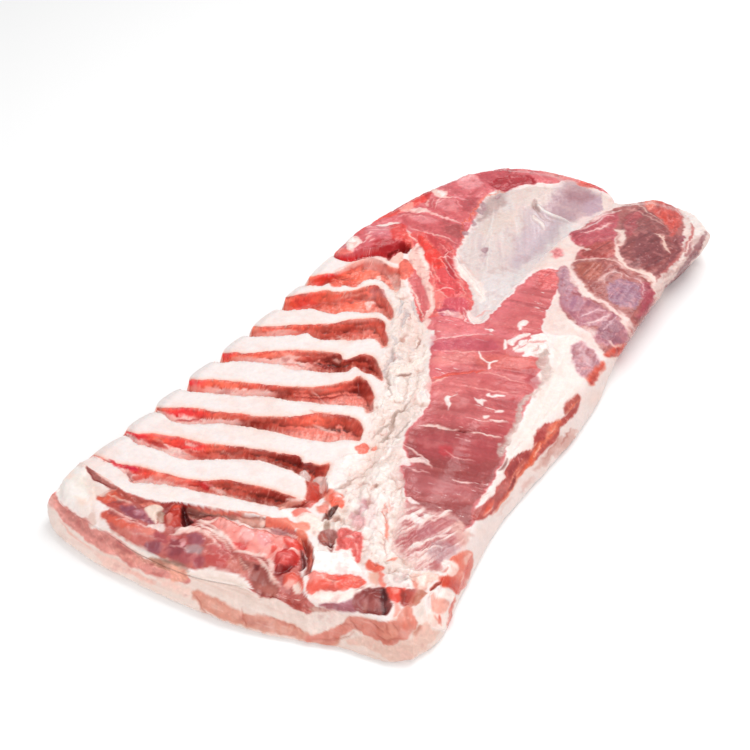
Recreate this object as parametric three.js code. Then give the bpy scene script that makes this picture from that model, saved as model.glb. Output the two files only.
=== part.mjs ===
// A boneless whole pork belly slab, lying rind down: one solid, in millimetres, +Z up.
// X runs across the slab (rib side at -X, flank side at +X), Y along it (shoulder end
// at -Y, flank end at +Y). The rind lies flat on Z = 0 and the meat side faces up.
import * as THREE from "three";

// ---- driving dimensions -------------------------------------------------------------
const LENGTH = 592; // along Y, foot to foot
const WIDTH = 296; // across X, foot to foot
const RIDGE_TOP = 40; // height of the meat between the rib beds
const LIP_HEIGHT = 28; // upper edge of the cut shoulder end
const SHELF_STEP = 6.5; // drop from the first ridge to the low shelf behind the lip
const SHELF_SLOPE = 5; // further drop of the shelf down to the lip
const LIP_FALL = 3; // how much lower the lip is in its right half
const FOOT_HEIGHT = 8; // height at which the slab is widest
const FOOT_ROUND = 7; // inward rounding of the rind edge down to the flat rind
const LEFT_ROLL = 1.5; // how far the meat rolls down at the rib side's rim
const RIGHT_ROLL = { shoulder: 8, flank: 3 }; // the same at the flank side, at its two ends
const FAR_ROLL = 6; // the same at the flank end
const RIB_DEPTH = 13; // depth of a rib bed below the ridges beside it
const BED_FLARE = 3; // how much wider a rib bed is at its inner end, on each side
const BED_RUN_OUT = 20; // length over which a rib bed's inner end rises to the meat
const BED_OVERRUN = 30; // how far a bed is drawn out past its mouth, so that it cuts through the rim
const BED_DRAW = 5; // how far a bed's mouth is drawn in from the ridges' ends
const FAN_AHEAD = 0.15; // how far the ribs' fan runs ahead on the right side, of its length

// ---- mesh fineness ------------------------------------------------------------------
const COLUMNS = 32; // cells across the slab
const SHELF_ROWS = [0, 0.1, 0.3, 0.5, 0.64, 0.7, 0.78, 0.9]; // rows from the lip (0) to the first bed (1)
const BED_ROWS = [-1.05, -0.85, -0.45, 0, 0.45, 0.85, 1.05]; // rows over a bed, in half widths
const RIDGE_ROWS = 4; // rows of cells over the ridge between two beds
const FLANK_ROWS = 24; // rows of cells from the last bed to the flank end
const WALL_RINGS = 5; // rings of cells from the top edge down to the rind

// ---- outline --------------------------------------------------------------------------
// Each side is a smooth curve through a few points, once for the upper rim of the meat
// and once for the foot, where the slab is widest. Sides meet at the four corners.
const CORNER_RIM = { nearLeft: [-141, -272], nearRight: [131, -229], farLeft: [-72, 252], farRight: [137, 268] };
const CORNER_FOOT = { nearLeft: [-147, -281], nearRight: [141, -247], farLeft: [-77, 257], farRight: [143, 275] };

const RIM = {
  near: [[-129, -280], [-99, -283], [-53, -283], [-14, -279], [25, -266], [60, -255], [92, -246], [120, -239]],
  right: [[136, -205], [131, -170], [125, -110], [121, -60], [128, 20], [130, 84], [129, 140], [132, 200], [138, 245]],
  far: [[-55, 268], [-31, 279], [-1, 285], [27, 285], [44, 279], [55, 269], [66, 275], [80, 287], [100, 291], [122, 287]],
  left: [[-138, -255], [-130, -225], [-125, -170], [-121, -100], [-120, 10], [-122, 75], [-117, 118], [-99, 190]],
};
const FOOT = {
  near: [[-132, -290], [-100, -295], [-58, -295], [-9, -291], [28, -286], [60, -276], [92, -264], [124, -257]],
  right: [[148, -222], [143, -186], [136, -125], [138, -75], [144, 0], [141, 84], [138, 140], [139, 200], [143, 245]],
  far: [[-58, 273], [-32, 284], [0, 289], [28, 289], [46, 283], [56, 274], [67, 280], [80, 291], [100, 296], [124, 292]],
  left: [[-147, -262], [-137, -225], [-130, -165], [-127, -100], [-126, 10], [-127, 75], [-122, 120], [-104, 194]],
};

// ---- rib beds ---------------------------------------------------------------------------
// One row for each rib that was pulled out, from the shoulder end on: where its middle
// crosses the rim (y), the direction it runs in (degrees from +X), its length and half width.
const RIB_BEDS = [
  { y: -246, turn: 18, length: 156, half: 5.5 },
  { y: -213, turn: 20, length: 165, half: 6.0 },
  { y: -181, turn: 24, length: 158, half: 6.5 },
  { y: -146, turn: 28, length: 148, half: 6.5 },
  { y: -107, turn: 30, length: 126, half: 6.0 },
  { y: -70, turn: 34, length: 112, half: 6.0 },
  { y: -34, turn: 44, length: 92, half: 6.0 },
  { y: 4, turn: 51, length: 76, half: 7.0 },
  { y: 52, turn: 50, length: 66, half: 6.5 },
];

// ---- broad relief -------------------------------------------------------------------------
// Swellings and hollows of the meat side: centre, half length and half width, direction of
// the long axis (degrees from +X) and height over the ridges' level.
const RELIEF = [
  { name: "big flank muscle, upper half", at: [66, 40], along: 75, across: 34, turn: 104, rise: 6.5 },
  { name: "big flank muscle, lower half", at: [90, -85], along: 80, across: 33, turn: 100, rise: 7 },
  { name: "upper lobe", at: [100, 190], along: 80, across: 46, turn: 86, rise: 8 },
  { name: "membrane hollow", at: [14, 180], along: 90, across: 30, turn: 96, rise: -13 },
  { name: "fat valley, upper part", at: [-6, 5], along: 85, across: 20, turn: 122, rise: -7 },
  { name: "fat valley, lower part", at: [34, -120], along: 80, across: 20, turn: 102, rise: -7 },
  { name: "left edge lobe", at: [-96, 98], along: 32, across: 20, turn: 70, rise: 3 },
  { name: "upper left edge", at: [-88, 210], along: 60, across: 26, turn: 60, rise: -5 },
  { name: "shoulder end, right", at: [72, -232], along: 60, across: 26, turn: 15, rise: -5 },
  { name: "pocket in the shoulder end", at: [92, -226], along: 34, across: 13, turn: 20, rise: -5 },
  { name: "cut strip on the flank side", at: [133, -95], along: 75, across: 9, turn: 97, rise: -3 },
];

const degrees = Math.PI / 180;
const clamp01 = (t) => Math.min(1, Math.max(0, t));
const smooth = (t) => clamp01(t) ** 2 * (3 - 2 * clamp01(t));
const mix = (a, b, t) => a + (b - a) * t;

// A side of the outline as a curve, from one corner through its points to the next.
function side(from, points, to) {
  return new THREE.SplineCurve([from, ...points, to].map(([x, y]) => new THREE.Vector2(x, y)));
}

function outline(sides, corner) {
  return {
    near: side(corner.nearLeft, sides.near, corner.nearRight),
    right: side(corner.nearRight, sides.right, corner.farRight),
    far: side(corner.farLeft, sides.far, corner.farRight),
    left: side(corner.nearLeft, sides.left, corner.farLeft),
  };
}

const rim = outline(RIM, CORNER_RIM);
const foot = outline(FOOT, CORNER_FOOT);

// The left rim's curve at a given y, found by halving.
function leftRimAt(y) {
  let low = 0;
  let high = 1;
  while (high - low > 1e-6) {
    const half = (low + high) / 2;
    if (rim.left.getPointAt(half).y < y) low = half;
    else high = half;
  }
  return low;
}

// Each row of the grid starts at the left rim and runs the way the rib beds do there:
// straight along the bed for its length, then straight on to the right rim.
function makeRow(mouth, turn, length) {
  const place = leftRimAt(mouth);
  const ahead = place + FAN_AHEAD * Math.sin(Math.PI * place);
  return { place, ahead, turn, length, start: rim.left.getPointAt(place), end: rim.right.getPointAt(ahead) };
}

function rowPoint(row, u) {
  const { start, end, turn, length } = row;
  const x = mix(start.x, end.x, u);
  const reach = length * Math.cos(turn * degrees);
  const rise = length * Math.sin(turn * degrees);
  const along = x - start.x;
  const beyond = (along - reach) / (end.x - start.x - reach);
  const y = beyond < 0 ? start.y + (rise * along) / reach : mix(start.y + rise, end.y, beyond);
  return new THREE.Vector2(x, y);
}

// A patch between two curves whose ends run along the left and the right rim.
function patchPoint(u, t, near, far, left, right) {
  const blend = (v) => near(v).clone().lerp(far(v), t);
  const p = blend(u);
  p.addScaledVector(left.clone().sub(blend(0)), 1 - u);
  return p.addScaledVector(right.clone().sub(blend(1)), u);
}

// All rows from the lip to the flank end, each a function of u with its places on the rims.
function makeRows() {
  const beds = RIB_BEDS;
  const last = beds.length - 1;
  const fan = [];
  beds.forEach((bed, i) => {
    for (const offset of BED_ROWS) fan.push(makeRow(bed.y + offset * bed.half, bed.turn, bed.length));
    if (i === last) return;
    const next = beds[i + 1];
    const edge = BED_ROWS.at(-1);
    for (let k = 1; k < RIDGE_ROWS; k++) {
      const t = k / RIDGE_ROWS;
      const mouth = mix(bed.y + edge * bed.half, next.y - edge * next.half, t);
      fan.push(makeRow(mouth, mix(bed.turn, next.turn, t), mix(bed.length, next.length, t)));
    }
  });
  const first = fan[0];
  const final = fan.at(-1);
  const made = [];
  for (const t of SHELF_ROWS) {
    const place = first.place * t;
    const ahead = first.ahead * t;
    const left = rim.left.getPointAt(place);
    const right = rim.right.getPointAt(ahead);
    const near = (u) => rim.near.getPointAt(u);
    const far = (u) => rowPoint(first, u);
    const point = (u) => patchPoint(u, t, near, far, left, right);
    made.push({ place, ahead, shelfPlace: t, point });
  }
  for (const row of fan) {
    const { place, ahead } = row;
    made.push({ place, ahead, shelfPlace: 1, point: (u) => rowPoint(row, u) });
  }
  for (let k = 1; k <= FLANK_ROWS; k++) {
    const t = k / FLANK_ROWS;
    const place = mix(final.place, 1, t);
    const ahead = mix(final.ahead, 1, t);
    const left = rim.left.getPointAt(place);
    const right = rim.right.getPointAt(ahead);
    const near = (u) => rowPoint(final, u);
    const far = (u) => rim.far.getPointAt(u);
    const point = (u) => patchPoint(u, t, near, far, left, right);
    made.push({ place, ahead, shelfPlace: 1, point });
  }
  return made;
}

function distanceToSegment(p, a, b) {
  const run = b.clone().sub(a);
  const t = clamp01(p.clone().sub(a).dot(run) / run.lengthSq());
  return { distance: p.distanceTo(a.clone().addScaledVector(run, t)), t };
}

// Depth of the rib beds at a point: a trough with steep walls and a round floor that widens
// inwards and runs out over its last stretch.
function ribBedDepth(p) {
  let depth = 0;
  for (const bed of RIB_BEDS) {
    const direction = new THREE.Vector2(Math.cos(bed.turn * degrees), Math.sin(bed.turn * degrees));
    const mouth = new THREE.Vector2(-122, bed.y);
    const start = mouth.clone().addScaledVector(direction, -BED_OVERRUN);
    const end = mouth.clone().addScaledVector(direction, bed.length);
    const { distance, t } = distanceToSegment(p, start, end);
    const across = distance / (bed.half + BED_FLARE * t);
    const fade = smooth(((1 - t) * (bed.length + BED_OVERRUN) + bed.half) / BED_RUN_OUT);
    if (across < 1) depth = Math.max(depth, RIB_DEPTH * fade * Math.sqrt(1 - across ** 3));
  }
  return depth;
}

function reliefRise(p) {
  let rise = 0;
  for (const { at, along, across, turn, rise: height } of RELIEF) {
    const q = p.clone().sub(new THREE.Vector2(...at)).rotateAround(new THREE.Vector2(), -turn * degrees);
    const reach = Math.hypot(q.x / along, q.y / across);
    rise += height * (1 - smooth(reach));
  }
  return rise;
}

// The shoulder end is cut away in front of the first ridge: a step, then a shelf that slopes to
// the lip. t runs from the lip (0) to the first rib bed (1); the step ends where the ridge does.
function shelf(t, u) {
  const ridge = 1 - smooth((u - 0.5) / 0.15);
  const step = mix(1 - smooth(t), 1 - smooth((t - 0.64) / 0.14), ridge);
  return SHELF_STEP * step + SHELF_SLOPE * (1 - smooth(t / 0.7));
}

// Height of the meat side. u and place tell how near the point is to the rim, where it rolls off.
function topHeight(p, u, place, shelfPlace) {
  const height = RIDGE_TOP + reliefRise(p) - ribBedDepth(p) - shelf(shelfPlace, u);
  const rollLeft = LEFT_ROLL * (1 - smooth(u / 0.04));
  const rightRoll = mix(RIGHT_ROLL.shoulder, RIGHT_ROLL.flank, smooth((p.y - 60) / 120));
  const rollRight = rightRoll * (1 - smooth((1 - u) / 0.14));
  const rollFar = FAR_ROLL * (1 - smooth((1 - place) / 0.05));
  const rolled = height - rollLeft - rollRight - rollFar;
  const lip = LIP_HEIGHT - LIP_FALL * smooth(p.x / 60);
  return mix(lip, rolled, smooth(place / 0.012));
}

// ---- the closed surface -------------------------------------------------------------------
const positions = [];
const faces = [];
const addPoint = (x, y, z) => positions.push(x, y, z) / 3 - 1;
const addQuad = (a, b, c, d) => faces.push(a, b, c, a, c, d);

const rows = makeRows();
const lastRow = rows.length - 1;
const top = rows.map(({ place, shelfPlace, point }) => {
  const line = [];
  for (let column = 0; column <= COLUMNS; column++) {
    const u = column / COLUMNS;
    const p = point(u);
    // At the left rim the ridges bulge out and the beds are drawn in.
    const draw = BED_DRAW * (ribBedDepth(p) / RIB_DEPTH - 0.4) * Math.max(0, 1 - u / 0.1) ** 2;
    line.push(addPoint(p.x + draw, p.y, topHeight(p, u, place, shelfPlace)));
  }
  return line;
});
for (let row = 0; row < lastRow; row++)
  for (let column = 0; column < COLUMNS; column++)
    addQuad(top[row][column], top[row][column + 1], top[row + 1][column + 1], top[row + 1][column]);

// The rim, once round anticlockwise, each point with the foot point outside it.
const loop = [];
for (let column = 0; column < COLUMNS; column++)
  loop.push({ at: top[0][column], foot: foot.near.getPointAt(column / COLUMNS), steep: 0.75 });
for (let row = 0; row < lastRow; row++)
  loop.push({ at: top[row][COLUMNS], foot: foot.right.getPointAt(rows[row].ahead), steep: 0.9 });
for (let column = COLUMNS; column > 0; column--)
  loop.push({ at: top[lastRow][column], foot: foot.far.getPointAt(column / COLUMNS), steep: 1 });
for (let row = lastRow; row > 0; row--)
  loop.push({ at: top[row][0], foot: foot.left.getPointAt(rows[row].place), steep: 1 });

// Down the wall: a bulge from the rim out to the foot, then the round rind edge in to the floor.
const centre = new THREE.Vector2(0, 0);
let upper = loop.map((point) => point.at);
for (let ring = 1; ring <= WALL_RINGS; ring++) {
  const lower = loop.map(({ at, foot: outer, steep }) => {
    const [x, y, z] = positions.slice(at * 3, at * 3 + 3);
    const upperRings = WALL_RINGS - 2;
    if (ring <= upperRings) {
      const angle = ((ring / upperRings) * Math.PI) / 2;
      const out = Math.sin(angle) ** (1 / steep);
      const down = 1 - Math.cos(angle) ** (1 / steep);
      return addPoint(mix(x, outer.x, out), mix(y, outer.y, out), mix(z, FOOT_HEIGHT, down));
    }
    const angle = (((ring - upperRings) / 2) * Math.PI) / 2;
    const inward = centre.clone().sub(outer).normalize().multiplyScalar(FOOT_ROUND * (1 - Math.cos(angle)));
    return addPoint(outer.x + inward.x, outer.y + inward.y, FOOT_HEIGHT * (1 - Math.sin(angle)));
  });
  for (let k = 0; k < loop.length; k++) {
    const next = (k + 1) % loop.length;
    addQuad(upper[k], lower[k], lower[next], upper[next]);
  }
  upper = lower;
}

// The rind's flat underside.
const bottom = upper.map((k) => new THREE.Vector2(positions[k * 3], positions[k * 3 + 1]));
for (const [a, b, c] of THREE.ShapeUtils.triangulateShape(bottom, [])) faces.push(upper[a], upper[c], upper[b]);

const geometry = new THREE.BufferGeometry();
geometry.setAttribute("position", new THREE.Float32BufferAttribute(positions, 3));
geometry.setIndex(faces);
geometry.computeBoundingBox();

// Brought to exactly the stated size, with the origin under the middle of its box.
const box = geometry.boundingBox;
const size = box.getSize(new THREE.Vector3());
const middle = box.getCenter(new THREE.Vector3());
geometry.translate(-middle.x, -middle.y, 0);
geometry.scale(WIDTH / size.x, LENGTH / size.y, 1);
geometry.computeVertexNormals();

const meat = new THREE.MeshStandardMaterial({ color: 0xd9938c, roughness: 0.4, metalness: 0 });
const slab = new THREE.Mesh(geometry, meat);
slab.name = "belly_slab";

const part = new THREE.Group();
part.name = "pork_belly_slab";
part.add(slab);

export default part;
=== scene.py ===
"""A whole raw pork belly without its bones, lying on its rind. Lengths are millimetres up to the meshes."""

import bpy
import numpy as np
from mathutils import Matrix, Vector


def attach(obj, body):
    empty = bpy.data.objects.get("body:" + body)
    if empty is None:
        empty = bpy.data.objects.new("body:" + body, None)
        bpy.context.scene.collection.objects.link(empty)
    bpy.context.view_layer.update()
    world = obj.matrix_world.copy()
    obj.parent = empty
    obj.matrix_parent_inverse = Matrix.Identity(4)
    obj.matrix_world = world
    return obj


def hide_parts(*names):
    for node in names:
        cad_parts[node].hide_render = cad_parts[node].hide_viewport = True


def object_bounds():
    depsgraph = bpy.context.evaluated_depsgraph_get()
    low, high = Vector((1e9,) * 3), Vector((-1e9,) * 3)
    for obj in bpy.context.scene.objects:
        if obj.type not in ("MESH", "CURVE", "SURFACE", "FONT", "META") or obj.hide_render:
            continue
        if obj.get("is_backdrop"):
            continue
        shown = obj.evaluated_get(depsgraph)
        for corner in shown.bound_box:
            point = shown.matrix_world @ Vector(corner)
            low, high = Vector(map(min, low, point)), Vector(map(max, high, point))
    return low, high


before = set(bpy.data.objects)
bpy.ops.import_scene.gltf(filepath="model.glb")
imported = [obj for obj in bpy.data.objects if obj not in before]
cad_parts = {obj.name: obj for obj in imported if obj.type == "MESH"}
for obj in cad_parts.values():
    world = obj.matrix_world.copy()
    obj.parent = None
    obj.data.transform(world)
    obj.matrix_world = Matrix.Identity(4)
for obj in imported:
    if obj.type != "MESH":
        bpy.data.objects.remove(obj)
cad_low, cad_high = (np.array(corner) * 1000 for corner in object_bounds())

# ---- the slab's skin -----------------------------------------------------------------
# The belly is one slab of fat and lean, about 40 mm thick, trimmed square by a butcher.
# Its meat side is a lengthwise fan of rows that follow the nine beds the ribs were pulled
# from; rings of the same points run down the cut edges to the rind.
CORNER_RIM = {"near_left": (-141, -272), "near_right": (131, -229), "far_left": (-72, 252),
    "far_right": (141, 274)}
CORNER_FOOT = {"near_left": (-147, -281), "near_right": (141, -247), "far_left": (-77, 257),
    "far_right": (145.5, 279)}
RIM = {
    "near": [(-129, -280), (-99, -283), (-53, -283), (-14, -279), (25, -266), (60, -255), (92, -246),
        (120, -239)],
    "right": [(136, -205), (131, -170), (125, -110), (121, -60), (128, 20), (132, 84), (134, 140),
        (137, 200), (143, 250)],
    "far": [(-55, 268), (-31, 279), (-1, 285), (27, 285), (44, 279), (55, 269), (66, 275), (80, 287),
        (100, 291), (124, 289)],
    "left": [(-138, -255), (-130, -225), (-125, -170), (-121, -100), (-120, 10), (-122, 75), (-117, 118),
        (-99, 190)],
}
FOOT = {
    "near": [(-132, -290), (-100, -295), (-58, -295), (-9, -291), (28, -286), (60, -276), (92, -264),
        (124, -257)],
    "right": [(148, -222), (143, -186), (136, -125), (138, -75), (144, 0), (141, 84), (140, 140),
        (142, 200), (147.5, 252)],
    "far": [(-58, 273), (-32, 284), (0, 289), (28, 289), (46, 283), (56, 274), (67, 280), (80, 291),
        (100, 296), (127, 294)],
    "left": [(-147, -262), (-137, -225), (-130, -165), (-127, -100), (-126, 10), (-127, 75), (-122, 120),
        (-104, 194)],
}
# The middle of each rib bed from its mouth on the left to where its row meets the right rim.
BED_LINES = [
    [(-117, -241), (-90, -238), (-64, -228), (-37, -218), (-4, -207), (25, -200), (80, -195), (135, -190)],
    [(-123, -210), (-106, -203), (-86, -197), (-65, -193), (-47, -183), (-28, -175), (-5, -167), (30, -160),
        (130, -150)],
    [(-122, -178), (-106, -175), (-86, -164), (-65, -153), (-47, -146), (-24, -134), (-3, -125), (30, -120),
        (127, -112)],
    [(-122, -142), (-105, -134), (-82, -123), (-56, -109), (-37, -99), (-14, -88), (15, -82), (123, -72)],
    [(-121, -103), (-105, -95), (-89, -81), (-75, -71), (-54, -62), (-37, -55), (-10, -46), (123, -35)],
    [(-119, -66), (-102, -53), (-86, -42), (-65, -27), (-47, -16), (-20, -8), (125, 5)],
    [(-116, -30), (-100, -15), (-86, 1), (-65, 18), (-45, 28), (125, 45)],
    [(-114, 13), (-105, 22), (-93, 32), (-82, 46), (-68, 58), (-40, 66), (130, 85)],
    [(-116, 57), (-107, 62), (-98, 73), (-86, 90), (-68, 103), (-40, 112), (129, 130)],
]
END_BULGES = [1, 6, 8.5, 9.5, 10, 7.5, 5, 4.5, 3, 0]
COLUMNS = 420
SHELF_ROWS, BED_ROWS, FLANK_ROWS = 70, 66, 280
SHELF_CROWDING, SHELF_CROWDED_AT, BED_CROWDING = 0.4, 0.6, 0.35
RINGS = 50
RIDGE_TOP = 40.0


def smooth_line(points, count, closed=False):
    """Evenly spaced points on a smooth curve through the given ones. Each stretch is the cubic
    whose slope at either end is half the step from the point before it to the point after."""
    p = np.asarray(points, float)
    if closed:
        p = np.vstack([p[-1:], p, p[:2]])
    else:
        p = np.vstack([2 * p[:1] - p[1:2], p, 2 * p[-1:] - p[-2:-1]])
    stretches = len(p) - 3
    t = np.linspace(0, stretches, stretches * 16 + 1)
    i = np.minimum(t.astype(int), stretches - 1)
    t = (t - i)[:, None]
    a, b, c, d = p[i], p[i + 1], p[i + 2], p[i + 3]
    curve = b + 0.5 * t * ((c - a) + t * ((2 * a - 5 * b + 4 * c - d) + t * (3 * (b - c) + d - a)))
    run = np.r_[0, np.cumsum(np.linalg.norm(np.diff(curve, axis=0), axis=1))]
    even = np.linspace(0, run[-1], count)
    return np.stack([np.interp(even, run, curve[:, k]) for k in range(p.shape[1])], 1)


def smooth(t):
    """Rises from 0 to 1 as t does, level at both ends: three t squared less two t cubed."""
    t = np.clip(t, 0, 1)
    return t * t * (3 - 2 * t)


def mix(a, b, t):
    """a where t is 0, b where it is 1, and in proportion between."""
    return a + (b - a) * t


def side(name, curves, corners, count):
    """One side of the outline from corner to corner."""
    ends = {
        "near": ("near_left", "near_right"),
        "right": ("near_right", "far_right"),
        "far": ("far_left", "far_right"),
        "left": ("near_left", "far_left"),
    }[name]
    return smooth_line([corners[ends[0]], *curves[name], corners[ends[1]]], count)


def at_place(curve, place):
    """Points of an evenly spaced curve at the given fractions of its length."""
    even = np.linspace(0, 1, len(curve))
    return np.stack([np.interp(place, even, curve[:, k]) for k in (0, 1)], -1)


FINE = 3000
left_rim = side("left", RIM, CORNER_RIM, FINE)
right_rim = side("right", RIM, CORNER_RIM, FINE)
even = np.linspace(0, 1, FINE)
guides = [side("near", RIM, CORNER_RIM, COLUMNS)]
left_places, right_places = [0.0], [0.0]
for line in BED_LINES:
    left_places.append(np.interp(line[0][1], left_rim[:, 1], even))
    right_places.append(np.interp(line[-1][1], right_rim[:, 1], even))
    start = at_place(left_rim, left_places[-1])
    end = at_place(right_rim, right_places[-1])
    guides.append(smooth_line([start, *line[1:-1], end], COLUMNS))
guides.append(side("far", RIM, CORNER_RIM, COLUMNS))
left_places.append(1.0)
right_places.append(1.0)

# Rows lie closer together over the beds and at the foot of the first ridge than elsewhere.
u = np.linspace(0, 1, COLUMNS)
rows, row_left, row_right, row_shelf, span_starts = [], [], [], [], []
for i, count in enumerate([SHELF_ROWS] + [BED_ROWS] * 8 + [FLANK_ROWS]):
    s = np.arange(count) / count
    if i == 0:
        wave = np.sin(2 * np.pi * (s - SHELF_CROWDED_AT)) - np.sin(2 * np.pi * (1 - SHELF_CROWDED_AT))
        s = s - SHELF_CROWDING / (2 * np.pi) * wave
    elif i < 9:
        s = s - BED_CROWDING / (2 * np.pi) * np.sin(2 * np.pi * s)
    if i == 9:
        s = np.linspace(0, 1, count)
    places = mix(left_places[i], left_places[i + 1], s)
    aheads = mix(right_places[i], right_places[i + 1], s)
    between = mix(guides[i][None], guides[i + 1][None], s[:, None, None])
    between = (
        between
        + (at_place(left_rim, places) - between[:, 0])[:, None] * (1 - u)[None, :, None]
        + (at_place(right_rim, aheads) - between[:, -1])[:, None] * u[None, :, None]
    )
    span_starts.append(sum(len(r) for r in rows))
    rows.append(between)
    row_left.append(places)
    row_right.append(aheads)
    row_shelf.append(s if i == 0 else np.ones(count))
plan = np.concatenate(rows)
# Between two beds' mouths the end of the ridge bulges past the trimmed edge.
bulge = np.concatenate(
    [b * np.sin(np.pi * (np.arange(len(r)) / len(r)) ** 0.85) ** 1.3 for b, r in zip(END_BULGES, rows)]
)
plan[..., 0] -= bulge[:, None] * (1 - smooth(u / 0.07))[None]
place = np.concatenate(row_left)
ahead = np.concatenate(row_right)
shelf_place = np.concatenate(row_shelf)
ROWS = len(plan)

# Broad swellings and hollows of the meat side: centre, half length, half width, direction of
# the long axis in degrees from +X, and height over the ridges' level.
RELIEF = [
    ((66, 40), 75, 34, 104, 6.5),  # big flank muscle, upper half
    ((90, -85), 80, 33, 100, 7),  # big flank muscle, lower half
    ((100, 190), 80, 46, 86, 8),  # upper lobe
    ((14, 180), 90, 30, 96, -13),  # membrane hollow
    ((-6, 5), 85, 20, 122, -7),  # fat valley, upper part
    ((34, -120), 80, 20, 102, -7),  # fat valley, lower part
    ((-96, 98), 32, 20, 70, 3),  # left edge lobe
    ((-88, 210), 60, 26, 60, -1.5),  # upper left edge
    ((72, -232), 60, 26, 15, -5),  # shoulder end, right
    ((92, -226), 34, 13, 20, -5),  # pocket in the shoulder end
    ((133, -95), 75, 9, 97, -3),  # cut strip on the flank side
]
LIP_HEIGHT, LIP_FALL, SHELF_SLOPE, SHELF_STEP = 28.0, 3.0, 5.0, 6.5
LEFT_ROLL, FAR_ROLL = 1.5, 6
SHOULDER_ROLL, FLANK_ROLL = 8, 3

x, y = plan[..., 0], plan[..., 1]
level = np.full(x.shape, RIDGE_TOP)
for (cx, cy), along, across, turn, rise in RELIEF:
    c, s = np.cos(np.radians(turn)), np.sin(np.radians(turn))
    reach = np.hypot(((x - cx) * c + (y - cy) * s) / along, ((y - cy) * c - (x - cx) * s) / across)
    level += rise * (1 - smooth(reach))
t = shelf_place[:, None]
level -= SHELF_SLOPE * (1 - smooth(t / 0.7))
roll = (LEFT_ROLL + 0.5 * bulge[:, None]) * (1 - smooth(u[None] / 0.035)) ** 1.5
roll = roll + mix(SHOULDER_ROLL, FLANK_ROLL, smooth((y - 60) / 120)) * (1 - smooth((1 - u[None]) / 0.14))
roll = roll + FAR_ROLL * (1 - smooth((1 - place[:, None]) / 0.05))
level -= roll
step_end = 1 - smooth((u[None] - 0.5) / 0.15)
step = mix(1 - smooth(t), 1 - smooth((t - 0.64) / 0.14), step_end)
lip = LIP_HEIGHT - LIP_FALL * smooth(x / 60)
at_lip = 1 - smooth(place[:, None] / 0.012)
base = mix(level - SHELF_STEP * step, lip, at_lip)

# The rings down the cut edges. A station says how far out from rim to foot the wall is, its
# height as a share of the rim's, and how far it is tucked in under the slab in centimetres.
STATIONS = {
    "near_left": [(0, 1, 0), (-0.05, 0.9, 0), (0.1, 0.82, 0), (0.4, 0.62, 0), (0.75, 0.43, 0), (1, 0.2, 0),
        (0.9, 0.05, 0.1), (0.8, 0, 0.4)],
    "near_right": [(0, 1, 0), (0.06, 0.93, 0), (0.3, 0.72, 0), (0.55, 0.5, 0), (0.8, 0.32, 0), (1, 0.14, 0),
        (0.97, 0.04, 0.1), (0.92, 0, 0.4)],
    "right": [(0, 1, 0), (0.35, 0.9, 0), (0.62, 0.75, 0), (0.8, 0.58, 0), (0.93, 0.4, 0), (1, 0.2, 0),
        (0.95, 0.05, 0.1), (0.85, 0, 0.4)],
    "right_far": [(0, 1, 0), (0.4, 0.95, 0), (0.8, 0.84, 0), (1, 0.68, 0.1), (1, 0.5, 0.45), (1, 0.3, 0.9),
        (1, 0.1, 1.35), (1, 0, 1.6)],
    "left": [(0, 1, 0), (0.35, 0.93, 0), (0.7, 0.78, 0), (0.9, 0.6, 0), (1, 0.42, 0), (1, 0.2, 0),
        (0.9, 0.05, 0.1), (0.7, 0, 0.4)],
    "far": [(0, 1, 0), (0.3, 0.94, 0), (0.62, 0.82, 0), (0.88, 0.66, 0), (1, 0.48, 0), (0.98, 0.22, 0),
        (0.85, 0.05, 0.1), (0.7, 0, 0.4)],
}
RING_SPACING = np.array([0.3, 1, 1])
profiles = {
    name: smooth_line(np.array(stations) * RING_SPACING, RINGS + 1) / RING_SPACING
    for name, stations in STATIONS.items()
}


def wall(rim, rim_level, foot, profile):
    """Rings from the rim out and down to the rind: each point goes the station's share of the way
    from rim to foot in plan, less its tuck, at the station's share of the rim's smooth level, and
    never above the rim itself."""
    out = foot - rim[:, :2]
    length = np.linalg.norm(out, axis=1, keepdims=True)
    reach = profile[..., 0] - 10 * profile[..., 2] / np.maximum(length, 3)
    xy = rim[:, None, :2] + out[:, None] * reach[..., None]
    z = profile[..., 1] * rim_level[:, None]
    z = np.minimum(z, rim[:, 2:] - 0.04 * np.arange(RINGS + 1))
    z[:, -1] = 0
    return np.concatenate([xy, np.maximum(z, 0)[..., None]], -1)


# ---- markings ------------------------------------------------------------------------
# Every bed, muscle, seam and flap is drawn once as an outline on a level sheet that lies on
# the ridges and is looked at aslant; a point of the skin takes what is drawn where the line
# of sight through it meets the sheet.
SHEET_LEVEL = 38.0
SHEET_SHIFT = (4, -11)
# The eye stands where the camera does, moved by the sheet's shift: this far from the point it
# looks at on the table, seen down and aside by these angles. It sees a millimetre from one
# millimetre away as this many steps of a view 750 steps square.
REACH = 992.0
SIGHT_CENTRE = (-25.752, -32.680)
DOWN, ASIDE = np.radians(42), np.radians(32)
LENS_STEPS, HALF_VIEW = 1200.0, 375.0
eye_place = REACH * np.array([np.cos(DOWN) * np.sin(ASIDE), -np.cos(DOWN) * np.cos(ASIDE), np.sin(DOWN)])
eye_place[:2] += SIGHT_CENTRE
SIGHT_POINT = np.round(eye_place, 1)


def on_sheet(x, y, z):
    """Where the line from the sight point through a point of the skin meets the sheet."""
    k = (SIGHT_POINT[2] - SHEET_LEVEL) / (SIGHT_POINT[2] - z)
    sx = SIGHT_POINT[0] + (x + SHEET_SHIFT[0] - SIGHT_POINT[0]) * k
    sy = SIGHT_POINT[1] + (y + SHEET_SHIFT[1] - SIGHT_POINT[1]) * k
    return sx, sy


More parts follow.
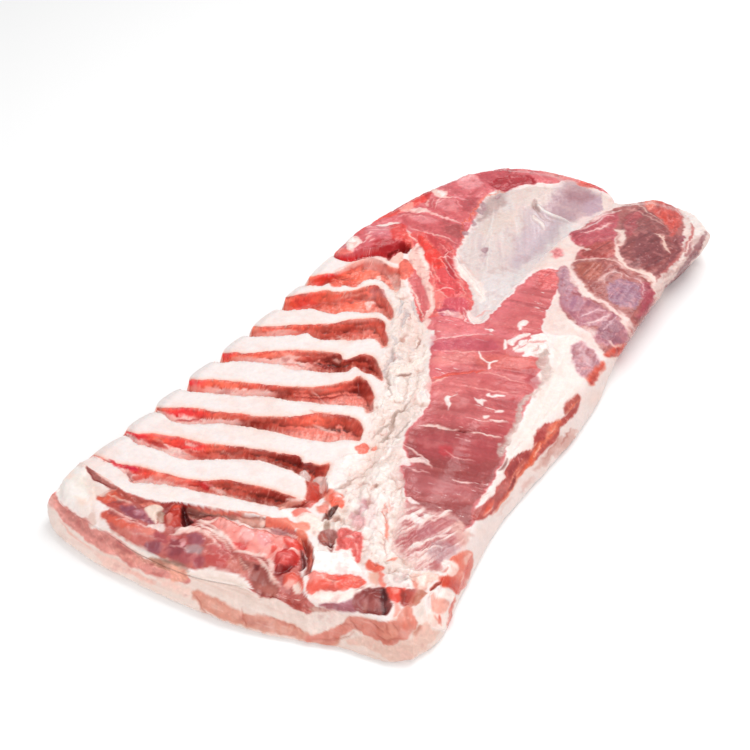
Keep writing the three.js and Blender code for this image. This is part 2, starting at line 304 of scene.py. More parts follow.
def view_window(left, top, height):
    """A function for marks made in one window of the eye's view. It takes points in thousandths of
    the window's height from its left and top edge, follows the line of sight through each down to
    the sheet, and gives its place there in whole millimetres."""

    def place_marks(*points):
        """The places on the sheet of some points of this window."""
        across, up = (np.array(points, float) * height / 1000 + (left, top)).T
        across, up = (across - HALF_VIEW) / LENS_STEPS, (HALF_VIEW - up) / LENS_STEPS
        ahead = np.cos(DOWN) + up * np.sin(DOWN)
        fall = np.sin(DOWN) - up * np.cos(DOWN)
        run = (eye_place[2] - SHEET_LEVEL) / fall
        x = eye_place[0] + run * (across * np.cos(ASIDE) - ahead * np.sin(ASIDE))
        y = eye_place[1] + run * (across * np.sin(ASIDE) + ahead * np.cos(ASIDE))
        return np.round(np.stack([x, y], 1))

    return place_marks


in_lip = view_window(40, 440, 180)
in_shelf = view_window(170, 470, 180)
in_pocket = view_window(310, 480, 190)
in_folds = view_window(220, 400, 270)
in_mouths = view_window(100, 400, 170.4)
in_beds = view_window(220, 230, 210)
in_edge = view_window(330, 155, 180)
in_muscle = view_window(320, 260, 180)
in_strip = view_window(400, 320, 200)
in_lobe = view_window(540, 180, 220)


def scatter(i, j, seed):
    """One repeatable number from 0 to 1 for each pair of whole numbers: both and the seed times
    large primes, mixed by shifts and cut to 24 bits."""
    h = (i.astype(np.int64) * 374761393 + j.astype(np.int64) * 668265263 + seed * 974634777) & 0x7FFFFFFF
    h = ((h ^ (h >> 13)) * 1274126177) & 0x7FFFFFFF
    return ((h ^ (h >> 16)) & 0xFFFFFF) / 0xFFFFFF


def lumps(x, y, size, seed, octaves=1):
    """Smooth noise from -1 to 1: scattered numbers at the corners of squares of the given size,
    blended across each square, with finer and weaker noise added for each further octave."""
    total, weight = 0, 0
    for octave in range(octaves):
        px, py = x / size * 2**octave, y / size * 2**octave
        i, j = np.floor(px), np.floor(py)
        fx, fy = smooth(px - i), smooth(py - j)
        n = seed + 17 * octave
        low = mix(scatter(i, j, n), scatter(i + 1, j, n), fx)
        high = mix(scatter(i, j + 1, n), scatter(i + 1, j + 1, n), fx)
        total = total + mix(low, high, fy) * 0.55**octave
        weight += 0.55**octave
    return total / weight * 2 - 1


def fibres(x, y, turn, length, width, seed, octaves=2):
    """Noise drawn out along a direction in degrees from +X, so that it reads as fibres."""
    c, s = np.cos(np.radians(turn)), np.sin(np.radians(turn))
    return lumps((x * c + y * s) * width / length, y * c - x * s, width, seed, octaves)


def crumbs(x, y, size, seed):
    """Distance from each point to the nearest of a set of scattered centres, in sizes: small at
    the middle of a crumb and near 1 in the cracks between."""
    px, py = x / size, y / size
    i, j = np.floor(px), np.floor(py)
    nearest = np.full(np.shape(px), 9.0)
    for di in (-1, 0, 1):
        for dj in (-1, 0, 1):
            cx = i + di + scatter(i + di, j + dj, seed)
            cy = j + dj + scatter(i + di, j + dj, seed + 5)
            nearest = np.minimum(nearest, np.hypot(px - cx, py - cy))
    return np.minimum(nearest, 1.2)


def to_line(x, y, line):
    """Distance from each point to a line of points, and the fraction along it of the nearest spot."""
    line = np.asarray(line, float)
    nearest = np.full(x.shape, 1e9)
    along = np.zeros(x.shape)
    for k, (a, b) in enumerate(zip(line[:-1], line[1:])):
        dx, dy = b - a
        f = np.clip(((x - a[0]) * dx + (y - a[1]) * dy) / max(dx * dx + dy * dy, 1e-9), 0, 1)
        d = np.hypot(x - a[0] - f * dx, y - a[1] - f * dy)
        closer = d < nearest
        nearest = np.where(closer, d, nearest)
        along = np.where(closer, (k + f) / (len(line) - 1), along)
    return nearest, along


def inside(x, y, outline):
    """Distance to a closed outline, positive within it: a point is within where a line from it
    to the far right crosses the outline an odd number of times."""
    line = np.vstack([outline, outline[:1]])
    odd = np.zeros(x.shape, bool)
    for a, b in zip(line[:-1], line[1:]):
        if a[1] == b[1]:
            continue
        cross = a[0] + (y - a[1]) * (b[0] - a[0]) / (b[1] - a[1])
        odd ^= ((a[1] > y) != (b[1] > y)) & (x < cross)
    return np.where(odd, 1, -1) * to_line(x, y, line)[0]


# The whole skin as one list of points: the meat side, then the left, right, near and far walls.
near_foot = side("near", FOOT, CORNER_FOOT, COLUMNS)
far_foot = side("far", FOOT, CORNER_FOOT, COLUMNS)
left_foot = at_place(side("left", FOOT, CORNER_FOOT, FINE), place)
right_foot = at_place(side("right", FOOT, CORNER_FOOT, FINE), ahead)


def all_walls(top, smooth_top):
    """The four walls below a meat side, each with its own profile, which turns into its
    neighbour's towards a shared corner."""
    corner = smooth((u * 280) / 25)
    half = smooth((top[0, :, 0] + 5) / 50)[:, None, None]
    near_profile = mix(profiles["near_left"], profiles["near_right"], half)
    near_profile = mix(profiles["left"], near_profile, corner[:, None, None])
    near_profile = mix(profiles["right"], near_profile, corner[::-1, None, None])
    # Towards the far corner the muscle on the right rolls over the edge and in beneath itself.
    under = smooth((top[:, -1, 1] - 40) / 80)[:, None, None]
    right_profile = mix(profiles["right"], profiles["right_far"], under)
    far_profile = mix(profiles["left"], profiles["far"], corner[:, None, None])
    far_profile = mix(profiles["right_far"], far_profile, corner[::-1, None, None])
    side_shape = (ROWS, RINGS + 1, 3)
    return {
        "left": wall(top[:, 0], smooth_top[:, 0], left_foot, np.broadcast_to(profiles["left"], side_shape)),
        "right": wall(top[:, -1], smooth_top[:, -1], right_foot, right_profile),
        "near": wall(top[0], smooth_top[0], near_foot, near_profile),
        "far": wall(top[-1], smooth_top[-1], far_foot, far_profile),
    }


smooth_top = np.concatenate([plan, base[..., None]], -1)
smooth_walls = all_walls(smooth_top, base)
parts = ["top", "left", "right", "near", "far"]
shapes = {"top": (ROWS, COLUMNS), "left": (ROWS, RINGS + 1), "right": (ROWS, RINGS + 1)}
shapes |= {"near": (COLUMNS, RINGS + 1), "far": (COLUMNS, RINGS + 1)}
skin = np.concatenate([smooth_top.reshape(-1, 3)] + [smooth_walls[p].reshape(-1, 3) for p in parts[1:]])
starts = dict(zip(parts, np.cumsum([0] + [int(np.prod(shapes[p])) for p in parts[:-1]])))
ends = {p: starts[p] + int(np.prod(shapes[p])) for p in parts}
sheet_x, sheet_y = on_sheet(*skin.T)
# The two walls that face away are folded out flat round their rims instead.
for name, fold_x, fold_y in (("left", -1, 0.2), ("far", 0, 1)):
    part = slice(starts[name], ends[name])
    heights = skin[part, 2].reshape(shapes[name])
    for sheet, fold in ((sheet_x, fold_x), (sheet_y, fold_y)):
        at_rim = sheet[part].reshape(shapes[name])[:, :1]
        sheet[part] = (at_rim + fold * (heights[:, :1] - heights)).ravel()
on_top = np.zeros(len(skin), bool)
on_top[: ends["top"]] = True
ring = np.zeros(len(skin))
for name in parts[1:]:
    ring[starts[name] : ends[name]] = np.tile(np.arange(RINGS + 1) / RINGS, shapes[name][0])

# Torn and cut edges wander: three scales of noise shift the sheet under an outline.
wander_x, wander_y = (
    lumps(sheet_x, sheet_y, 9, seed) * 0.9
    + lumps(sheet_x, sheet_y, 3, seed + 1) * 0.7
    + lumps(sheet_x, sheet_y, 2.2, seed + 2) * 0.3
    for seed in (11, 15)
)
colour = np.zeros((len(skin), 3))
lean = np.zeros(len(skin))
wet = np.full(len(skin), 0.35)
raised = np.zeros(len(skin))


def tint(code):
    """Red, green and blue from 0 to 1 of a colour written in six hexadecimal digits."""
    return np.array([int(code[k : k + 2], 16) / 255 for k in (0, 2, 4)])


def spots_near(outline, margin):
    """The skin's points whose place on the sheet is within a margin of the outline's box."""
    low, high = np.min(outline, 0) - margin, np.max(outline, 0) + margin
    return np.flatnonzero(
        (sheet_x > low[0]) & (sheet_x < high[0]) & (sheet_y > low[1]) & (sheet_y < high[1])
    )


def lay(spots, cover, code, lean_to=None, wet_to=None):
    """Paints a colour over some points, each by its own cover from 0 to 1, and may set how lean
    and how wet they are in the same measure."""
    colour[spots] = mix(colour[spots], tint(code), cover[:, None])
    if lean_to is not None:
        lean[spots] = mix(lean[spots], lean_to, cover)
    if wet_to is not None:
        wet[spots] = mix(wet[spots], wet_to, cover)


# An edge narrower than this would show the skin's own rows of points.
FINEST = 1.5


def patch(outline, code, soft=1.5, ragged=1.0, lean_to=None, wet_to=None, cover=1.0, lift=0.0,
        lift_soft=3.0):
    """An area of one colour inside an outline, with a soft and wandering edge, that may also stand
    above or sink below the skin around it."""
    outline = smooth_line(outline, max(24, 5 * len(outline)), closed=True)
    spots = spots_near(outline, soft + 3 * ragged + 2)
    px, py = sheet_x[spots] + ragged * wander_x[spots], sheet_y[spots] + ragged * wander_y[spots]
    deep = inside(px, py, outline)
    lay(spots, cover * smooth(deep / max(soft, FINEST) + 0.5), code, lean_to, wet_to)
    if lift:
        raised[spots] += lift * smooth(deep / lift_soft)
    return spots, deep


def streak(path, width, code, soft=1.0, ragged=0.6, lean_to=None, wet_to=None, cover=1.0, lift=0.0):
    """A line of one colour along a path, thinning out at both ends, that may stand up or sink."""
    path = smooth_line(path, 6 * len(path))
    spots = spots_near(path, width + soft + 3)
    px, py = sheet_x[spots] + ragged * wander_x[spots], sheet_y[spots] + ragged * wander_y[spots]
    away, along = to_line(px, py, path)
    taper = np.sqrt(np.clip(4 * along * (1 - along), 0, 1))
    mask = smooth((width / 2 * taper - away) / max(soft, FINEST) + 0.5) * taper**0.5
    lay(spots, cover * mask, code, lean_to, wet_to)
    if lift:
        raised[spots] += lift * mask
    return spots, mask


# ---- fat ------------------------------------------------------------------------------
# Firm white fat covers the ridges and fills the slab; it is smooth and cool white where it
# was pulled clean, with a faint blush where blood has marked it.
every = np.arange(len(skin))
lay(every, np.ones(len(skin)), "f1e5e2")
lay(every, smooth(lumps(sheet_x, sheet_y, 22, 21, 2) * 1.2) * 0.5, "f1d5cb")
lay(every, smooth(lumps(sheet_x, sheet_y, 7, 23, 2) * 1.5 - 0.4) * 0.35, "f5ded6")

# ---- rib beds ---------------------------------------------------------------------------
# Where each rib was pulled out it left a trough in the fat: a steep wall of torn lean under
# its far edge, a floor of short fibres that frays into the fat of its near edge.
BED_TINTS = {
    "blood": "e03a40",
    "red": "e04e42",
    "orange": "ea765e",
    "pink": "e58e80",
    "meat": "c96252",
    "brown": "a84738",
    "dark": "7c241c",
    "pale": "fae4e0",
}
BEDS = [
    {
        "near": [(-140, -252), (-126, -251), (-110, -250), (-99, -252), (-90, -256), (-80, -251),
            (-66, -244), (-50, -240), (-30, -233), (-10, -227), (5, -223), (14, -219), (24, -214)],
        "far": [(27, -204), (20, -206), (10, -207), (0, -209), (-14, -212), (-30, -217), (-40, -223),
            (-50, -229), (-62, -234), (-80, -238), (-95, -241), (-104, -245), (-112, -248), (-126, -249),
            (-140, -250)],
        "wall": [(-120, "pink"), (-104, "blood"), (-90, "red"), (-70, "orange"), (-50, "red"),
            (-38, "brown"), (-15, "meat"), (5, "dark"), (20, "brown")],
        "floor": [(-120, "pale"), (-60, "pale"), (-45, "pink"), (-25, "meat"), (0, "brown"), (20, "brown")],
        "depth": 11.5,
    },
    {
        "near": [(-140, -226), (-121, -222), (-112, -224), (-100, -222), (-84, -220), (-70, -217),
            (-58, -210), (-50, -205), (-42, -200), (-32, -194), (-20, -189), (-8, -188), (4, -187),
            (13, -189), (20, -196), (23, -204), (27, -204), (33, -200), (35, -190)],
        "far": [(24, -178), (20, -166), (14, -171), (8, -172), (2, -176), (-3, -172), (-10, -174),
            (-20, -178), (-30, -181), (-40, -185), (-50, -189), (-60, -193), (-70, -198), (-80, -200),
            (-90, -203), (-100, -207), (-110, -211), (-121, -217), (-140, -220)],
        "wall": [(-118, "blood"), (-102, "orange"), (-88, "red"), (-72, "blood"), (-62, "orange"),
            (-50, "meat"), (-35, "brown"), (-10, "dark"), (14, "dark"), (25, "meat")],
        "floor": [(-118, "pale"), (-78, "pale"), (-60, "pink"), (-40, "meat"), (-10, "brown"),
            (25, "meat")],
        "depth": 12.5,
    },
    {
        "near": [(-140, -196), (-117, -190), (-108, -192), (-100, -191), (-92, -188), (-84, -182),
            (-74, -175), (-64, -171), (-54, -167), (-46, -165), (-34, -161), (-20, -158), (-8, -154),
            (2, -151), (8, -148), (16, -140), (26, -137)],
        "far": [(22, -125), (16, -119), (8, -117), (0, -119), (-10, -124), (-18, -128), (-24, -134),
            (-30, -140), (-40, -146), (-50, -152), (-58, -156), (-66, -158), (-76, -163), (-86, -168),
            (-96, -171), (-104, -175), (-113, -180), (-124, -187), (-140, -192)],
        "wall": [(-118, "orange"), (-105, "blood"), (-90, "red"), (-78, "orange"), (-58, "meat"),
            (-48, "brown"), (-30, "meat"), (-10, "orange"), (8, "brown"), (20, "meat")],
        "floor": [(-115, "pale"), (-66, "pale"), (-52, "brown"), (-36, "meat"), (-20, "pink"),
            (10, "pink")],
        "depth": 12.5,
    },
    {
        "near": [(-140, -166), (-117, -160), (-108, -156), (-100, -152), (-90, -147), (-80, -143),
            (-70, -137), (-60, -132), (-50, -129), (-40, -126), (-30, -121), (-20, -117), (-10, -112),
            (0, -107), (8, -104), (15, -109)],
        "far": [(17, -102), (12, -94), (6, -86), (0, -81), (-6, -77), (-14, -76), (-15, -83), (-20, -88),
            (-24, -93), (-30, -100), (-36, -105), (-44, -110), (-52, -114), (-62, -119), (-70, -123),
            (-80, -127), (-90, -131), (-100, -136), (-108, -139), (-115, -144), (-125, -150), (-140, -156)],
        "wall": [(-118, "blood"), (-106, "orange"), (-88, "orange"), (-68, "meat"), (-50, "brown"),
            (-38, "meat"), (-18, "meat"), (-6, "dark"), (12, "meat")],
        "floor": [(-115, "pink"), (-95, "pale"), (-62, "pale"), (-48, "brown"), (-36, "pink"), (5, "pink")],
        "depth": 13,
    },
    {
        "near": [(-140, -128), (-116, -120), (-108, -114), (-100, -109), (-90, -104), (-82, -100),
            (-74, -97), (-66, -97), (-58, -95), (-50, -91), (-42, -88), (-34, -83), (-28, -80), (-24, -76),
            (-22, -68), (-17, -69), (-10, -70), (-4, -69), (6, -72)],
        "far": [(5, -68), (0, -62), (-6, -57), (-12, -52), (-18, -50), (-25, -52), (-29, -58), (-33, -66),
            (-39, -62), (-46, -63), (-54, -66), (-62, -70), (-70, -75), (-78, -79), (-84, -84), (-90, -89),
            (-96, -94), (-104, -101), (-112, -104), (-121, -110), (-140, -116)],
        "wall": [(-118, "blood"), (-108, "orange"), (-92, "orange"), (-76, "pink"), (-58, "meat"),
            (-44, "dark"), (-30, "brown"), (-18, "dark"), (0, "meat")],
        "floor": [(-115, "orange"), (-98, "pale"), (-58, "pale"), (-46, "meat"), (-30, "brown"),
            (-15, "meat")],
        "depth": 12,
    },
    {
        "near": [(-140, -90), (-114, -81), (-106, -76), (-98, -71), (-90, -65), (-82, -60), (-76, -54),
            (-66, -55), (-58, -52), (-50, -47), (-42, -43), (-35, -38), (-28, -32), (-21, -34), (-15, -39)],
        "far": [(-13, -33), (-18, -25), (-24, -18), (-30, -10), (-38, -8), (-44, -11), (-50, -16),
            (-56, -21), (-62, -27), (-66, -33), (-72, -38), (-78, -43), (-84, -46), (-92, -51), (-100, -58),
            (-110, -65), (-119, -71), (-140, -80)],
        "wall": [(-115, "orange"), (-100, "pink"), (-84, "orange"), (-68, "meat"), (-50, "brown"),
            (-34, "meat"), (-20, "orange")],
        "floor": [(-112, "pink"), (-95, "pale"), (-80, "pink"), (-60, "meat"), (-42, "meat"),
            (-20, "pink")],
        "depth": 12,
    },
    {
        "near": [(-140, -52), (-115, -42), (-108, -38), (-100, -31), (-92, -26), (-82, -24), (-72, -21),
            (-66, -14), (-58, -10), (-50, -7), (-44, -1), (-36, -2), (-28, -6)],
        "far": [(-28, 0), (-34, 9), (-42, 15), (-50, 21), (-57, 27), (-63, 29), (-69, 24), (-74, 16),
            (-80, 8), (-88, 3), (-96, 1), (-104, -8), (-112, -16), (-120, -26), (-140, -38)],
        "wall": [(-115, "orange"), (-104, "red"), (-92, "orange"), (-74, "meat"), (-56, "pink"),
            (-40, "meat"), (-28, "orange")],
        "floor": [(-112, "orange"), (-100, "red"), (-86, "meat"), (-66, "orange"), (-45, "pink"),
            (-30, "pink")],
        "depth": 11.5,
    },
    {
        "near": [(-140, -12), (-119, -6), (-110, 0), (-102, 4), (-98, 12), (-90, 14), (-82, 17), (-76, 23),
            (-74, 31), (-68, 37), (-58, 36), (-50, 31), (-43, 29)],
        "far": [(-43, 36), (-50, 48), (-58, 59), (-66, 58), (-76, 60), (-84, 60), (-92, 54), (-97, 44),
            (-99, 34), (-103, 24), (-110, 18), (-120, 8), (-140, 0)],
        "wall": [(-115, "orange"), (-104, "blood"), (-94, "orange"), (-80, "pink"), (-62, "meat"),
            (-50, "pink"), (-43, "red")],
        "floor": [(-115, "pink"), (-104, "red"), (-92, "brown"), (-80, "orange"), (-60, "pink"),
            (-45, "orange")],
        "depth": 9,
    },
    {
        "near": [(-140, 42), (-118, 44), (-108, 43), (-100, 46), (-95, 53), (-92, 60), (-84, 66), (-77, 67),
            (-73, 64), (-71, 72), (-72, 80), (-66, 84), (-64, 90)],
        "far": [(-70, 98), (-76, 94), (-82, 84), (-90, 76), (-98, 70), (-103, 62), (-106, 54), (-112, 50),
            (-120, 49), (-140, 50)],
        "wall": [(-115, "red"), (-100, "blood"), (-85, "blood"), (-72, "dark")],
        "floor": [(-115, "orange"), (-100, "blood"), (-85, "blood"), (-70, "dark")],
        "depth": 10,
    },
]


def along_stops(x, stops):
    """Colour at x between stops of position and named tint, in proportion between neighbours."""
    places = [s[0] for s in stops]
    tints = np.array([tint(BED_TINTS[s[1]]) for s in stops])
    return np.stack([np.interp(x, places, tints[:, k]) for k in range(3)], -1)


troughs = []
for number, bed in enumerate(BEDS):
    near_edge = smooth_line(bed["near"], 5 * len(bed["near"]))
    far_edge = smooth_line(bed["far"], 5 * len(bed["far"]))
    outline = np.vstack([near_edge, far_edge])
    spots = spots_near(outline, 8)
    spots = spots[~((ring[spots] > 0) & (skin[spots, 1] < -285))]
    px = sheet_x[spots] + 0.7 * wander_x[spots]
    py = sheet_y[spots] + 0.7 * wander_y[spots]
    deep = inside(px, py, outline)
    from_near, _ = to_line(px, py, near_edge)
    from_far, _ = to_line(px, py, far_edge)
    inwards = smooth((px + 95) / 70)
    # Steep under the far edge; the near side is a long slope further in, a steep one at the mouth.
    fall_far = 1 - (1 - np.clip(from_far / mix(4.5, 5.5, inwards), 0, 1)) ** 1.7
    fall_near = 1 - (1 - np.clip(from_near / mix(4.0, 13.0, inwards), 0, 1)) ** 1.6
    trough = np.where(deep > 0, fall_far * fall_near, 0)
    runout = smooth((from_far + from_near) / 9)
    bumps = 0.5 * fibres(px, py, 118, 7, 1.4, 31 + number) + 0.6 * lumps(px, py, 4, 41 + number, 2)
    raised[spots] -= trough * (bed["depth"] * runout + 0.9 * bumps)
    # The fat is rounded over both edges.
    raised[spots] -= np.where(deep <= 0, 0.9 * np.clip(1 + deep / 3.5, 0, 1) ** 2, 0)
    troughs.append((near_edge, far_edge, outline, spots, trough))

meat_side = slice(0, ends["top"])


def look_again():
    """Takes the sheet's places anew where the heaved meat side is seen, as on_sheet does."""
    x, y, z = skin[meat_side].T
    sheet_x[meat_side], sheet_y[meat_side] = on_sheet(x, y, z + raised[meat_side])


# From here on the markings lie where the sunken skin is seen, the far walls of the beds too.
look_again()
for number, (near_edge, far_edge, outline, spots, trough) in enumerate(troughs):
    px = sheet_x[spots] + 0.5 * wander_x[spots]
    py = sheet_y[spots] + 0.5 * wander_y[spots]
    deep = inside(px, py, outline)
    from_near, _ = to_line(px, py, near_edge)
    from_far, _ = to_line(px, py, far_edge)
    inwards = smooth((px + 85) / 60)
    # The floor shows below the far wall; what the near ridge hides is floor as well.
    share = np.where(deep > 0, from_near / np.maximum(from_near + from_far, 1e-6), (trough < 0.1) * 1.0)
    share = np.where((deep <= 0) & (trough > 0.1), 0, share)
    cover = np.maximum(smooth(deep / 0.8 + 0.4), smooth((trough - 0.1) / 0.15))
    torn = fibres(px, py, 119, 8, 1.3, 31 + number, 2)
    strands = fibres(px, py, 26, 13, 2.6, 61 + number, 3)
    clots = lumps(px, py, 4, 51 + number, 3)
    split = mix(0.4, 0.45, inwards) + 0.16 * clots + 0.1 * strands + 0.03 * torn
    on_wall = smooth((share - split) / 0.14 + 0.5)
    bed_tint = mix(
        along_stops(px, BEDS[number]["floor"]), along_stops(px, BEDS[number]["wall"]), on_wall[:, None]
    )
    mottle_and_crease_shade = 1.04 + 0.05 * torn * inwards + (0.26 * clots + 0.22 * strands) * mix(0.35, 1, on_wall)
    # Where the floor meets the far wall a line is darkened as painted shade in the crease.
    mottle_and_crease_shade = mottle_and_crease_shade - 0.34 * inwards * np.clip(1 - np.abs(share - split - 0.04) / 0.1, 0, 1)
    bed_tint = np.clip(bed_tint * mottle_and_crease_shade[:, None], 0, 1)
    raised[spots] += cover * on_wall * (0.9 * clots + 0.7 * strands)
    # Pale fibres of fat fray up from the near edge over the floor and in threads over the wall.
    fray = smooth((0.26 - share + 0.3 * torn) / 0.3) * mix(0.2, 0.55, inwards)
    fray = np.maximum(fray, smooth(torn * 3.2 - 1.5) * 0.35 * inwards)
    fray = np.maximum(fray, smooth(clots * 3.5 - 1.9) * smooth((0.9 - share) / 0.2) * 0.6)
    fray = np.maximum(fray, smooth(strands * 3 - 1.4) * on_wall * 0.45)
    bed_tint = mix(bed_tint, tint("f8ddd4"), fray[:, None])
    # Along the far edge the fat is dark red in places and orange-pink in others.
    edging = smooth((share - 0.84) / 0.16)
    dark_red_places = smooth(lumps(px, py, 16, 71 + number) * 3 + 0.4)
    bed_tint = mix(bed_tint, tint("ee9a84"), (edging * (1 - dark_red_places) * 0.8)[:, None])
    bed_tint = mix(bed_tint, tint("a8322a"), (edging * dark_red_places * 0.6)[:, None])
    colour[spots] = mix(colour[spots], bed_tint * np.array([1, 0.93, 0.92]), cover[:, None])
    lean[spots] = mix(lean[spots], 1, cover)
    wet[spots] = mix(wet[spots], 0.7, cover)
    far_side = from_far < from_near
    blush = np.where(deep <= 0, np.clip(1 + deep / np.where(far_side, 5.0, 1.2), 0, 1) ** 2, 0)
    lay(spots, blush * (1 - cover) * 0.7, "f3b5a2")

# Blood, torn flaps, clots and dark splits in the beds; the thin pale lines laid along some red clumps and
# torn lumps are painted highlights.
BED_MARKS = [
    (in_mouths((360, 60), (420, 78), (520, 84), (640, 96)), 4, "e2383c"),
    (in_mouths((440, 118), (520, 126), (610, 130)), 2, "b4282c"),
    (in_mouths((650, 86), (740, 94), (830, 104)), 3, "e07a68"),
    (in_mouths((700, 130), (780, 136), (860, 140)), 2.6, "f6dcd6"),
    (in_mouths((190, 200), (230, 215), (280, 225)), 4, "d8343c"),
    (in_mouths((300, 214), (380, 222), (480, 236)), 2, "dd7a86"),
    (in_mouths((250, 232), (320, 260), (400, 290)), 4.6, "c4403a"),
    (in_mouths((310, 232), (350, 245), (380, 262)), 2, "f0a294"),
    (in_mouths((500, 240), (530, 262), (580, 268)), 3.4, "f5d8d0"),
    (in_mouths((500, 290), (560, 318), (632, 326)), 6, "e26a5c"),
    (in_mouths((520, 286), (556, 300), (600, 300)), 1.8, "f8c8bc"),
    (in_mouths((596, 300), (622, 316), (640, 330)), 1.4, "b0302a"),
    (in_mouths((660, 300), (740, 310), (850, 330)), 4, "a65c52"),
    (in_mouths((700, 296), (760, 322), (800, 346)), 1.2, "eec0b4"),
    (in_mouths((50, 345), (110, 385), (180, 418)), 2.6, "cc2a34"),
    (in_mouths((150, 392), (200, 408), (214, 425)), 3.6, "c01c44"),
    (in_mouths((190, 452), (224, 462), (262, 440)), 4.6, "e6685c"),
    (in_mouths((200, 440), (226, 444), (250, 432)), 1.4, "f6b4a8"),
    (in_mouths((262, 440), (360, 462), (470, 486), (570, 494)), 4.4, "dc7064"),
    (in_mouths((290, 436), (400, 466), (520, 478)), 1.4, "efaa9c"),
    (in_mouths((575, 480), (612, 500), (640, 530)), 5, "c62c32"),
    (in_mouths((600, 474), (640, 488), (680, 500)), 1.6, "e8868a"),
    (in_mouths((650, 500), (690, 530), (740, 556)), 3.4, "f5dcd4"),
    (in_mouths((730, 490), (760, 500), (776, 512)), 2.4, "9a4a40"),
    (in_mouths((700, 560), (780, 566), (850, 578)), 1.4, "f2d0c6"),
    (in_mouths((850, 560), (900, 590), (960, 612)), 1.2, "e6b4a6"),
    (in_beds((430, 252), (480, 236), (560, 226)), 5, "e0422e"),
    (in_beds((540, 258), (580, 246), (630, 262)), 5, "ee8c70"),
    (in_beds((600, 200), (660, 176), (720, 168)), 5, "cf6a60"),
    (in_beds((700, 196), (730, 182), (760, 190)), 3, "f2b8ac"),
    (in_beds((296, 362), (330, 352), (370, 360)), 5, "ee5c42"),
    (in_beds((370, 330), (420, 316), (480, 320)), 4, "e86454"),
    (in_beds((540, 340), (600, 316), (680, 300)), 3.4, "e8a294"),
    (in_beds((690, 380), (716, 352), (750, 350)), 6, "f5dcd4"),
    (in_beds((720, 300), (760, 290), (790, 330)), 6, "c67e7e"),
    (in_beds((776, 330), (800, 370), (818, 415)), 4.4, "d4443a"),
    (in_beds((150, 488), (172, 476), (200, 478)), 5, "f09680"),
    (in_beds((180, 470), (280, 474), (400, 462), (520, 442)), 1.8, "dc5448"),
    (in_beds((210, 490), (320, 484), (430, 494)), 3.4, "efb8ac"),
    (in_beds((560, 446), (660, 434), (750, 432)), 3, "dc8276"),
    (in_beds((560, 500), (580, 518), (600, 526)), 1.4, "f4cabe"),
    (in_beds((770, 440), (790, 490), (790, 550)), 4.6, "ce463a"),
    (in_beds((5, 592), (20, 604), (40, 618)), 4, "ee483c"),
    (in_beds((60, 604), (120, 610), (180, 622)), 3.4, "efa698"),
    (in_beds((40, 586), (160, 592), (300, 580), (420, 582)), 1.4, "d2453c"),
    (in_beds((270, 622), (320, 606), (390, 610)), 5, "f3d2ca"),
    (in_beds((290, 640), (340, 640), (390, 655)), 2.6, "e68e82"),
    (in_beds((400, 600), (430, 612), (440, 640)), 3.4, "b23e36"),
    (in_beds((440, 640), (500, 650), (580, 664)), 4, "983630"),
    (in_beds((450, 606), (500, 600), (560, 596)), 2, "e07e70"),
    (in_beds((536, 610), (560, 626), (590, 628)), 3, "f6d0c4"),
    (in_beds((596, 632), (620, 624), (650, 612)), 3, "7a1c18"),
    (in_beds((640, 604), (690, 596), (730, 630), (762, 690)), 2, "dd7468"),
    (in_beds((0, 714), (100, 732), (250, 742)), 1.6, "da564c"),
    (in_beds((20, 760), (120, 766), (240, 766)), 3, "f1bab0"),
    (in_beds((252, 772), (290, 764), (322, 790)), 3, "b05a50"),
    (in_beds((400, 756), (460, 762), (520, 770)), 2.4, "d8897c"),
    (in_beds((330, 792), (450, 804), (560, 798), (650, 790)), 1.8, "882620"),
    (in_beds((430, 764), (480, 806), (520, 840)), 0.8, "f8e2dc"),
    (in_beds((590, 770), (640, 750), (690, 752)), 2, "da6c5e"),
    (in_beds((0, 872), (60, 880), (150, 884)), 1.8, "d8524a"),
    (in_beds((150, 920), (170, 912), (190, 930)), 2.4, "8e2e26"),
    (in_beds((440, 920), (500, 950), (560, 966)), 3.4, "f4cfc6"),
    (in_beds((420, 860), (480, 868), (540, 870)), 2.6, "e89484"),
]
for path, width, code in BED_MARKS:
    streak(path, width, code, soft=1.6, ragged=1.3, lean_to=0.9, wet_to=1, cover=0.8, lift=0.4)

BED_CLOTS = [
    (in_edge((20, 640), (60, 622), (110, 600), (150, 575), (200, 562), (262, 562), (305, 572), (325, 592),
        (290, 606), (240, 600), (190, 605), (140, 625), (80, 650), (30, 665)), "f4cfc6", 2.5, 0.8),
    (in_edge((195, 598), (250, 604), (310, 622), (345, 660), (365, 720), (372, 755), (350, 735), (330, 690),
        (290, 655), (240, 640), (190, 625)), "d5847c", 2.5, 0.3),
    (in_edge((0, 700), (40, 690), (70, 700), (60, 725), (20, 725)), "ea5a42", 1.5, 1),
    (in_edge((85, 705), (120, 696), (150, 706), (135, 722), (95, 722)), "ec6a50", 1.5, 1),
    (in_edge((262, 675), (278, 672), (285, 690), (270, 700)), "fbe4dc", 1, 0.6),
]
for outline, code, soft, lift in BED_CLOTS:
    patch(outline, code, soft=soft, ragged=1.2, lean_to=0.8, wet_to=1, cover=0.75, lift=lift)
BED_THREADS = [
    # These two pale threads are painted highlights on the bed's wall.
    (in_edge((215, 612), (245, 618), (270, 640)), 1.2, "f3c0b6"),
    (in_edge((300, 640), (325, 665), (340, 700)), 1.2, "f5cabf"),
    (in_edge((180, 735), (220, 735), (262, 760)), 1.6, "e8a298"),
    (in_edge((200, 745), (240, 760), (262, 800)), 3, "cf7c78"),
    (in_edge((280, 780), (300, 820), (318, 880)), 2.4, "c2685c"),
    (in_edge((300, 790), (325, 850), (335, 900)), 1.2, "efb6a8"),
    (in_edge((20, 770), (60, 762), (110, 750)), 1.4, "efa294"),
]
for path, width, code in BED_THREADS:
    streak(path, width, code, soft=1.2, ragged=1.2, wet_to=1, cover=0.75, lift=0.3)

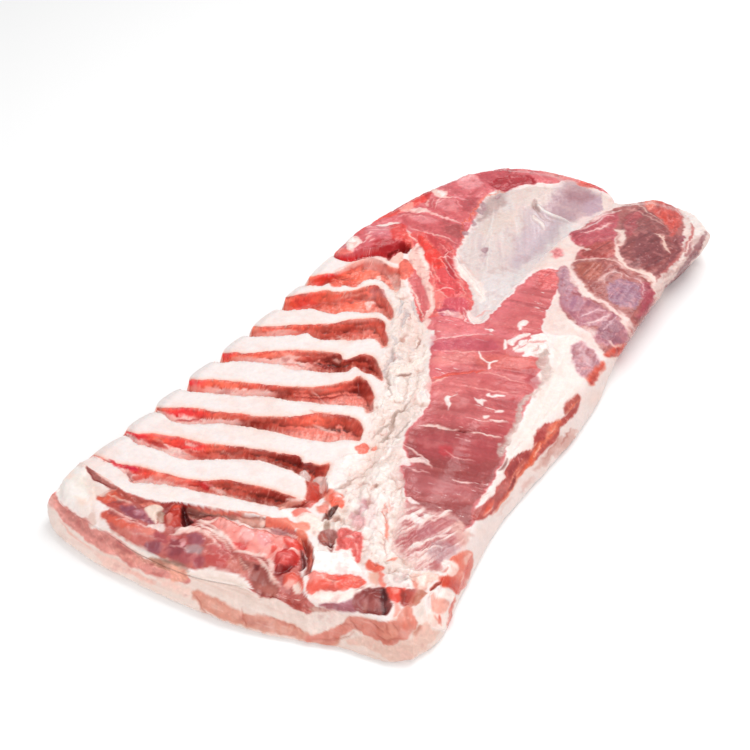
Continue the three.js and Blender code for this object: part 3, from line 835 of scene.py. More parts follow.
# ---- fat valley ---------------------------------------------------------------------------
# Between the beds' inner ends and the flank muscle lies soft creamy fat that was pulled, not
# cut: it is crumbly and folded along the slab, with a few shreds of lean left in it.
VALLEY = [
    (-58, 50), (-45, 45), (-30, 30), (-10, 12), (2, 0), (9, -10), (15, -22), (26, -38), (36, -50),
    (46, -66), (52, -85), (52, -115), (62, -132), (78, -150), (90, -168), (100, -178), (120, -185),
    (136, -192), (136, -228), (110, -238), (95, -234), (60, -234), (46, -215), (40, -180), (30, -162),
    (28, -140), (20, -115), (12, -100), (14, -85), (5, -68), (-8, -55), (-12, -40), (-20, -25),
    (-28, -5), (-40, 15), (-52, 35),
]
valley = smooth_line(VALLEY, 200, closed=True)
spots = spots_near(valley, 8)
px, py = sheet_x[spots] + wander_x[spots], sheet_y[spots] + wander_y[spots]
loose = smooth(inside(px, py, valley) / 8 * 0.5 + 0.4)
crumb = crumbs(px + 2 * lumps(px, py, 12, 61), py + 2 * lumps(px, py, 12, 62), 6.5, 63)
small_crumb = crumbs(px, py, 2.8, 64)
fold = fibres(px, py, 112, 34, 4.5, 65, 2)
raised[spots] += loose * (2.6 * (0.5 - crumb**2) + 1.1 * (0.5 - small_crumb) + 1.8 * fold)
lay(spots, loose * 0.8, "ead3c9", wet_to=0.4)
# The folds' hollows are painted warm beige as shade.
lay(spots, loose * smooth(-fold * 2 - 0.5) * 0.45, "dcb9ae")
lay(spots, loose * smooth(lumps(px, py, 16, 66, 2) * 2 - 0.3) * 0.5, "fbf3ee")
lay(spots, loose * smooth(lumps(px, py, 9, 68, 3) * 3 - 0.5) * smooth((py + 110) / 50) * 0.5, "cfc3c4")
broken = smooth(lumps(px, py, 13, 69, 2) * 3 + 0.7)
# The cracks between crumbs are painted darker as shade, the more where the fat is broken, and the crumbs'
# tops paler as painted light.
lay(spots, loose * smooth(crumb * 3.2 - 1.9) * mix(0.25, 0.8, broken), "c08f80")
lay(spots, loose * smooth(small_crumb * 3 - 1.7) * mix(0.15, 0.6, broken), "c9a093")
lay(spots, loose * smooth(1 - crumb * 2.2) * broken * 0.5, "fdf7f3")
lay(spots, loose * smooth(fibres(px, py, 115, 14, 1.6, 67) * 3 - 1.5) * 0.5, "d6938c")

# Soft lobes and flaps that the knife folded over, and the creases they leave, painted dark as shade; the
# grey-lilac and red lines among them are the fat's and lean's own colour.
VALLEY_FLAPS = [
    (in_muscle((600, 478), (608, 500), (596, 540), (560, 580), (510, 615), (470, 632), (425, 632),
        (400, 618), (396, 602), (430, 590), (480, 580), (530, 556), (566, 528), (585, 495)), "f6e6dc", 1.8),
    (in_muscle((560, 735), (585, 722), (605, 738), (604, 770), (590, 792), (566, 790), (552, 768)),
        "fbf1ec", 1.6),
    (in_muscle((396, 640), (440, 650), (470, 660), (455, 720), (420, 760), (385, 770), (370, 720),
        (380, 670)), "f4e6e0", 1.2),
    (in_muscle((470, 650), (520, 640), (560, 625), (600, 640), (580, 700), (540, 740), (490, 760),
        (470, 720)), "eedcd4", 0.8),
    (in_muscle((560, 150), (580, 240), (588, 330), (585, 400), (570, 440), (560, 380), (555, 300),
        (545, 220)), "f6e4dc", 1.2),
    (in_muscle((600, 300), (625, 330), (640, 310), (632, 350), (612, 400), (600, 470), (588, 440),
        (596, 370)), "f4dcd4", 1),
    (in_folds((460, 200), (500, 190), (540, 200), (545, 235), (510, 262), (470, 262), (450, 235)), "fbf2ee",
        1.6),
    (in_folds((545, 262), (600, 250), (640, 230), (650, 260), (610, 300), (560, 320), (530, 300)), "faeee8",
        1.4),
    (in_folds((480, 330), (530, 320), (560, 350), (540, 390), (500, 400), (470, 370)), "fbf1ec", 1.6),
    (in_folds((560, 360), (600, 340), (640, 330), (650, 370), (610, 400), (575, 410)), "f8ebe5", 1.2),
    (in_folds((540, 440), (590, 430), (640, 420), (650, 460), (600, 490), (550, 490)), "f6e6e0", 1.2),
    (in_folds((350, 290), (400, 280), (430, 300), (425, 330), (380, 345), (350, 325)), "f6ebe5", 1.2),
    (in_folds((560, 500), (600, 520), (640, 540), (640, 590), (600, 600), (565, 570)), "f9ebe4", 1.2),
]
for outline, code, lift in VALLEY_FLAPS:
    patch(outline, code, soft=2, ragged=1.6, lean_to=0, cover=0.8, lift=lift, lift_soft=4)
VALLEY_CREASES_AND_SHADE = [
    (in_muscle((425, 640), (465, 640), (505, 632), (515, 628)), 2, "8c5c50"),
    (in_muscle((392, 770), (385, 720), (378, 650), (392, 610), (400, 590)), 1.6, "a88a80"),
    (in_muscle((450, 830), (430, 860), (415, 890), (410, 930), (395, 970)), 3, "b09084"),
    (in_muscle((440, 850), (470, 820), (500, 790)), 1.4, "b89a90"),
    (in_muscle((388, 480), (400, 520), (380, 570), (370, 620), (376, 660)), 4, "c4b2b0"),
    (in_muscle((410, 420), (420, 450), (405, 480)), 4, "c8bab8"),
    (in_muscle((520, 200), (515, 240), (530, 280), (560, 330), (575, 360)), 3, "c4b5b4"),
    (in_muscle((470, 260), (480, 300), (470, 350), (450, 390)), 3, "c4b6b6"),
    (in_muscle((440, 200), (450, 240), (440, 290)), 3, "c8bcbc"),
    (in_muscle((540, 420), (560, 450), (550, 480), (530, 500)), 1.6, "a87468"),
    (in_muscle((490, 290), (495, 320), (510, 345)), 1.2, "b87f78"),
    (in_folds((690, 20), (660, 50), (640, 90), (610, 110), (580, 140), (560, 160)), 2, "b59a8e"),
    (in_folds((720, 40), (700, 80), (670, 120), (640, 150)), 1.6, "b8a29a"),
    (in_folds((640, 120), (620, 150), (590, 170)), 3, "ae9488"),
    (in_folds((410, 350), (430, 335), (470, 318), (500, 300), (540, 280)), 2.4, "a88478"),
    (in_folds((500, 300), (540, 262), (580, 240), (610, 215)), 1.2, "b89a8e"),
    (in_folds((440, 440), (480, 470), (520, 480)), 1.2, "c49c92"),
    (in_folds((540, 330), (560, 360), (545, 400), (560, 430)), 1.2, "cda89c"),
    (in_folds((620, 380), (615, 430), (625, 470), (618, 510)), 1.4, "e0705e"),
    (in_folds((640, 270), (650, 320), (640, 370)), 1.2, "d4b0a6"),
    (in_folds((560, 480), (600, 500), (610, 560), (620, 600)), 1.2, "d8a79c"),
]
for path, width, code in VALLEY_CREASES_AND_SHADE:
    streak(path, width, code, soft=1.6, ragged=1.6, cover=0.8, lift=-1)
VALLEY_THREADS = [
    (in_muscle((400, 650), (430, 720), (440, 790)), 1, "f6ebe6"),
    (in_muscle((500, 650), (510, 700), (495, 760), (470, 810)), 1.2, "f8eeea"),
    (in_muscle((540, 650), (545, 700), (520, 770), (490, 830)), 1, "dcc0b6"),
    (in_muscle((560, 640), (575, 690), (550, 750)), 1.2, "f9f0ec"),
    (in_muscle((480, 660), (485, 720), (465, 780)), 0.9, "d8bab0"),
    (in_muscle((520, 840), (500, 890), (490, 940)), 1.2, "f6e8e2"),
    (in_folds((660, 170), (620, 200), (590, 240)), 2, "fbf4f0"),
    (in_folds((700, 130), (660, 150), (640, 180)), 1.6, "f9efe9"),
    (in_folds((735, 60), (710, 100), (690, 130)), 1.4, "f5e8e2"),
    (in_folds((600, 420), (640, 400), (680, 400)), 1.6, "fbf3ef"),
    (in_folds((650, 480), (680, 440), (720, 420)), 1.4, "f9eeea"),
    (in_folds((640, 540), (690, 500), (730, 470)), 1.2, "f6e4de"),
    (in_folds((650, 600), (700, 570), (760, 550)), 1.6, "f6e4de"),
    (in_folds((660, 640), (720, 620), (790, 600)), 2, "f4e2dc"),
]
for path, width, code in VALLEY_THREADS:
    streak(path, width, code, soft=1.2, ragged=1.4, cover=0.85, lift=0.8)
VALLEY_LEAN_BITS = [
    (in_folds((505, 178), (530, 165), (552, 172), (548, 195), (520, 200)), "e8604c"),
    (in_folds((560, 180), (575, 175), (582, 188), (566, 196)), "ee8a74"),
]
for outline, code in VALLEY_LEAN_BITS:
    patch(outline, code, soft=1.4, ragged=1.2, lean_to=0.8, wet_to=0.9, cover=0.85, lift=0.5)

# ---- flank membrane -----------------------------------------------------------------------
# A thin silvery skin covers the hollow between the upper muscles; it is taut, faintly wrinkled
# crosswise, blue-pink where the lean shows through, with one slack fold across it.
MEMBRANE = [
    (5, 264), (30, 265), (58, 263), (63, 251), (56, 232), (51, 206), (47, 186), (43, 160), (41, 107),
    (39, 69), (39, 46), (36, 32), (31, 27), (26, 30), (22, 37), (15, 51), (1, 65), (-15, 86), (-24, 100),
    (-29, 109), (-33, 128), (-38, 151), (-43, 174), (-47, 197), (-45, 216), (-31, 230), (-20, 244),
    (-8, 248), (0, 256),
]
spots, deep = patch(MEMBRANE, "efdcd8", soft=2.5, ragged=1.4, lean_to=0.3, wet_to=0.8)
px, py = sheet_x[spots], sheet_y[spots]
within = smooth(deep / 6)
wrinkle = fibres(px, py, 118, 30, 3.2, 71, 2)
fine_wrinkle = fibres(px, py, 70, 9, 1.3, 72)
raised[spots] += within * (0.5 * wrinkle + 0.15 * fine_wrinkle) - 1.6 * smooth(deep / 5)
lay(spots, within * smooth(wrinkle * 1.6) * 0.4, "f8efec")
lay(spots, within * smooth(-wrinkle * 1.8 - 0.1) * 0.35, "d9bcc2")
MEMBRANE_LILAC = [(-2, 205), (5, 190), (8, 165), (12, 140), (20, 118), (30, 120), (36, 150), (36, 180),
    (32, 200), (15, 207)]
patch(MEMBRANE_LILAC, "d9c3cd", soft=16, ragged=3, cover=0.75)
MEMBRANE_FAR_END = [(6, 262), (20, 258), (45, 258), (60, 250), (52, 225), (46, 206), (30, 203), (10, 206),
    (4, 225)]
patch(MEMBRANE_FAR_END, "c9a3ac", soft=12, ragged=2, cover=0.9)
MEMBRANE_DARK_SPOT = [(14, 262), (28, 260), (40, 250), (38, 238), (22, 236), (10, 246)]
patch(MEMBRANE_DARK_SPOT, "b5848c", soft=10, ragged=2, cover=0.7)
MEMBRANE_FAR_CORNER = [(42, 255), (58, 252), (54, 235), (48, 220), (40, 225), (36, 242)]
patch(MEMBRANE_FAR_CORNER, "cfaebd", soft=8, ragged=2, cover=0.8)
MEMBRANE_PALE_RIDGE = [(36, 200), (46, 200), (44, 160), (41, 107), (39, 60), (34, 40), (20, 62), (10, 90),
    (24, 110), (36, 150)]
patch(MEMBRANE_PALE_RIDGE, "f6ebea", soft=10, ragged=2, cover=0.8)
MEMBRANE_BROWN_RIM = [(-44, 205), (-38, 215), (-30, 205), (-28, 190), (-32, 170), (-36, 160), (-42, 178),
    (-46, 195)]
patch(MEMBRANE_BROWN_RIM, "b99c98", soft=7, ragged=2, cover=0.75)
MEMBRANE_PALE_CORNER = [(-20, 240), (-5, 246), (4, 235), (2, 215), (-8, 205), (-25, 205), (-30, 220)]
patch(MEMBRANE_PALE_CORNER, "f4ded6", soft=9, ragged=2, cover=0.8)
MEMBRANE_PALE_SIDE = [(-10, 195), (-25, 185), (-30, 165), (-28, 145), (-15, 150), (-6, 170)]
patch(MEMBRANE_PALE_SIDE, "f0d9cf", soft=9, ragged=2, cover=0.8)
MEMBRANE_GREY_DIP = [(-12, 128), (-8, 118), (2, 105), (-2, 120), (-8, 130)]
patch(MEMBRANE_GREY_DIP, "d2b4bb", soft=4, ragged=2, cover=0.7)
SLACK_FOLD = [(-4, 214), (4, 208), (14, 205), (26, 204), (37, 202)]
streak(SLACK_FOLD, 5, "f9efeb", soft=2, lift=1.8)
SLACK_FOLD_END = [(2, 196), (8, 190), (16, 186), (22, 180)]
streak(SLACK_FOLD_END, 5, "f7e8e2", soft=2, lift=1.6)
SLACK_FOLD_SHADOW = [(-5, 212), (6, 202), (14, 196), (24, 196)]
streak(SLACK_FOLD_SHADOW, 4, "cbaaa8", soft=2, cover=0.6, lift=-1.0)
# Painted shade in the hollow beside the fold.
SLACK_FOLD_HOLLOW_SHADE = [(-8, 222), (-3, 210), (6, 204)]
streak(SLACK_FOLD_HOLLOW_SHADE, 5, "b79691", soft=2, cover=0.7, lift=-0.8)
for k in range(5):
    streak([(-34 + 6 * k, 190 - 14 * k), (-22 + 7 * k, 160 - 15 * k), (-14 + 8 * k, 128 - 15 * k)], 2.2,
        "f7ece8", cover=0.6, lift=0.4)
colour[spots] *= mix(1, 0.91, within)[:, None]

# ---- upper edge lean -----------------------------------------------------------------------
# A band of red lean runs round the far edge outside the membrane and narrows to strands that
# slant down to the flank muscle; pale sinew crosses it in bars.
UPPER_EDGE = [
    (-150, 100), (-118, 100), (-106, 108), (-98, 118), (-90, 118), (-82, 113), (-74, 108), (-68, 104),
    (-60, 96), (-52, 84), (-44, 68), (-34, 50), (-20, 30), (-8, 14), (2, 2), (9, 4), (14, 18), (22, 27),
    (30, 27), (22, 37), (15, 51), (1, 65), (-15, 86), (-24, 100), (-29, 109), (-33, 128), (-38, 151),
    (-43, 174), (-47, 197), (-45, 216), (-31, 230), (-20, 244), (-8, 248), (0, 256), (5, 264), (30, 265),
    (58, 263), (64, 275), (60, 310), (-60, 310), (-150, 250),
]
spots, deep = patch(UPPER_EDGE, "d3646a", soft=0.9, ragged=1.2, lean_to=1, wet_to=0.75)
px, py = sheet_x[spots], sheet_y[spots]
within = smooth(deep / 5)
# The lean stands over the membrane in a soft roll; its fibres run round the slab's end.
curve = fibres(px + 0.004 * (py - 150) ** 2, py, 150, 40, 4, 73, 2)
raised[spots] += within * (1.2 + 0.5 * curve) * smooth((py - 20) / 60)
lay(spots, within * smooth(curve * 1.8) * 0.45, "e88f90")
lay(spots, within * smooth(-curve * 1.8 - 0.2) * 0.45, "b9444a")
UPPER_PARTS = [
    (in_edge((400, 330), (480, 335), (560, 345), (640, 370), (730, 400), (740, 470), (700, 520), (640, 480),
        (560, 440), (500, 430), (450, 400), (410, 370)), "c7575b", 3, 0.8),
    (in_edge((430, 345), (520, 345), (600, 370), (560, 390), (480, 380)), "dd8084", 4, 0),
    (in_edge((640, 400), (730, 400), (735, 460), (690, 470), (640, 440)), "a8484a", 4, 0),
    (in_edge((560, 250), (640, 245), (720, 250), (800, 260), (820, 330), (760, 370), (700, 350), (620, 340),
        (570, 300)), "cc5c60", 3, 0.8),
    (in_edge((600, 260), (680, 255), (720, 300), (660, 320), (600, 300)), "da7c80", 4, 0),
    (in_edge((740, 250), (820, 230), (830, 280), (790, 330), (740, 310)), "b24a50", 4, 0),
    (in_edge((600, 165), (700, 130), (800, 105), (900, 85), (1000, 75), (1000, 180), (900, 200), (830, 240),
        (740, 235), (660, 230), (600, 200)), "d0646a", 3, 0.8),
    # This paler patch on the top segment is painted sheen.
    (in_edge((700, 150), (800, 130), (860, 150), (820, 190), (740, 190)), "e79498", 5, 0),
    (in_edge((840, 110), (1000, 95), (1000, 150), (900, 170), (840, 150)), "bb4a52", 4, 0),
    (in_edge((420, 280), (480, 240), (530, 195), (560, 210), (550, 250), (500, 280), (450, 300)), "e23c34",
        2, 0.6),
    (in_edge((520, 200), (560, 205), (555, 240), (535, 250)), "b81e22", 2, 0),
    (in_edge((130, 410), (220, 375), (300, 335), (380, 300), (420, 290), (430, 310), (390, 330), (300, 360),
        (220, 385)), "e04a42", 2, 0.4),
    (in_edge((385, 295), (450, 270), (470, 290), (430, 320), (390, 320)), "f0988c", 2, 0.6),
]
for outline, code, soft, lift in UPPER_PARTS:
    patch(outline, code, soft=soft, ragged=1.2, cover=0.9, lift=lift)
UPPER_EDGE_SINEW = [
    (in_edge((380, 325), (450, 318), (520, 322), (600, 340), (680, 365), (740, 395)), 3, "f3bdb4"),
    (in_edge((545, 170), (575, 195), (600, 225), (650, 240), (710, 235)), 4, "f4c6bc"),
    (in_edge((570, 200), (590, 225), (620, 245)), 4, "f8ded6"),
    (in_edge((580, 310), (600, 280), (640, 250)), 1, "f0c4bc"),
    (in_edge((690, 135), (760, 125), (800, 135)), 3, "f5cdc4"),
    (in_edge((430, 345), (500, 350), (560, 370)), 1, "f2bab2"),
    (in_edge((500, 430), (560, 440), (640, 470), (700, 500)), 1.2, "f4c8bc"),
    (in_edge((540, 450), (600, 470), (660, 500), (700, 530)), 1, "f4c8bc"),
]
for path, width, code in UPPER_EDGE_SINEW:
    streak(path, width, code, soft=1.2, ragged=1.5, cover=0.85, lift=0.3)
UPPER_EDGE_PLAQUES = [
    (in_edge((556, 188), (580, 192), (612, 205), (648, 214), (655, 234), (622, 240), (592, 238),
        (566, 214)), "f4cdc4", 1.6),
    (in_edge((700, 128), (740, 108), (790, 112), (812, 128), (770, 146), (722, 150)), "efa8aa", 4),
    (in_edge((505, 298), (540, 310), (556, 322), (520, 326), (470, 318), (440, 312), (470, 304)), "f6d4cb",
        1.4),
    (in_edge((540, 250), (552, 262), (548, 290), (536, 292), (532, 268)), "f0b8ae", 1.4),
    (in_edge((600, 215), (625, 212), (640, 226), (618, 234)), "fcebe6", 1),
]
for outline, code, soft in UPPER_EDGE_PLAQUES:
    patch(outline, code, soft=soft, ragged=1.6, lean_to=0.4, cover=0.85, lift=0.5)
UPPER_EDGE_GLINTS = [
    (in_edge((560, 330), (600, 340), (650, 352), (700, 372), (735, 392)), 1.4, "efb6b4"),
    (in_edge((590, 290), (605, 262), (628, 238)), 1, "f3c6c2"),
    (in_edge((560, 300), (580, 262), (590, 245)), 0.8, "f3c6c2"),
    (in_edge((700, 250), (715, 275), (740, 300)), 1.4, "eeb0b2"),
    (in_edge((680, 235), (720, 240), (760, 262)), 2.4, "e79aa0"),
    (in_edge((580, 175), (640, 160), (700, 150)), 1.4, "f0b2b2"),
    (in_edge((820, 100), (880, 92), (950, 85)), 2, "e68c90"),
    (in_edge((440, 400), (470, 420), (520, 440), (560, 470)), 1.2, "f2c0ba"),
    (in_edge((450, 455), (470, 462), (490, 470)), 2.4, "fae4dc"),
    (in_edge((380, 350), (420, 335), (470, 330)), 1.4, "f0aeac"),
]
for path, width, code in UPPER_EDGE_GLINTS:
    streak(path, width, code, soft=1.4, ragged=1.4, cover=0.75, lift=0.2)
UPPER_EDGE_DARK = [(-54, 216), (-42, 214), (-33, 223), (-27, 235), (-18, 243), (-24, 249), (-34, 248),
    (-44, 240), (-52, 230)]
patch(UPPER_EDGE_DARK, "a2222c", soft=3, ragged=1.6, cover=0.85, lift=-1.5)
FAR_END_BLUSH = [(-62, 262), (-40, 264), (-15, 262), (10, 262), (40, 268), (60, 264), (66, 290), (-60, 290)]
patch(FAR_END_BLUSH, "dd8a84", soft=6, ragged=3, cover=0.7)
FAR_END_RED_SPOT = [(18, 262), (30, 264), (32, 272), (20, 272)]
patch(FAR_END_RED_SPOT, "dd5548", soft=3, ragged=2, cover=0.8)
# Along the membrane the lean is cut to an orange-red edge with small pits outside it.
ORANGE_EDGE = in_edge((1000, 192), (960, 196), (900, 215), (850, 245), (825, 300), (790, 350), (750, 380),
    (735, 440), (740, 490), (700, 525))
streak(ORANGE_EDGE, 1.6, "e0644c", soft=1, ragged=2.4, cover=0.8, lift=0.4)
EDGE_PITS = [
    in_edge((835, 270), (860, 262), (872, 290), (850, 305)),
    in_edge((822, 300), (845, 298), (850, 320), (828, 322)),
    in_edge((780, 372), (800, 362), (806, 380), (788, 392)),
    in_edge((915, 228), (950, 212), (955, 232), (930, 240)),
    in_edge((740, 430), (765, 425), (770, 440), (748, 445)),
    in_edge((840, 520), (870, 505), (880, 525), (855, 535)),
]
for outline in EDGE_PITS:
    patch(outline, "a8848a", soft=1.6, ragged=1.2, lean_to=0.5, cover=0.8, lift=-0.7)
# Strands that slant down from the edge to the flank muscle.
STRANDS = in_edge((445, 440), (500, 430), (570, 450), (640, 480), (700, 530), (690, 600), (720, 650),
    (770, 720), (800, 800), (790, 860), (740, 890), (640, 895), (560, 900), (540, 960), (500, 900),
    (470, 800), (425, 690), (440, 640), (450, 560), (470, 500))
spots, deep = patch(STRANDS, "dc5a58", soft=1.5, ragged=1, lean_to=1, wet_to=0.85)
px, py = sheet_x[spots], sheet_y[spots]
within = smooth(deep / 4)
strand = fibres(px, py, -56, 30, 4.5, 75, 3)
raised[spots] += within * 1.4 * strand
# The raised strands are painted paler as highlights and the grooves between them darker as shade.
lay(spots, within * smooth(strand * 2.2 - 0.3) * 0.6, "ee8f88")
lay(spots, within * smooth(-strand * 2.4 - 0.5) * 0.7, "b8343a")
STRAND_PARTS = [
    (in_edge((490, 450), (540, 480), (600, 540), (640, 610), (600, 640), (560, 610), (520, 560),
        (495, 500)), "e8382f", 2.5, 0.8),
    (in_edge((540, 440), (600, 470), (650, 500), (680, 560), (690, 620), (640, 600), (600, 530),
        (560, 480)), "c43c40", 3, 0.5),
    (in_edge((600, 640), (660, 640), (700, 700), (740, 760), (700, 790), (640, 770), (600, 720)), "e04c50",
        4, 0.8),
    (in_edge((640, 610), (690, 620), (700, 680), (680, 690), (650, 650)), "b0202c", 2.5, 0),
    (in_edge((560, 740), (620, 760), (640, 830), (600, 860), (570, 820)), "ec7b74", 3, 0.6),
    (in_edge((640, 800), (720, 800), (780, 820), (770, 870), (700, 880), (640, 870)), "cf4f5c", 4, 0),
    (in_edge((600, 860), (660, 860), (720, 880), (700, 900), (620, 895)), "a83a50", 3, 0),
    (in_edge((440, 560), (480, 500), (500, 540), (540, 620), (560, 700), (580, 760), (560, 840), (530, 830),
        (530, 760), (500, 700), (480, 640), (450, 620)), "f4cfc4", 2, 0.8),
    (in_edge((480, 500), (500, 490), (530, 560), (560, 640), (550, 660), (520, 600), (495, 560)), "f7e0d8",
        2, 0.6),
    (in_edge((430, 680), (470, 640), (510, 700), (540, 760), (555, 830), (540, 900), (520, 880), (490, 810),
        (450, 740)), "d2686a", 2, 0.4),
    (in_edge((380, 590), (430, 580), (460, 620), (455, 660), (420, 690), (395, 690), (385, 640)), "ea6250",
        1.6, 1.6),
    (in_edge((330, 580), (345, 540), (380, 530), (410, 550), (405, 590), (370, 605), (340, 600)), "f5c4b6",
        1.4, 2.2),
    (in_edge((0, 695), (40, 690), (60, 710), (40, 730), (0, 725)), "e8604e", 1.5, 1.2),
    (in_edge((75, 705), (120, 700), (160, 712), (150, 728), (95, 728)), "ea6a58", 1.5, 1.2),
]
for outline, code, soft, lift in STRAND_PARTS:
    patch(outline, code, soft=soft, ragged=1.2, lean_to=0.9, wet_to=0.9, cover=0.9, lift=lift)
STRAND_THREADS = [
    (in_edge((420, 670), (450, 740), (480, 800), (510, 870), (530, 940)), 1.6, "f6dcd0"),
    (in_edge((700, 520), (640, 560), (680, 640), (740, 720)), 1.2, "f6d2c8"),
    (in_edge((600, 590), (650, 570), (690, 580)), 1.2, "f8ded8"),
    (in_edge((570, 580), (620, 600), (650, 640), (690, 700)), 1, "f8d0c8"),
    (in_edge((590, 760), (640, 740), (700, 760)), 1.2, "f6ccc4"),
    (in_edge((745, 850), (770, 880), (800, 920), (820, 960)), 1.6, "f6dcd4"),
    (in_edge((530, 920), (560, 870), (570, 840), (580, 800)), 4, "f5ddd3"),
    (in_edge((525, 985), (535, 940), (560, 900)), 5, "f6e2da"),
]
for path, width, code in STRAND_THREADS:
    streak(path, width, code, soft=1, ragged=1.2, cover=0.85, lift=0.4)
# The membrane's long pale fold beside the strands.
LONG_FOLD = in_edge((690, 560), (730, 620), (780, 690), (830, 760), (870, 800))
streak(LONG_FOLD, 5, "f9f0ec", soft=2, lift=1.4)
LONG_FOLD_SHADOW = in_edge((700, 520), (760, 600), (830, 690), (850, 760))
streak(LONG_FOLD_SHADOW, 1.2, "e9c4bc", soft=1, cover=0.8, lift=-0.6)
LONG_FOLD_END = in_edge((800, 900), (840, 880), (870, 860), (900, 850))
streak(LONG_FOLD_END, 2, "e6908a", soft=1.5, ragged=2, cover=0.7)
MEMBRANE_END_FOLDS = [
    (in_edge((690, 572), (740, 590), (790, 640), (840, 700), (868, 760), (860, 810), (820, 790), (780, 730),
        (735, 680), (700, 630)), "f6e4dd", 4, 0.8),
    (in_edge((640, 880), (690, 872), (740, 890), (735, 925), (690, 930), (650, 912)), "f4c8c0", 3, 0.6),
    (in_edge((770, 860), (800, 880), (840, 905), (800, 925), (770, 900)), "f8e6e0", 3, 0.8),
]
for outline, code, soft, cover in MEMBRANE_END_FOLDS:
    patch(outline, code, soft=soft, ragged=2, lean_to=0.3, cover=cover)
STRAND_GLINTS = [
    (in_edge((560, 600), (580, 640), (600, 690), (640, 730)), 1.6, "f6a49a"),
    (in_edge((545, 620), (560, 650), (575, 690)), 1.2, "fbd0c8"),
    (in_edge((600, 740), (630, 770), (670, 800)), 1.4, "f4b4ac"),
    (in_edge((700, 700), (730, 740), (760, 790)), 1.4, "f3b0a8"),
    (in_edge((520, 470), (560, 500), (580, 540)), 1.6, "e86a5c"),
    (in_edge((610, 500), (650, 530), (690, 560)), 1.4, "e6908c"),
    (in_edge((590, 880), (640, 875), (700, 890)), 2, "f5cdc6"),
    (in_edge((740, 870), (760, 910), (770, 940)), 1.2, "f6dcd6"),
]
for path, width, code in STRAND_GLINTS:
    streak(path, width, code, soft=1.2, ragged=1.4, wet_to=1, cover=0.8, lift=0.3)

# ---- lobe at the rib edge ---------------------------------------------------------------------
# The last ribs left a round red muscle bare at the edge, with a plug of white gristle beside it.
LOBE_PARTS = [
    (in_edge((130, 415), (210, 388), (300, 395), (380, 378), (415, 385), (430, 430), (440, 480), (445, 515),
        (400, 540), (335, 580), (300, 570), (230, 550), (150, 560), (60, 572), (20, 560), (60, 510),
        (100, 470), (120, 440)), "cf5b62", 1.2, 1.8),
    # This paler pink patch over the lobe's top is a painted wet highlight.
    (in_edge((200, 400), (300, 400), (360, 400), (370, 440), (300, 460), (220, 450)), "d97880", 5, 0),
    (in_edge((130, 420), (200, 400), (190, 440), (150, 460), (120, 450)), "d8565a", 3, 0),
    (in_edge((340, 400), (415, 385), (430, 430), (440, 490), (400, 500), (350, 490)), "dd4440", 4, 0.6),
    (in_edge((250, 480), (340, 470), (430, 500), (440, 515), (400, 540), (335, 575), (280, 560),
        (240, 530)), "b42a30", 4, 0),
    (in_edge((385, 505), (420, 500), (450, 500), (440, 530), (400, 545)), "9c1a1e", 3, -1.6),
    (in_edge((320, 560), (345, 540), (400, 535), (440, 530), (430, 550), (400, 545), (350, 560),
        (335, 590)), "7e1014", 2, -1.8),
]
for outline, code, soft, lift in LOBE_PARTS:
    patch(outline, code, soft=soft, ragged=1, lean_to=1, wet_to=0.9, cover=0.95, lift=lift, lift_soft=5)
LOBE_LINES = [
    (in_edge((320, 575), (350, 556), (385, 545), (425, 535), (445, 520)), 2.4, "a01818", -1.2),
    (in_edge((20, 568), (70, 580), (130, 588), (200, 570), (260, 555)), 2, "c01c20", -1),
    # These two pale lines over the lobe's top are painted sheen.
    (in_edge((200, 410), (260, 408), (320, 412)), 1.2, "f0b8b8", 0.2),
    (in_edge((210, 425), (280, 422), (340, 425)), 1, "f0b8b8", 0.2),
    (in_edge((200, 480), (215, 460), (235, 455)), 3, "f2b4b0", 0.3),
    (in_edge((10, 560), (60, 575), (120, 572), (180, 562), (230, 548), (270, 545), (330, 575)), 3.2,
        "cf1f26", -2),
    (in_edge((130, 470), (165, 480), (170, 500)), 1.4, "e89088", 0),
]
for path, width, code, lift in LOBE_LINES:
    streak(path, width, code, soft=1.2, wet_to=0.9, cover=0.85, lift=lift)
GRISTLE_PLUG = in_edge((78, 500), (95, 470), (118, 458), (150, 462), (168, 482), (160, 508), (138, 522),
    (120, 545), (98, 540), (82, 525))
patch(GRISTLE_PLUG, "f3cfc6", soft=2, ragged=2, lean_to=0.2, cover=0.9, lift=0.8)
# A painted highlight on the gristle's top.
GRISTLE_TOP_HIGHLIGHT = in_edge((98, 478), (118, 466), (140, 470), (136, 490), (112, 498), (98, 494))
patch(GRISTLE_TOP_HIGHLIGHT, "fcefea", soft=1, ragged=1.2, lean_to=0, cover=0.9, lift=1.2)
GRISTLE_SIDE = in_edge((140, 474), (160, 480), (158, 500), (142, 506), (136, 490))
patch(GRISTLE_SIDE, "f8e2dc", soft=1, ragged=1, lean_to=0, cover=0.9, lift=0.8)
GRISTLE_FOOT = in_edge((84, 512), (104, 502), (124, 508), (116, 530), (98, 534))
patch(GRISTLE_FOOT, "f7ddd6", soft=1, ragged=1, lean_to=0, cover=0.9, lift=0.8)
LOBE_GLINTS = [
    (in_edge((178, 500), (195, 488), (205, 480)), 2.2, "f5c9c6"),
    (in_edge((198, 452), (225, 440), (248, 436)), 1.6, "f3c2c2"),
    (in_edge((215, 495), (235, 478), (245, 470)), 1.4, "f1b6b4"),
    (in_edge((262, 450), (290, 440), (318, 450)), 1.4, "eeb0b0"),
    (in_edge((180, 545), (215, 540), (250, 530), (285, 528)), 1.4, "f0a8a2"),
    (in_edge((330, 420), (360, 408), (392, 402)), 1.6, "e88a88"),
]
for path, width, code in LOBE_GLINTS:
    streak(path, width, code, soft=1.2, ragged=1.4, cover=0.8, lift=0.2)
LOBE_FOOT = in_edge((10, 540), (50, 520), (90, 530), (130, 550), (60, 560))
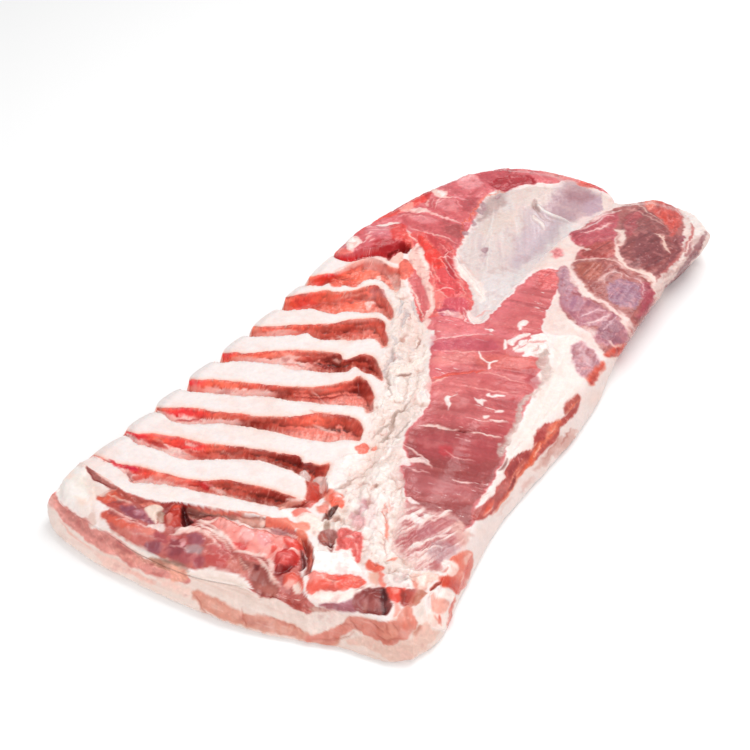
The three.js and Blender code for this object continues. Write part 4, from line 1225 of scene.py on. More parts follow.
patch(LOBE_FOOT, "ea7064", soft=2, ragged=1, lean_to=1, cover=0.8)
LOBE_RAW_SIDE = in_edge((400, 450), (440, 430), (460, 470), (470, 500), (450, 520))
patch(LOBE_RAW_SIDE, "e2534a", soft=2, ragged=1.2, lean_to=1, cover=0.85, lift=1)
LOBE_RIM_LINE = in_edge((430, 420), (450, 455), (480, 475), (495, 490))
streak(LOBE_RIM_LINE, 1.4, "f5cfc4", soft=1, cover=0.9, lift=0.5)

# ---- flank muscle ------------------------------------------------------------------------------
# The long flank muscle lies bare and rounded beside the fat valley. Its coarse fibres cross it
# aslant; it darkens to wine-red at the shoulder end, where fat streaks into it.
BIG_MUSCLE = [
    (50, 127), (58, 130), (66, 129), (70, 112), (73, 90), (76, 72), (83, 51), (94, 37), (104, 16),
    (104, -8), (110, -20), (113, -31), (116, -55), (118, -78), (125, -96), (128, -120), (129, -145),
    (134, -160), (132, -176), (128, -190), (124, -204), (114, -208), (106, -204), (100, -190), (94, -178),
    (86, -170), (76, -155), (68, -148), (64, -143), (70, -137), (60, -128), (52, -117), (50, -99),
    (51, -86), (48, -73), (42, -59), (33, -45), (26, -34), (20, -20), (15, -6), (8, 4), (4, 13), (7, 24),
    (20, 28), (32, 27), (38, 35), (39, 46), (40, 69), (41, 90), (42, 107), (44, 119),
]
spots, deep = patch(BIG_MUSCLE, "cf6265", soft=1.6, ragged=1.3, lean_to=0.62, wet_to=0.75)
px, py = sheet_x[spots], sheet_y[spots]
within = smooth(deep / 3)
lower = smooth((-py - 20) / 100)
lay(spots, within * lower * 0.95, "95403f")
lay(spots, within * smooth((px - 40 + 0.25 * py) / 55) * (1 - lower) * 0.7, "c4585a")
lay(spots, within * smooth((26 - deep) / 22) * smooth((62 - px) / 22) * smooth((py + 140) / 20) * 0.6,
    "e97c82")
bundle = fibres(px, py, 16, 44, 6, 81, 2)
thread = fibres(px, py, 14, 22, 1.5, 82, 2)
raised[spots] += within * (0.8 * bundle + 0.15 * thread)
lay(spots, within * smooth(bundle * 1.8) * 0.3, "e8918c")
lay(spots, within * smooth(-bundle * 2 - 0.2) * 0.4, "9c4044")
lay(spots, within * smooth(thread * 2.2 - 0.9) * 0.26, "f2b1aa")
lay(spots, within * smooth(-thread * 2.2 - 0.9) * 0.22, "973f42")
film = lumps(px, py, 14, 83, 3)
lay(spots, within * smooth(film * 3.2 - 1.2) * 0.4, "efa9a8")
flecks = smooth(fibres(px, py, 12, 9, 1.2, 84, 2) * 5 - 2.7) * smooth(lumps(px, py, 30, 85) * 3 + 0.6)
lay(spots, within * flecks * 0.85, "f9e9e4", lean_to=0.2)
WINE_PARTS = [
    (in_strip((165, 110), (260, 95), (380, 100), (480, 110), (480, 150), (380, 150), (260, 150),
        (170, 150)), "b8475a", 6, 0),
    (in_strip((160, 80), (300, 60), (440, 50), (560, 60), (560, 90), (400, 80), (250, 95), (165, 105)),
        "e28086", 5, 0),
    (in_strip((160, 200), (200, 170), (300, 165), (420, 170), (420, 210), (300, 220), (200, 230)), "e98a84",
        6, 0.4),
    (in_strip((400, 180), (560, 170), (690, 190), (690, 240), (560, 250), (430, 240)), "dc6c62", 7, 0.4),
    (in_strip((150, 300), (260, 290), (400, 300), (400, 350), (260, 370), (140, 360)), "dd7674", 8, 0.3),
    (in_strip((420, 300), (560, 310), (700, 320), (690, 340), (560, 350), (430, 345)), "c85c5c", 5, 0),
    (in_strip((640, 290), (690, 280), (710, 320), (660, 335)), "b04048", 3, 0),
    (in_strip((130, 480), (250, 470), (380, 480), (380, 520), (250, 525), (110, 520)), "d2666a", 8, 0.3),
    (in_strip((420, 520), (560, 530), (550, 580), (440, 565)), "b84a4e", 5, 0),
    (in_strip((110, 560), (300, 575), (480, 600), (480, 690), (300, 700), (150, 680), (80, 620)), "b4494f",
        12, 0.3),
    (in_strip((200, 640), (260, 630), (270, 670), (210, 680)), "c83c44", 4, 0),
    (in_strip((20, 740), (120, 740), (200, 790), (380, 830), (360, 900), (200, 890), (80, 880), (10, 820)),
        "b86468", 14, 0),
]
for outline, code, soft, lift in WINE_PARTS:
    patch(outline, code, soft=soft, ragged=2, cover=0.6, lift=lift)
# Fat streaks lengthwise into its shoulder end.
frayed = smooth((-150 - py) / 45)
streaks = fibres(px, py, 72, 20, 2.2, 86, 2)
lay(spots, within * smooth(streaks * 2.4 - 1.4 + 1.2 * frayed) * frayed, "ecd2ca", lean_to=0.2)
STREAKED_FAT = in_pocket((490, 130), (560, 130), (640, 160), (720, 170), (790, 210), (830, 290), (840, 330),
    (790, 380), (730, 440), (700, 470), (640, 500), (560, 480), (520, 440), (440, 400), (440, 330),
    (460, 260))
spots, deep = patch(STREAKED_FAT, "e3bab4", soft=5, ragged=2, lean_to=0.5, wet_to=0.5, cover=0.75)
px, py = sheet_x[spots], sheet_y[spots]
streaks = fibres(px, py, 72, 22, 2.2, 87, 3)
fading = smooth(deep / 6)
lay(spots, fading * smooth(streaks * 2.2 + 0.35 + (py + 195) / 60) * smooth((px - 78) / 25) * 0.8, "b4595c")
lay(spots, fading * smooth(-streaks * 2.6 - 0.2) * 0.75, "f7e9e3", lean_to=0)
raised[spots] += fading * 0.7 * -streaks
STREAKED_FAT_STAINS = [
    (in_pocket((640, 340), (720, 330), (800, 350), (780, 400), (720, 440), (650, 430), (620, 390)),
        "b98d92"),
    (in_pocket((560, 250), (640, 240), (700, 270), (640, 310), (570, 300)), "b56a70"),
    (in_pocket((760, 230), (830, 250), (850, 300), (800, 330), (760, 290)), "dba89c"),
    (in_pocket((270, 130), (320, 110), (300, 170), (260, 220), (235, 210), (260, 170)), "c17a82"),
    (in_pocket((225, 205), (270, 200), (290, 250), (240, 250)), "d2989c"),
    (in_pocket((320, 120), (370, 110), (360, 200), (330, 300), (310, 260)), "efd5d2"),
]
for outline, code in STREAKED_FAT_STAINS:
    patch(outline, code, soft=5, ragged=3, cover=0.7)
STREAKED_FAT_LINES = [
    (in_pocket((500, 100), (540, 115), (580, 130)), 3, "f8ebe6"),
    (in_pocket((545, 180), (555, 210), (590, 230)), 6, "f8ebe6"),
    (in_pocket((600, 180), (620, 210), (640, 180)), 5, "f6e6e0"),
    (in_pocket((690, 200), (720, 170), (750, 150)), 3, "f6e6e0"),
    (in_pocket((560, 260), (640, 200), (700, 180)), 2, "f4dcd4"),
    (in_pocket((600, 230), (690, 200), (760, 170)), 1.6, "f0cfc6"),
    (in_pocket((520, 360), (600, 330), (680, 300), (760, 280)), 2.2, "f5e2dc"),
    (in_pocket((480, 430), (560, 390), (660, 370), (740, 350)), 2, "f5e0da"),
    (in_pocket((400, 140), (425, 180), (440, 200)), 1.4, "ea9a8c"),
    (in_pocket((405, 235), (412, 280), (415, 330)), 2.2, "ea8a7a"),
]
for path, width, code in STREAKED_FAT_LINES:
    streak(path, width, code, soft=1, ragged=1.6, lean_to=0.2, cover=0.85, lift=0.5)
# Seams and cuts across the muscle, bare fat on it and the thin strip of fat along it.
MUSCLE_SEAMS = [
    (in_strip((145, 105), (220, 92), (300, 82), (380, 76), (470, 70)), 1.3, "f4cfc6", -0.4),
    (in_strip((190, 150), (260, 155), (350, 158), (420, 152), (500, 155)), 1, "e9aaa2", 0),
    (in_strip((150, 300), (200, 285), (260, 268), (340, 260), (440, 250)), 2, "e2533f", -1.2),
    (in_strip((150, 320), (200, 300), (240, 285)), 1.6, "f4b8a8", 0.4),
    (in_strip((380, 262), (460, 268), (560, 295), (640, 320)), 1, "eda69c", -0.4),
    (in_strip((300, 330), (400, 345), (520, 360), (620, 360)), 1, "e9a49c", 0),
    (in_strip((80, 525), (160, 532), (240, 540), (300, 548)), 2.2, "f6dcd2", -0.6),
    (in_strip((275, 545), (320, 552), (370, 562)), 1.8, "6e1616", -1.2),
    (in_strip((330, 555), (400, 568), (460, 580), (520, 590)), 1.6, "f8e4da", 0.4),
    (in_strip((330, 490), (400, 500), (470, 510)), 1, "f4cfc8", 0),
    (in_strip((450, 500), (500, 505), (550, 515)), 2.4, "f9e8e0", 0.5),
    (in_strip((0, 620), (60, 650), (120, 690), (170, 750)), 2, "f4d8d0", 0.3),
    (in_strip((0, 690), (60, 700), (110, 705), (140, 730)), 5, "f7e6e0", 0.8),
    (in_strip((30, 740), (100, 760), (160, 770)), 1, "f0c2bc", 0),
    (in_strip((220, 650), (300, 690), (380, 700)), 1, "eebfb8", 0),
    (in_strip((260, 800), (320, 810), (370, 820)), 2, "f4d6d0", 0.3),
]
for path, width, code, lift in MUSCLE_SEAMS:
    streak(path, width, code, soft=0.8, ragged=1.2, cover=0.85, lift=lift)
BARE_FAT = [
    in_strip((400, 150), (412, 165), (420, 190), (445, 205), (490, 198), (495, 208), (455, 215), (458, 245),
        (445, 250), (438, 215), (412, 200), (402, 170)),
    in_strip((235, 380), (262, 385), (290, 370), (285, 378), (255, 395), (262, 420), (250, 440), (240, 455),
        (236, 430), (228, 400)),
    in_strip((370, 388), (395, 400), (415, 398), (440, 405), (420, 412), (415, 432), (405, 420),
        (385, 412)),
    in_strip((440, 378), (455, 366), (462, 378), (480, 370), (520, 376), (500, 384), (465, 386),
        (440, 384)),
    in_strip((450, 45), (470, 50), (462, 62), (450, 58)),
    in_strip((520, 130), (528, 100), (540, 110), (530, 150)),
    in_strip((540, 110), (580, 85), (620, 70), (660, 66), (640, 85), (600, 100), (560, 125)),
    in_strip((580, 150), (640, 110), (700, 66), (745, 80), (756, 130), (750, 170), (720, 182), (660, 182),
        (620, 176), (640, 160), (590, 160)),
    in_strip((590, 20), (620, 0), (640, 10), (620, 40), (600, 50)),
    in_strip((420, 480), (450, 478), (450, 488), (420, 492)),
    in_strip((480, 455), (520, 452), (515, 462), (480, 465)),
    in_muscle((560, 740), (590, 725), (605, 750), (590, 790), (560, 780), (550, 760)),
]
for outline in BARE_FAT:
    patch(outline, "faece7", soft=0.9, ragged=1, lean_to=0.1, cover=0.92, lift=1)
FAT_LUMPS = [
    (in_strip((688, 128), (705, 118), (730, 120), (752, 135), (750, 165), (725, 180), (700, 172),
        (688, 150)), "f8eeea", 2),
    (in_strip((640, 140), (665, 128), (688, 140), (684, 160), (655, 166), (640, 156)), "f8eeea", 1.8),
    (in_strip((655, 80), (690, 68), (740, 72), (752, 90), (720, 100), (690, 94), (665, 100)), "f7ebe6",
        1.8),
    (in_strip((592, 112), (615, 100), (640, 104), (632, 120), (605, 128)), "f8eeea", 1.6),
    (in_strip((565, 135), (590, 126), (600, 132), (580, 148), (560, 150)), "f6e4de", 1),
    (in_strip((620, 174), (650, 170), (668, 176), (650, 184), (625, 184)), "faf0ec", 1.4),
    (in_strip((524, 105), (532, 103), (534, 125), (526, 150), (518, 140)), "f8e8e2", 1),
]
for outline, code, lift in FAT_LUMPS:
    patch(outline, code, soft=1, ragged=0.9, lean_to=0, wet_to=0.5, cover=0.95, lift=lift, lift_soft=3)
# Painted shade in the creases between the lumps of fat.
FAT_LUMP_CREASE_SHADE = [
    (in_strip((640, 112), (670, 112), (700, 110), (735, 108)), 1.6, "d48a86"),
    (in_strip((668, 168), (690, 140), (688, 120)), 1.2, "c8908a"),
    (in_strip((600, 140), (625, 132), (640, 122)), 1.6, "cf6e6c"),
]
for path, width, code in FAT_LUMP_CREASE_SHADE:
    streak(path, width, code, soft=1, ragged=1, cover=0.8, lift=-0.8)
FAT_BAND = [(106, 24), (112, 0), (115, -25), (118, -52), (122, -85), (128, -108), (130, -130), (134, -118),
    (132, -95), (133, -70), (134, -52), (133, -42), (138, -20), (139, 10), (138, 34), (132, 50), (120, 54),
    (108, 58), (97, 45)]
spots, deep = patch(FAT_BAND, "f0e1da", soft=2, ragged=1.4, lean_to=0, wet_to=0.4)
px, py = sheet_x[spots], sheet_y[spots]
raised[spots] += smooth(deep / 6) * (0.9 * fibres(px, py, 98, 30, 5, 88) - 0.8)
# A strip of fat sloping down between the muscle and the fat band is painted grey-pink as shade, with pale
# and dark fibres.
FAT_SLOPE_SHADE = in_strip((690, 180), (740, 170), (760, 250), (720, 330), (690, 370), (640, 400),
    (610, 470), (590, 540), (560, 600), (520, 660), (490, 690), (500, 620), (540, 590), (570, 520),
    (600, 430), (620, 400), (690, 340), (715, 290), (700, 230))
spots, deep = patch(FAT_SLOPE_SHADE, "c9aea6", soft=2.5, ragged=2, lean_to=0.2, cover=0.85, lift=-0.8)
px, py = sheet_x[spots], sheet_y[spots]
lay(spots, smooth(deep / 3) * smooth(fibres(px, py, 20, 6, 1.4, 188, 2) * 3 - 0.6) * 0.6, "ead4cd")
lay(spots, smooth(deep / 3) * smooth(fibres(px, py, 20, 7, 2, 189, 2) * 3 - 0.8) * 0.5, "a8827c")
STRIP_PARTS = [
    (in_strip((670, 590), (700, 545), (740, 515), (800, 508), (830, 480), (880, 420), (900, 400),
        (900, 440), (850, 500), (810, 540), (790, 590), (740, 640), (700, 690), (650, 720), (610, 770),
        (560, 840), (520, 900), (470, 960), (430, 1000), (370, 1000), (380, 950), (440, 900), (480, 850),
        (520, 770), (560, 700), (610, 650), (660, 640)), "b3504a", 1, -0.6),
    (in_strip((680, 590), (720, 545), (770, 530), (780, 560), (730, 600), (700, 640), (680, 630)), "a8403e",
        2.5, 0),
    (in_strip((560, 740), (620, 680), (660, 650), (640, 700), (590, 760), (560, 790)), "a0403f", 2, -0.5),
    (in_strip((760, 520), (820, 500), (800, 550), (750, 610), (720, 650), (740, 580)), "d96a52", 2.5, 0.4),
    (in_strip((820, 430), (870, 380), (900, 370), (900, 410), (850, 450), (830, 470)), "b85a50", 3, 0),
]
for outline, code, soft, lift in STRIP_PARTS:
    patch(outline, code, soft=soft, ragged=0.9, lean_to=1, wet_to=0.85, lift=lift)
STRIP_STREAKS = [
    (in_strip((700, 640), (660, 700), (610, 770), (560, 840), (520, 900), (460, 980)), 2, "e0694c"),
    (in_strip((800, 500), (760, 560), (720, 620)), 1.4, "ea8a6a"),
    (in_strip((640, 690), (600, 740), (570, 800), (530, 860)), 1.2, "e88468"),
    (in_strip((545, 690), (520, 740), (500, 760)), 2, "7c3c36"),
    (in_strip((830, 470), (870, 430), (900, 395)), 1.6, "e2714f"),
    (in_strip((730, 600), (700, 630), (675, 670), (655, 710), (625, 750)), 4.4, "e0623f"),
    # These three pale lines are painted highlights on the wet strip.
    (in_strip((712, 618), (690, 650), (672, 690)), 1.2, "fbc9b4"),
    (in_strip((690, 610), (668, 640), (650, 668)), 1, "f6b49c"),
    (in_strip((790, 540), (760, 560), (730, 590)), 1.2, "f0b09c"),
    (in_strip((640, 700), (600, 770), (560, 850), (500, 930)), 1, "f3a98e"),
    (in_strip((560, 720), (600, 680), (640, 655)), 1.4, "8e4848"),
    (in_strip((590, 780), (570, 820), (540, 860)), 2.4, "8a2e2c"),
    (in_strip((480, 900), (450, 940), (420, 990)), 3, "e0563c"),
    (in_strip((470, 930), (440, 965), (420, 985)), 1, "f5c0ac"),
]
for path, width, code in STRIP_STREAKS:
    streak(path, width, code, soft=0.9, cover=0.85, lift=0.3)
STRIP_FAT = [
    (in_strip((490, 780), (520, 768), (530, 790), (505, 815), (470, 850), (480, 860), (440, 890),
        (410, 900), (420, 870), (460, 850), (480, 810)), "f4e0da"),
    (in_strip((600, 610), (660, 580), (670, 600), (620, 650), (570, 690), (560, 680)), "f5e6e0"),
]
for outline, code in STRIP_FAT:
    patch(outline, code, soft=1, ragged=1, lean_to=0, cover=0.95, lift=1.2)
# Below the strip the wall's fat is stained in faint streaks.
WALL_STAINS = [
    (in_strip((900, 545), (860, 590), (820, 640), (780, 690)), 7, "cf9488"),
    (in_strip((830, 575), (780, 625), (745, 680), (715, 730)), 6, "c8887c"),
    (in_strip((900, 600), (850, 655), (790, 715)), 3, "dcaca0"),
    (in_strip((715, 690), (690, 730), (665, 770)), 3, "d8a296"),
    (in_strip((670, 785), (640, 820), (600, 860)), 2.6, "dcaca2"),
    (in_strip((560, 880), (520, 930), (480, 985)), 2, "e0b8ae"),
]
for path, width, code in WALL_STAINS:
    streak(path, width, code, soft=4, ragged=2, lean_to=0.2, cover=0.7)
WALL_LINES = [
    (in_strip((880, 540), (840, 590), (800, 640)), 1.6),
    (in_strip((800, 590), (760, 640), (730, 690)), 1.4),
    (in_strip((880, 610), (840, 650), (800, 690)), 1.2),
]
for path, width in WALL_LINES:
    streak(path, width, "b5685c", soft=1.4, ragged=1.4, cover=0.6)

# ---- upper muscles ----------------------------------------------------------------------------
# Several short muscles meet on the flank side's upper lobe, dark where they dried, each in a
# pale seam of sinew that was cut through with it.
SINEW = [(42, 262), (62, 262), (78, 280), (112, 284), (140, 275), (165, 240), (170, 60), (146, 48),
    (128, 52), (108, 58), (90, 48), (78, 64), (74, 90), (68, 128), (50, 130), (41, 120), (42, 160),
    (47, 186), (51, 206), (56, 232)]
spots, deep = patch(SINEW, "e8d3cc", soft=2.5, ragged=1.4, lean_to=0.2, wet_to=0.5)
px, py = sheet_x[spots], sheet_y[spots]
lay(spots, smooth(deep / 4) * smooth(lumps(px, py, 8, 91, 2) * 2) * 0.5, "ecc8be")
LOBE_LEAN = in_lobe((135, 240), (190, 222), (230, 180), (290, 148), (350, 125), (420, 105), (480, 85),
    (540, 82), (600, 105), (650, 140), (660, 200), (650, 255), (690, 262), (745, 280), (730, 330),
    (680, 390), (620, 450), (570, 520), (520, 600), (490, 640), (440, 690), (420, 720), (405, 765),
    (350, 805), (300, 795), (280, 765), (245, 712), (190, 665), (130, 632), (100, 580), (88, 520),
    (76, 440), (90, 400), (112, 393), (140, 402), (160, 370), (165, 340), (190, 310), (165, 290),
    (145, 262))
patch(LOBE_LEAN, "a8625f", soft=2.2, ragged=1.2, lean_to=1, wet_to=0.8, lift=0.8, lift_soft=6)
UPPER_MUSCLES = [
    (in_lobe((137, 242), (200, 225), (240, 185), (300, 155), (360, 150), (350, 200), (335, 235), (352, 290),
        (342, 352), (250, 356), (190, 346), (178, 325), (215, 305), (165, 288)), "bd5661", 70, "96404a",
        0.8),
    (in_lobe((190, 320), (260, 290), (340, 280), (342, 350), (250, 356), (190, 346)), "b5544f", 72,
        "8f3e3c", 0),
    (in_lobe((350, 240), (375, 190), (400, 150), (460, 125), (520, 145), (565, 190), (605, 270), (620, 320),
        (595, 370), (540, 400), (470, 422), (420, 402), (385, 365), (352, 340), (382, 300), (385, 260)),
        "96504f", 70, "713a3e", 1),
    (in_lobe((380, 190), (420, 150), (460, 150), (440, 220), (400, 260), (385, 230)), "ab4c52", 80,
        "8a3a42", 0),
    (in_lobe((440, 260), (520, 240), (560, 300), (560, 370), (500, 400), (440, 370)), "874649", 70,
        "6b3438", 0),
    (in_lobe((560, 180), (620, 230), (640, 290), (640, 340), (600, 400), (540, 440), (500, 430), (560, 400),
        (600, 360), (610, 300), (590, 240)), "8d4a4c", 66, "6f3438", 0.4),
    (in_lobe((480, 98), (540, 85), (600, 108), (645, 150), (645, 200), (625, 250), (600, 260), (590, 212),
        (560, 182), (520, 150), (490, 130)), "cc5a52", 116, "a3403c", 1.8),
    (in_lobe((545, 165), (585, 160), (612, 190), (608, 225), (585, 225), (560, 195)), "d6564a", 110,
        "b8453e", 0.8),
    (in_lobe((478, 100), (520, 95), (530, 130), (500, 135)), "e98878", 100, "d06a5c", 0),
    (in_lobe((172, 372), (250, 364), (320, 368), (370, 400), (430, 432), (482, 442), (520, 480), (522, 540),
        (495, 610), (455, 665), (425, 655), (400, 622), (350, 582), (300, 560), (250, 532), (200, 492),
        (168, 430)), "aa605b", 84, "8a4a4c", 1),
    (in_lobe((300, 500), (340, 470), (400, 460), (450, 480), (465, 530), (430, 590), (380, 580),
        (330, 560)), "a4788c", 88, "8f5a74", 0.4),
    (in_lobe((460, 480), (520, 490), (515, 560), (470, 620), (440, 620), (465, 560)), "a94a58", 88,
        "8a3a48", 0),
    (in_lobe((180, 380), (240, 370), (290, 400), (280, 440), (220, 460), (180, 430)), "b06052", 84,
        "8a4640", 0),
    (in_lobe((88, 402), (118, 396), (148, 440), (152, 475), (200, 522), (250, 562), (310, 592), (370, 622),
        (402, 662), (412, 705), (400, 745), (350, 752), (290, 750), (250, 712), (272, 668), (190, 662),
        (130, 622), (100, 572), (88, 500)), "b87884", 104, "95566a", 1),
    (in_lobe((90, 410), (120, 400), (140, 450), (150, 500), (130, 540), (100, 520)), "bd939f", 100,
        "a8788e", 0),
    (in_lobe((100, 520), (160, 530), (200, 560), (180, 600), (130, 600)), "bd8a98", 100, "a06a86", 0),
    (in_lobe((260, 680), (300, 640), (350, 640), (390, 680), (390, 730), (330, 740), (280, 720)), "a06a78",
        96, "8a4a5c", 0),
    (in_lobe((300, 792), (350, 755), (402, 742), (395, 790), (345, 805)), "d95c4c", 100, "b8443a", 0.6),
    (in_lobe((148, 742), (200, 738), (262, 780), (275, 830), (240, 900), (190, 885), (155, 830),
        (140, 780)), "c7959e", 98, "a87078", 0),
    (in_lobe((218, 900), (255, 850), (300, 822), (292, 870), (245, 930), (225, 935)), "d95f4c", 100,
        "b8453a", 0.4),
    (in_lobe((60, 330), (80, 310), (105, 325), (90, 355), (65, 355)), "e08c8e", 80, "cc6468", 0.3),
    (in_lobe((0, 410), (60, 410), (80, 440), (60, 490), (20, 500), (0, 495)), "e06c6c", 80, "c04a4e", 0),
    (in_lobe((640, 255), (700, 262), (740, 285), (720, 330), (690, 370), (650, 420), (600, 480), (560, 540),
        (530, 520), (560, 470), (600, 440), (640, 400), (660, 340)), "95505a", 64, "6c3038", 0),
]
for number, (outline, code, turn, dark, lift) in enumerate(UPPER_MUSCLES):
    spots, deep = patch(outline, code, soft=4, ragged=1.8, lean_to=1, wet_to=0.8, lift=lift, lift_soft=6)
    px, py = sheet_x[spots], sheet_y[spots]
    within = smooth(deep / 3)
    grain_lines = fibres(px, py, turn, 22, 2.6, 92 + number, 2)
    raised[spots] += within * 0.35 * grain_lines
    lay(spots, within * smooth(-grain_lines * 2 - 0.1) * 0.6, dark)
    lay(spots, within * smooth(grain_lines * 2.4 - 1.0) * 0.35, "e7b0a8")
    # A fine pale net of sinew shows in places.
    net = crumbs(px + lumps(px, py, 5, 190), py + lumps(px, py, 5, 191), 3.4, 192)
    lay(spots, within * smooth(net * 3 - 2.1) * smooth(lumps(px, py, 15, 193, 2) * 3) * 0.5, "e8c2c6")
    colour[spots] *= mix(1, np.array([0.97, 0.93, 0.93]), within[:, None])
SINEW_SEAMS = [
    (in_lobe((330, 222), (352, 236), (378, 245), (378, 290), (350, 318), (352, 348), (390, 388), (440, 420),
        (492, 436), (525, 470), (535, 520), (525, 575)), 3.2, "eecdc2"),
    (in_lobe((340, 228), (375, 250), (372, 280)), 6, "f2d8ce"),
    (in_lobe((345, 320), (360, 350), (380, 370)), 5, "f0d2c8"),
    (in_lobe((440, 415), (500, 435), (525, 465)), 6, "f0d2c8"),
    (in_lobe((125, 375), (155, 440), (185, 500), (240, 540), (300, 568), (350, 608), (382, 650), (412, 695),
        (425, 720)), 4, "f0cfc8"),
    (in_lobe((170, 460), (200, 510), (250, 545)), 6, "f3dad2"),
    (in_lobe((345, 600), (385, 640), (400, 670)), 5, "f0d0c8"),
    (in_lobe((100, 366), (180, 360), (280, 362), (350, 375), (400, 410)), 1.4, "efc6bc"),
    (in_lobe((525, 245), (560, 270), (575, 310), (595, 345)), 3.4, "e9c2b4"),
    (in_lobe((540, 260), (580, 265)), 2, "e9c2b4"),
    (in_lobe((295, 480), (305, 440), (340, 420), (368, 430), (375, 460)), 1.2, "dfb8b4"),
    (in_lobe((380, 420), (400, 440), (440, 450), (470, 480), (470, 540)), 1.2, "dcaeb0"),
    (in_lobe((250, 470), (290, 450), (310, 430)), 1, "d8a8a0"),
    (in_lobe((180, 630), (240, 600), (300, 600)), 1.4, "e4b8be"),
    (in_lobe((215, 660), (270, 640), (320, 610)), 2, "ecc8c8"),
    (in_lobe((280, 690), (330, 640), (360, 630)), 1.2, "dab0b8"),
    (in_lobe((400, 112), (450, 118), (500, 150), (560, 200)), 1.2, "dcb4aa"),
    (in_lobe((380, 130), (430, 145), (480, 170), (540, 200), (590, 230)), 1, "cf9c94"),
    (in_lobe((230, 190), (290, 170), (350, 165)), 1.2, "efbcb8"),
    (in_lobe((190, 250), (250, 235), (330, 200)), 1.4, "f2c6c2"),
    (in_lobe((600, 460), (640, 420), (690, 360)), 1.8, "e2bdb4"),
    (in_lobe((560, 520), (600, 480), (650, 430), (700, 370)), 1.2, "d8a8a0"),
    (in_lobe((640, 300), (680, 310), (720, 300)), 2, "e0b6ac"),
    (in_lobe((500, 600), (540, 540), (570, 500)), 1.4, "e0b0a8"),
]
for path, width, code in SINEW_SEAMS:
    streak(path, width + 3, code, soft=4, ragged=2.4, lean_to=0.4, cover=0.4)
    streak(path, width, code, soft=1.4, ragged=1.6, lean_to=0.2, cover=0.88, lift=-0.3)
# Sinew spreads over the lean in soft white brushes where the muscles run out.
SINEW_BRUSHES = [
    (in_lobe((150, 215), (200, 180), (260, 160), (330, 130)), 9, "f1dcd8", 6),
    (in_lobe((180, 230), (250, 200), (320, 170)), 3, "f3dcd8", 3),
    (in_lobe((230, 180), (300, 160), (370, 130)), 2.4, "f3dcd8", 2),
    (in_lobe((170, 320), (200, 315), (240, 322)), 4, "f4dcd4", 2),
    (in_lobe((345, 230), (350, 270), (355, 310), (345, 350)), 3.4, "f0d4cc", 2.4),
    (in_lobe((150, 370), (150, 430), (170, 480), (200, 520), (250, 550)), 6, "f2dad4", 4),
    (in_lobe((370, 590), (400, 640), (430, 690)), 4, "f0d6d0", 3),
    (in_lobe((120, 640), (180, 680), (230, 690), (260, 720)), 7, "f0e0dc", 6),
    (in_lobe((440, 440), (500, 450), (530, 490), (520, 540)), 4, "eed2ca", 3),
    (in_lobe((400, 100), (440, 110), (480, 100)), 3, "e8c0b8", 3),
    (in_lobe((310, 730), (350, 760), (390, 740)), 3, "f0cfc4", 2.4),
    (in_lobe((180, 760), (210, 800), (230, 850)), 5, "dcb8bc", 5),
]
for path, width, code, soft in SINEW_BRUSHES:
    streak(path, width, code, soft=soft, ragged=2, lean_to=0.3, cover=0.75)
# The fat rolling over the right edge is painted greyer than its whiter top as shade.
ROLLED_EDGE = in_lobe((600, 98), (640, 101), (700, 122), (750, 168), (764, 222), (748, 268), (716, 320),
    (672, 380), (626, 444), (590, 498), (566, 530), (538, 540), (528, 488), (548, 445), (600, 402),
    (632, 352), (652, 300), (668, 240), (664, 190), (645, 150), (615, 118))
spots, deep = patch(ROLLED_EDGE, "dcc3bc", soft=2, ragged=1.6, lean_to=0.3, wet_to=0.5)
px, py = sheet_x[spots], sheet_y[spots]
drawn = fibres(px, py, 66, 30, 2.6, 99, 2)
lay(spots, smooth(deep / 2) * smooth(drawn * 2.4 - 0.1) * 0.6, "b98d88")
lay(spots, smooth(deep / 2) * smooth(-drawn * 2.4 - 0.3) * 0.5, "f0e2dc")
raised[spots] += smooth(deep / 2) * 0.6 * drawn
ROLLED_EDGE_PARTS = [
    (in_lobe((640, 112), (700, 128), (745, 172), (756, 218), (735, 250), (712, 252), (700, 215), (680, 175),
        (655, 145)), "efe4de", 3),
    (in_lobe((660, 160), (680, 185), (685, 215), (670, 225), (655, 195)), "e0cbc4", 3),
    (in_lobe((672, 290), (690, 262), (700, 290), (690, 330), (665, 352), (655, 330)), "a9686a", 3),
]
for outline, code, soft in ROLLED_EDGE_PARTS:
    patch(outline, code, soft=soft, ragged=1.2, cover=0.85)
ROLLED_EDGE_STREAKS = [
    (in_lobe((694, 190), (694, 240), (676, 300), (642, 356)), 3, "bb625e"),
    (in_lobe((656, 305), (634, 350), (594, 402), (556, 434)), 2.6, "b5615e"),
    (in_lobe((706, 250), (678, 312), (644, 366), (604, 420), (570, 460)), 2, "efdcd4"),
    (in_lobe((640, 300), (622, 340), (580, 380), (540, 410)), 1.6, "7f3c40"),
    (in_lobe((762, 232), (744, 278), (712, 328), (668, 388), (622, 450), (584, 506), (560, 540)), 6,
        "85474d"),
]
for path, width, code in ROLLED_EDGE_STREAKS:
    streak(path, width, code, soft=1.6, ragged=1.4, lean_to=0.6, cover=0.85)

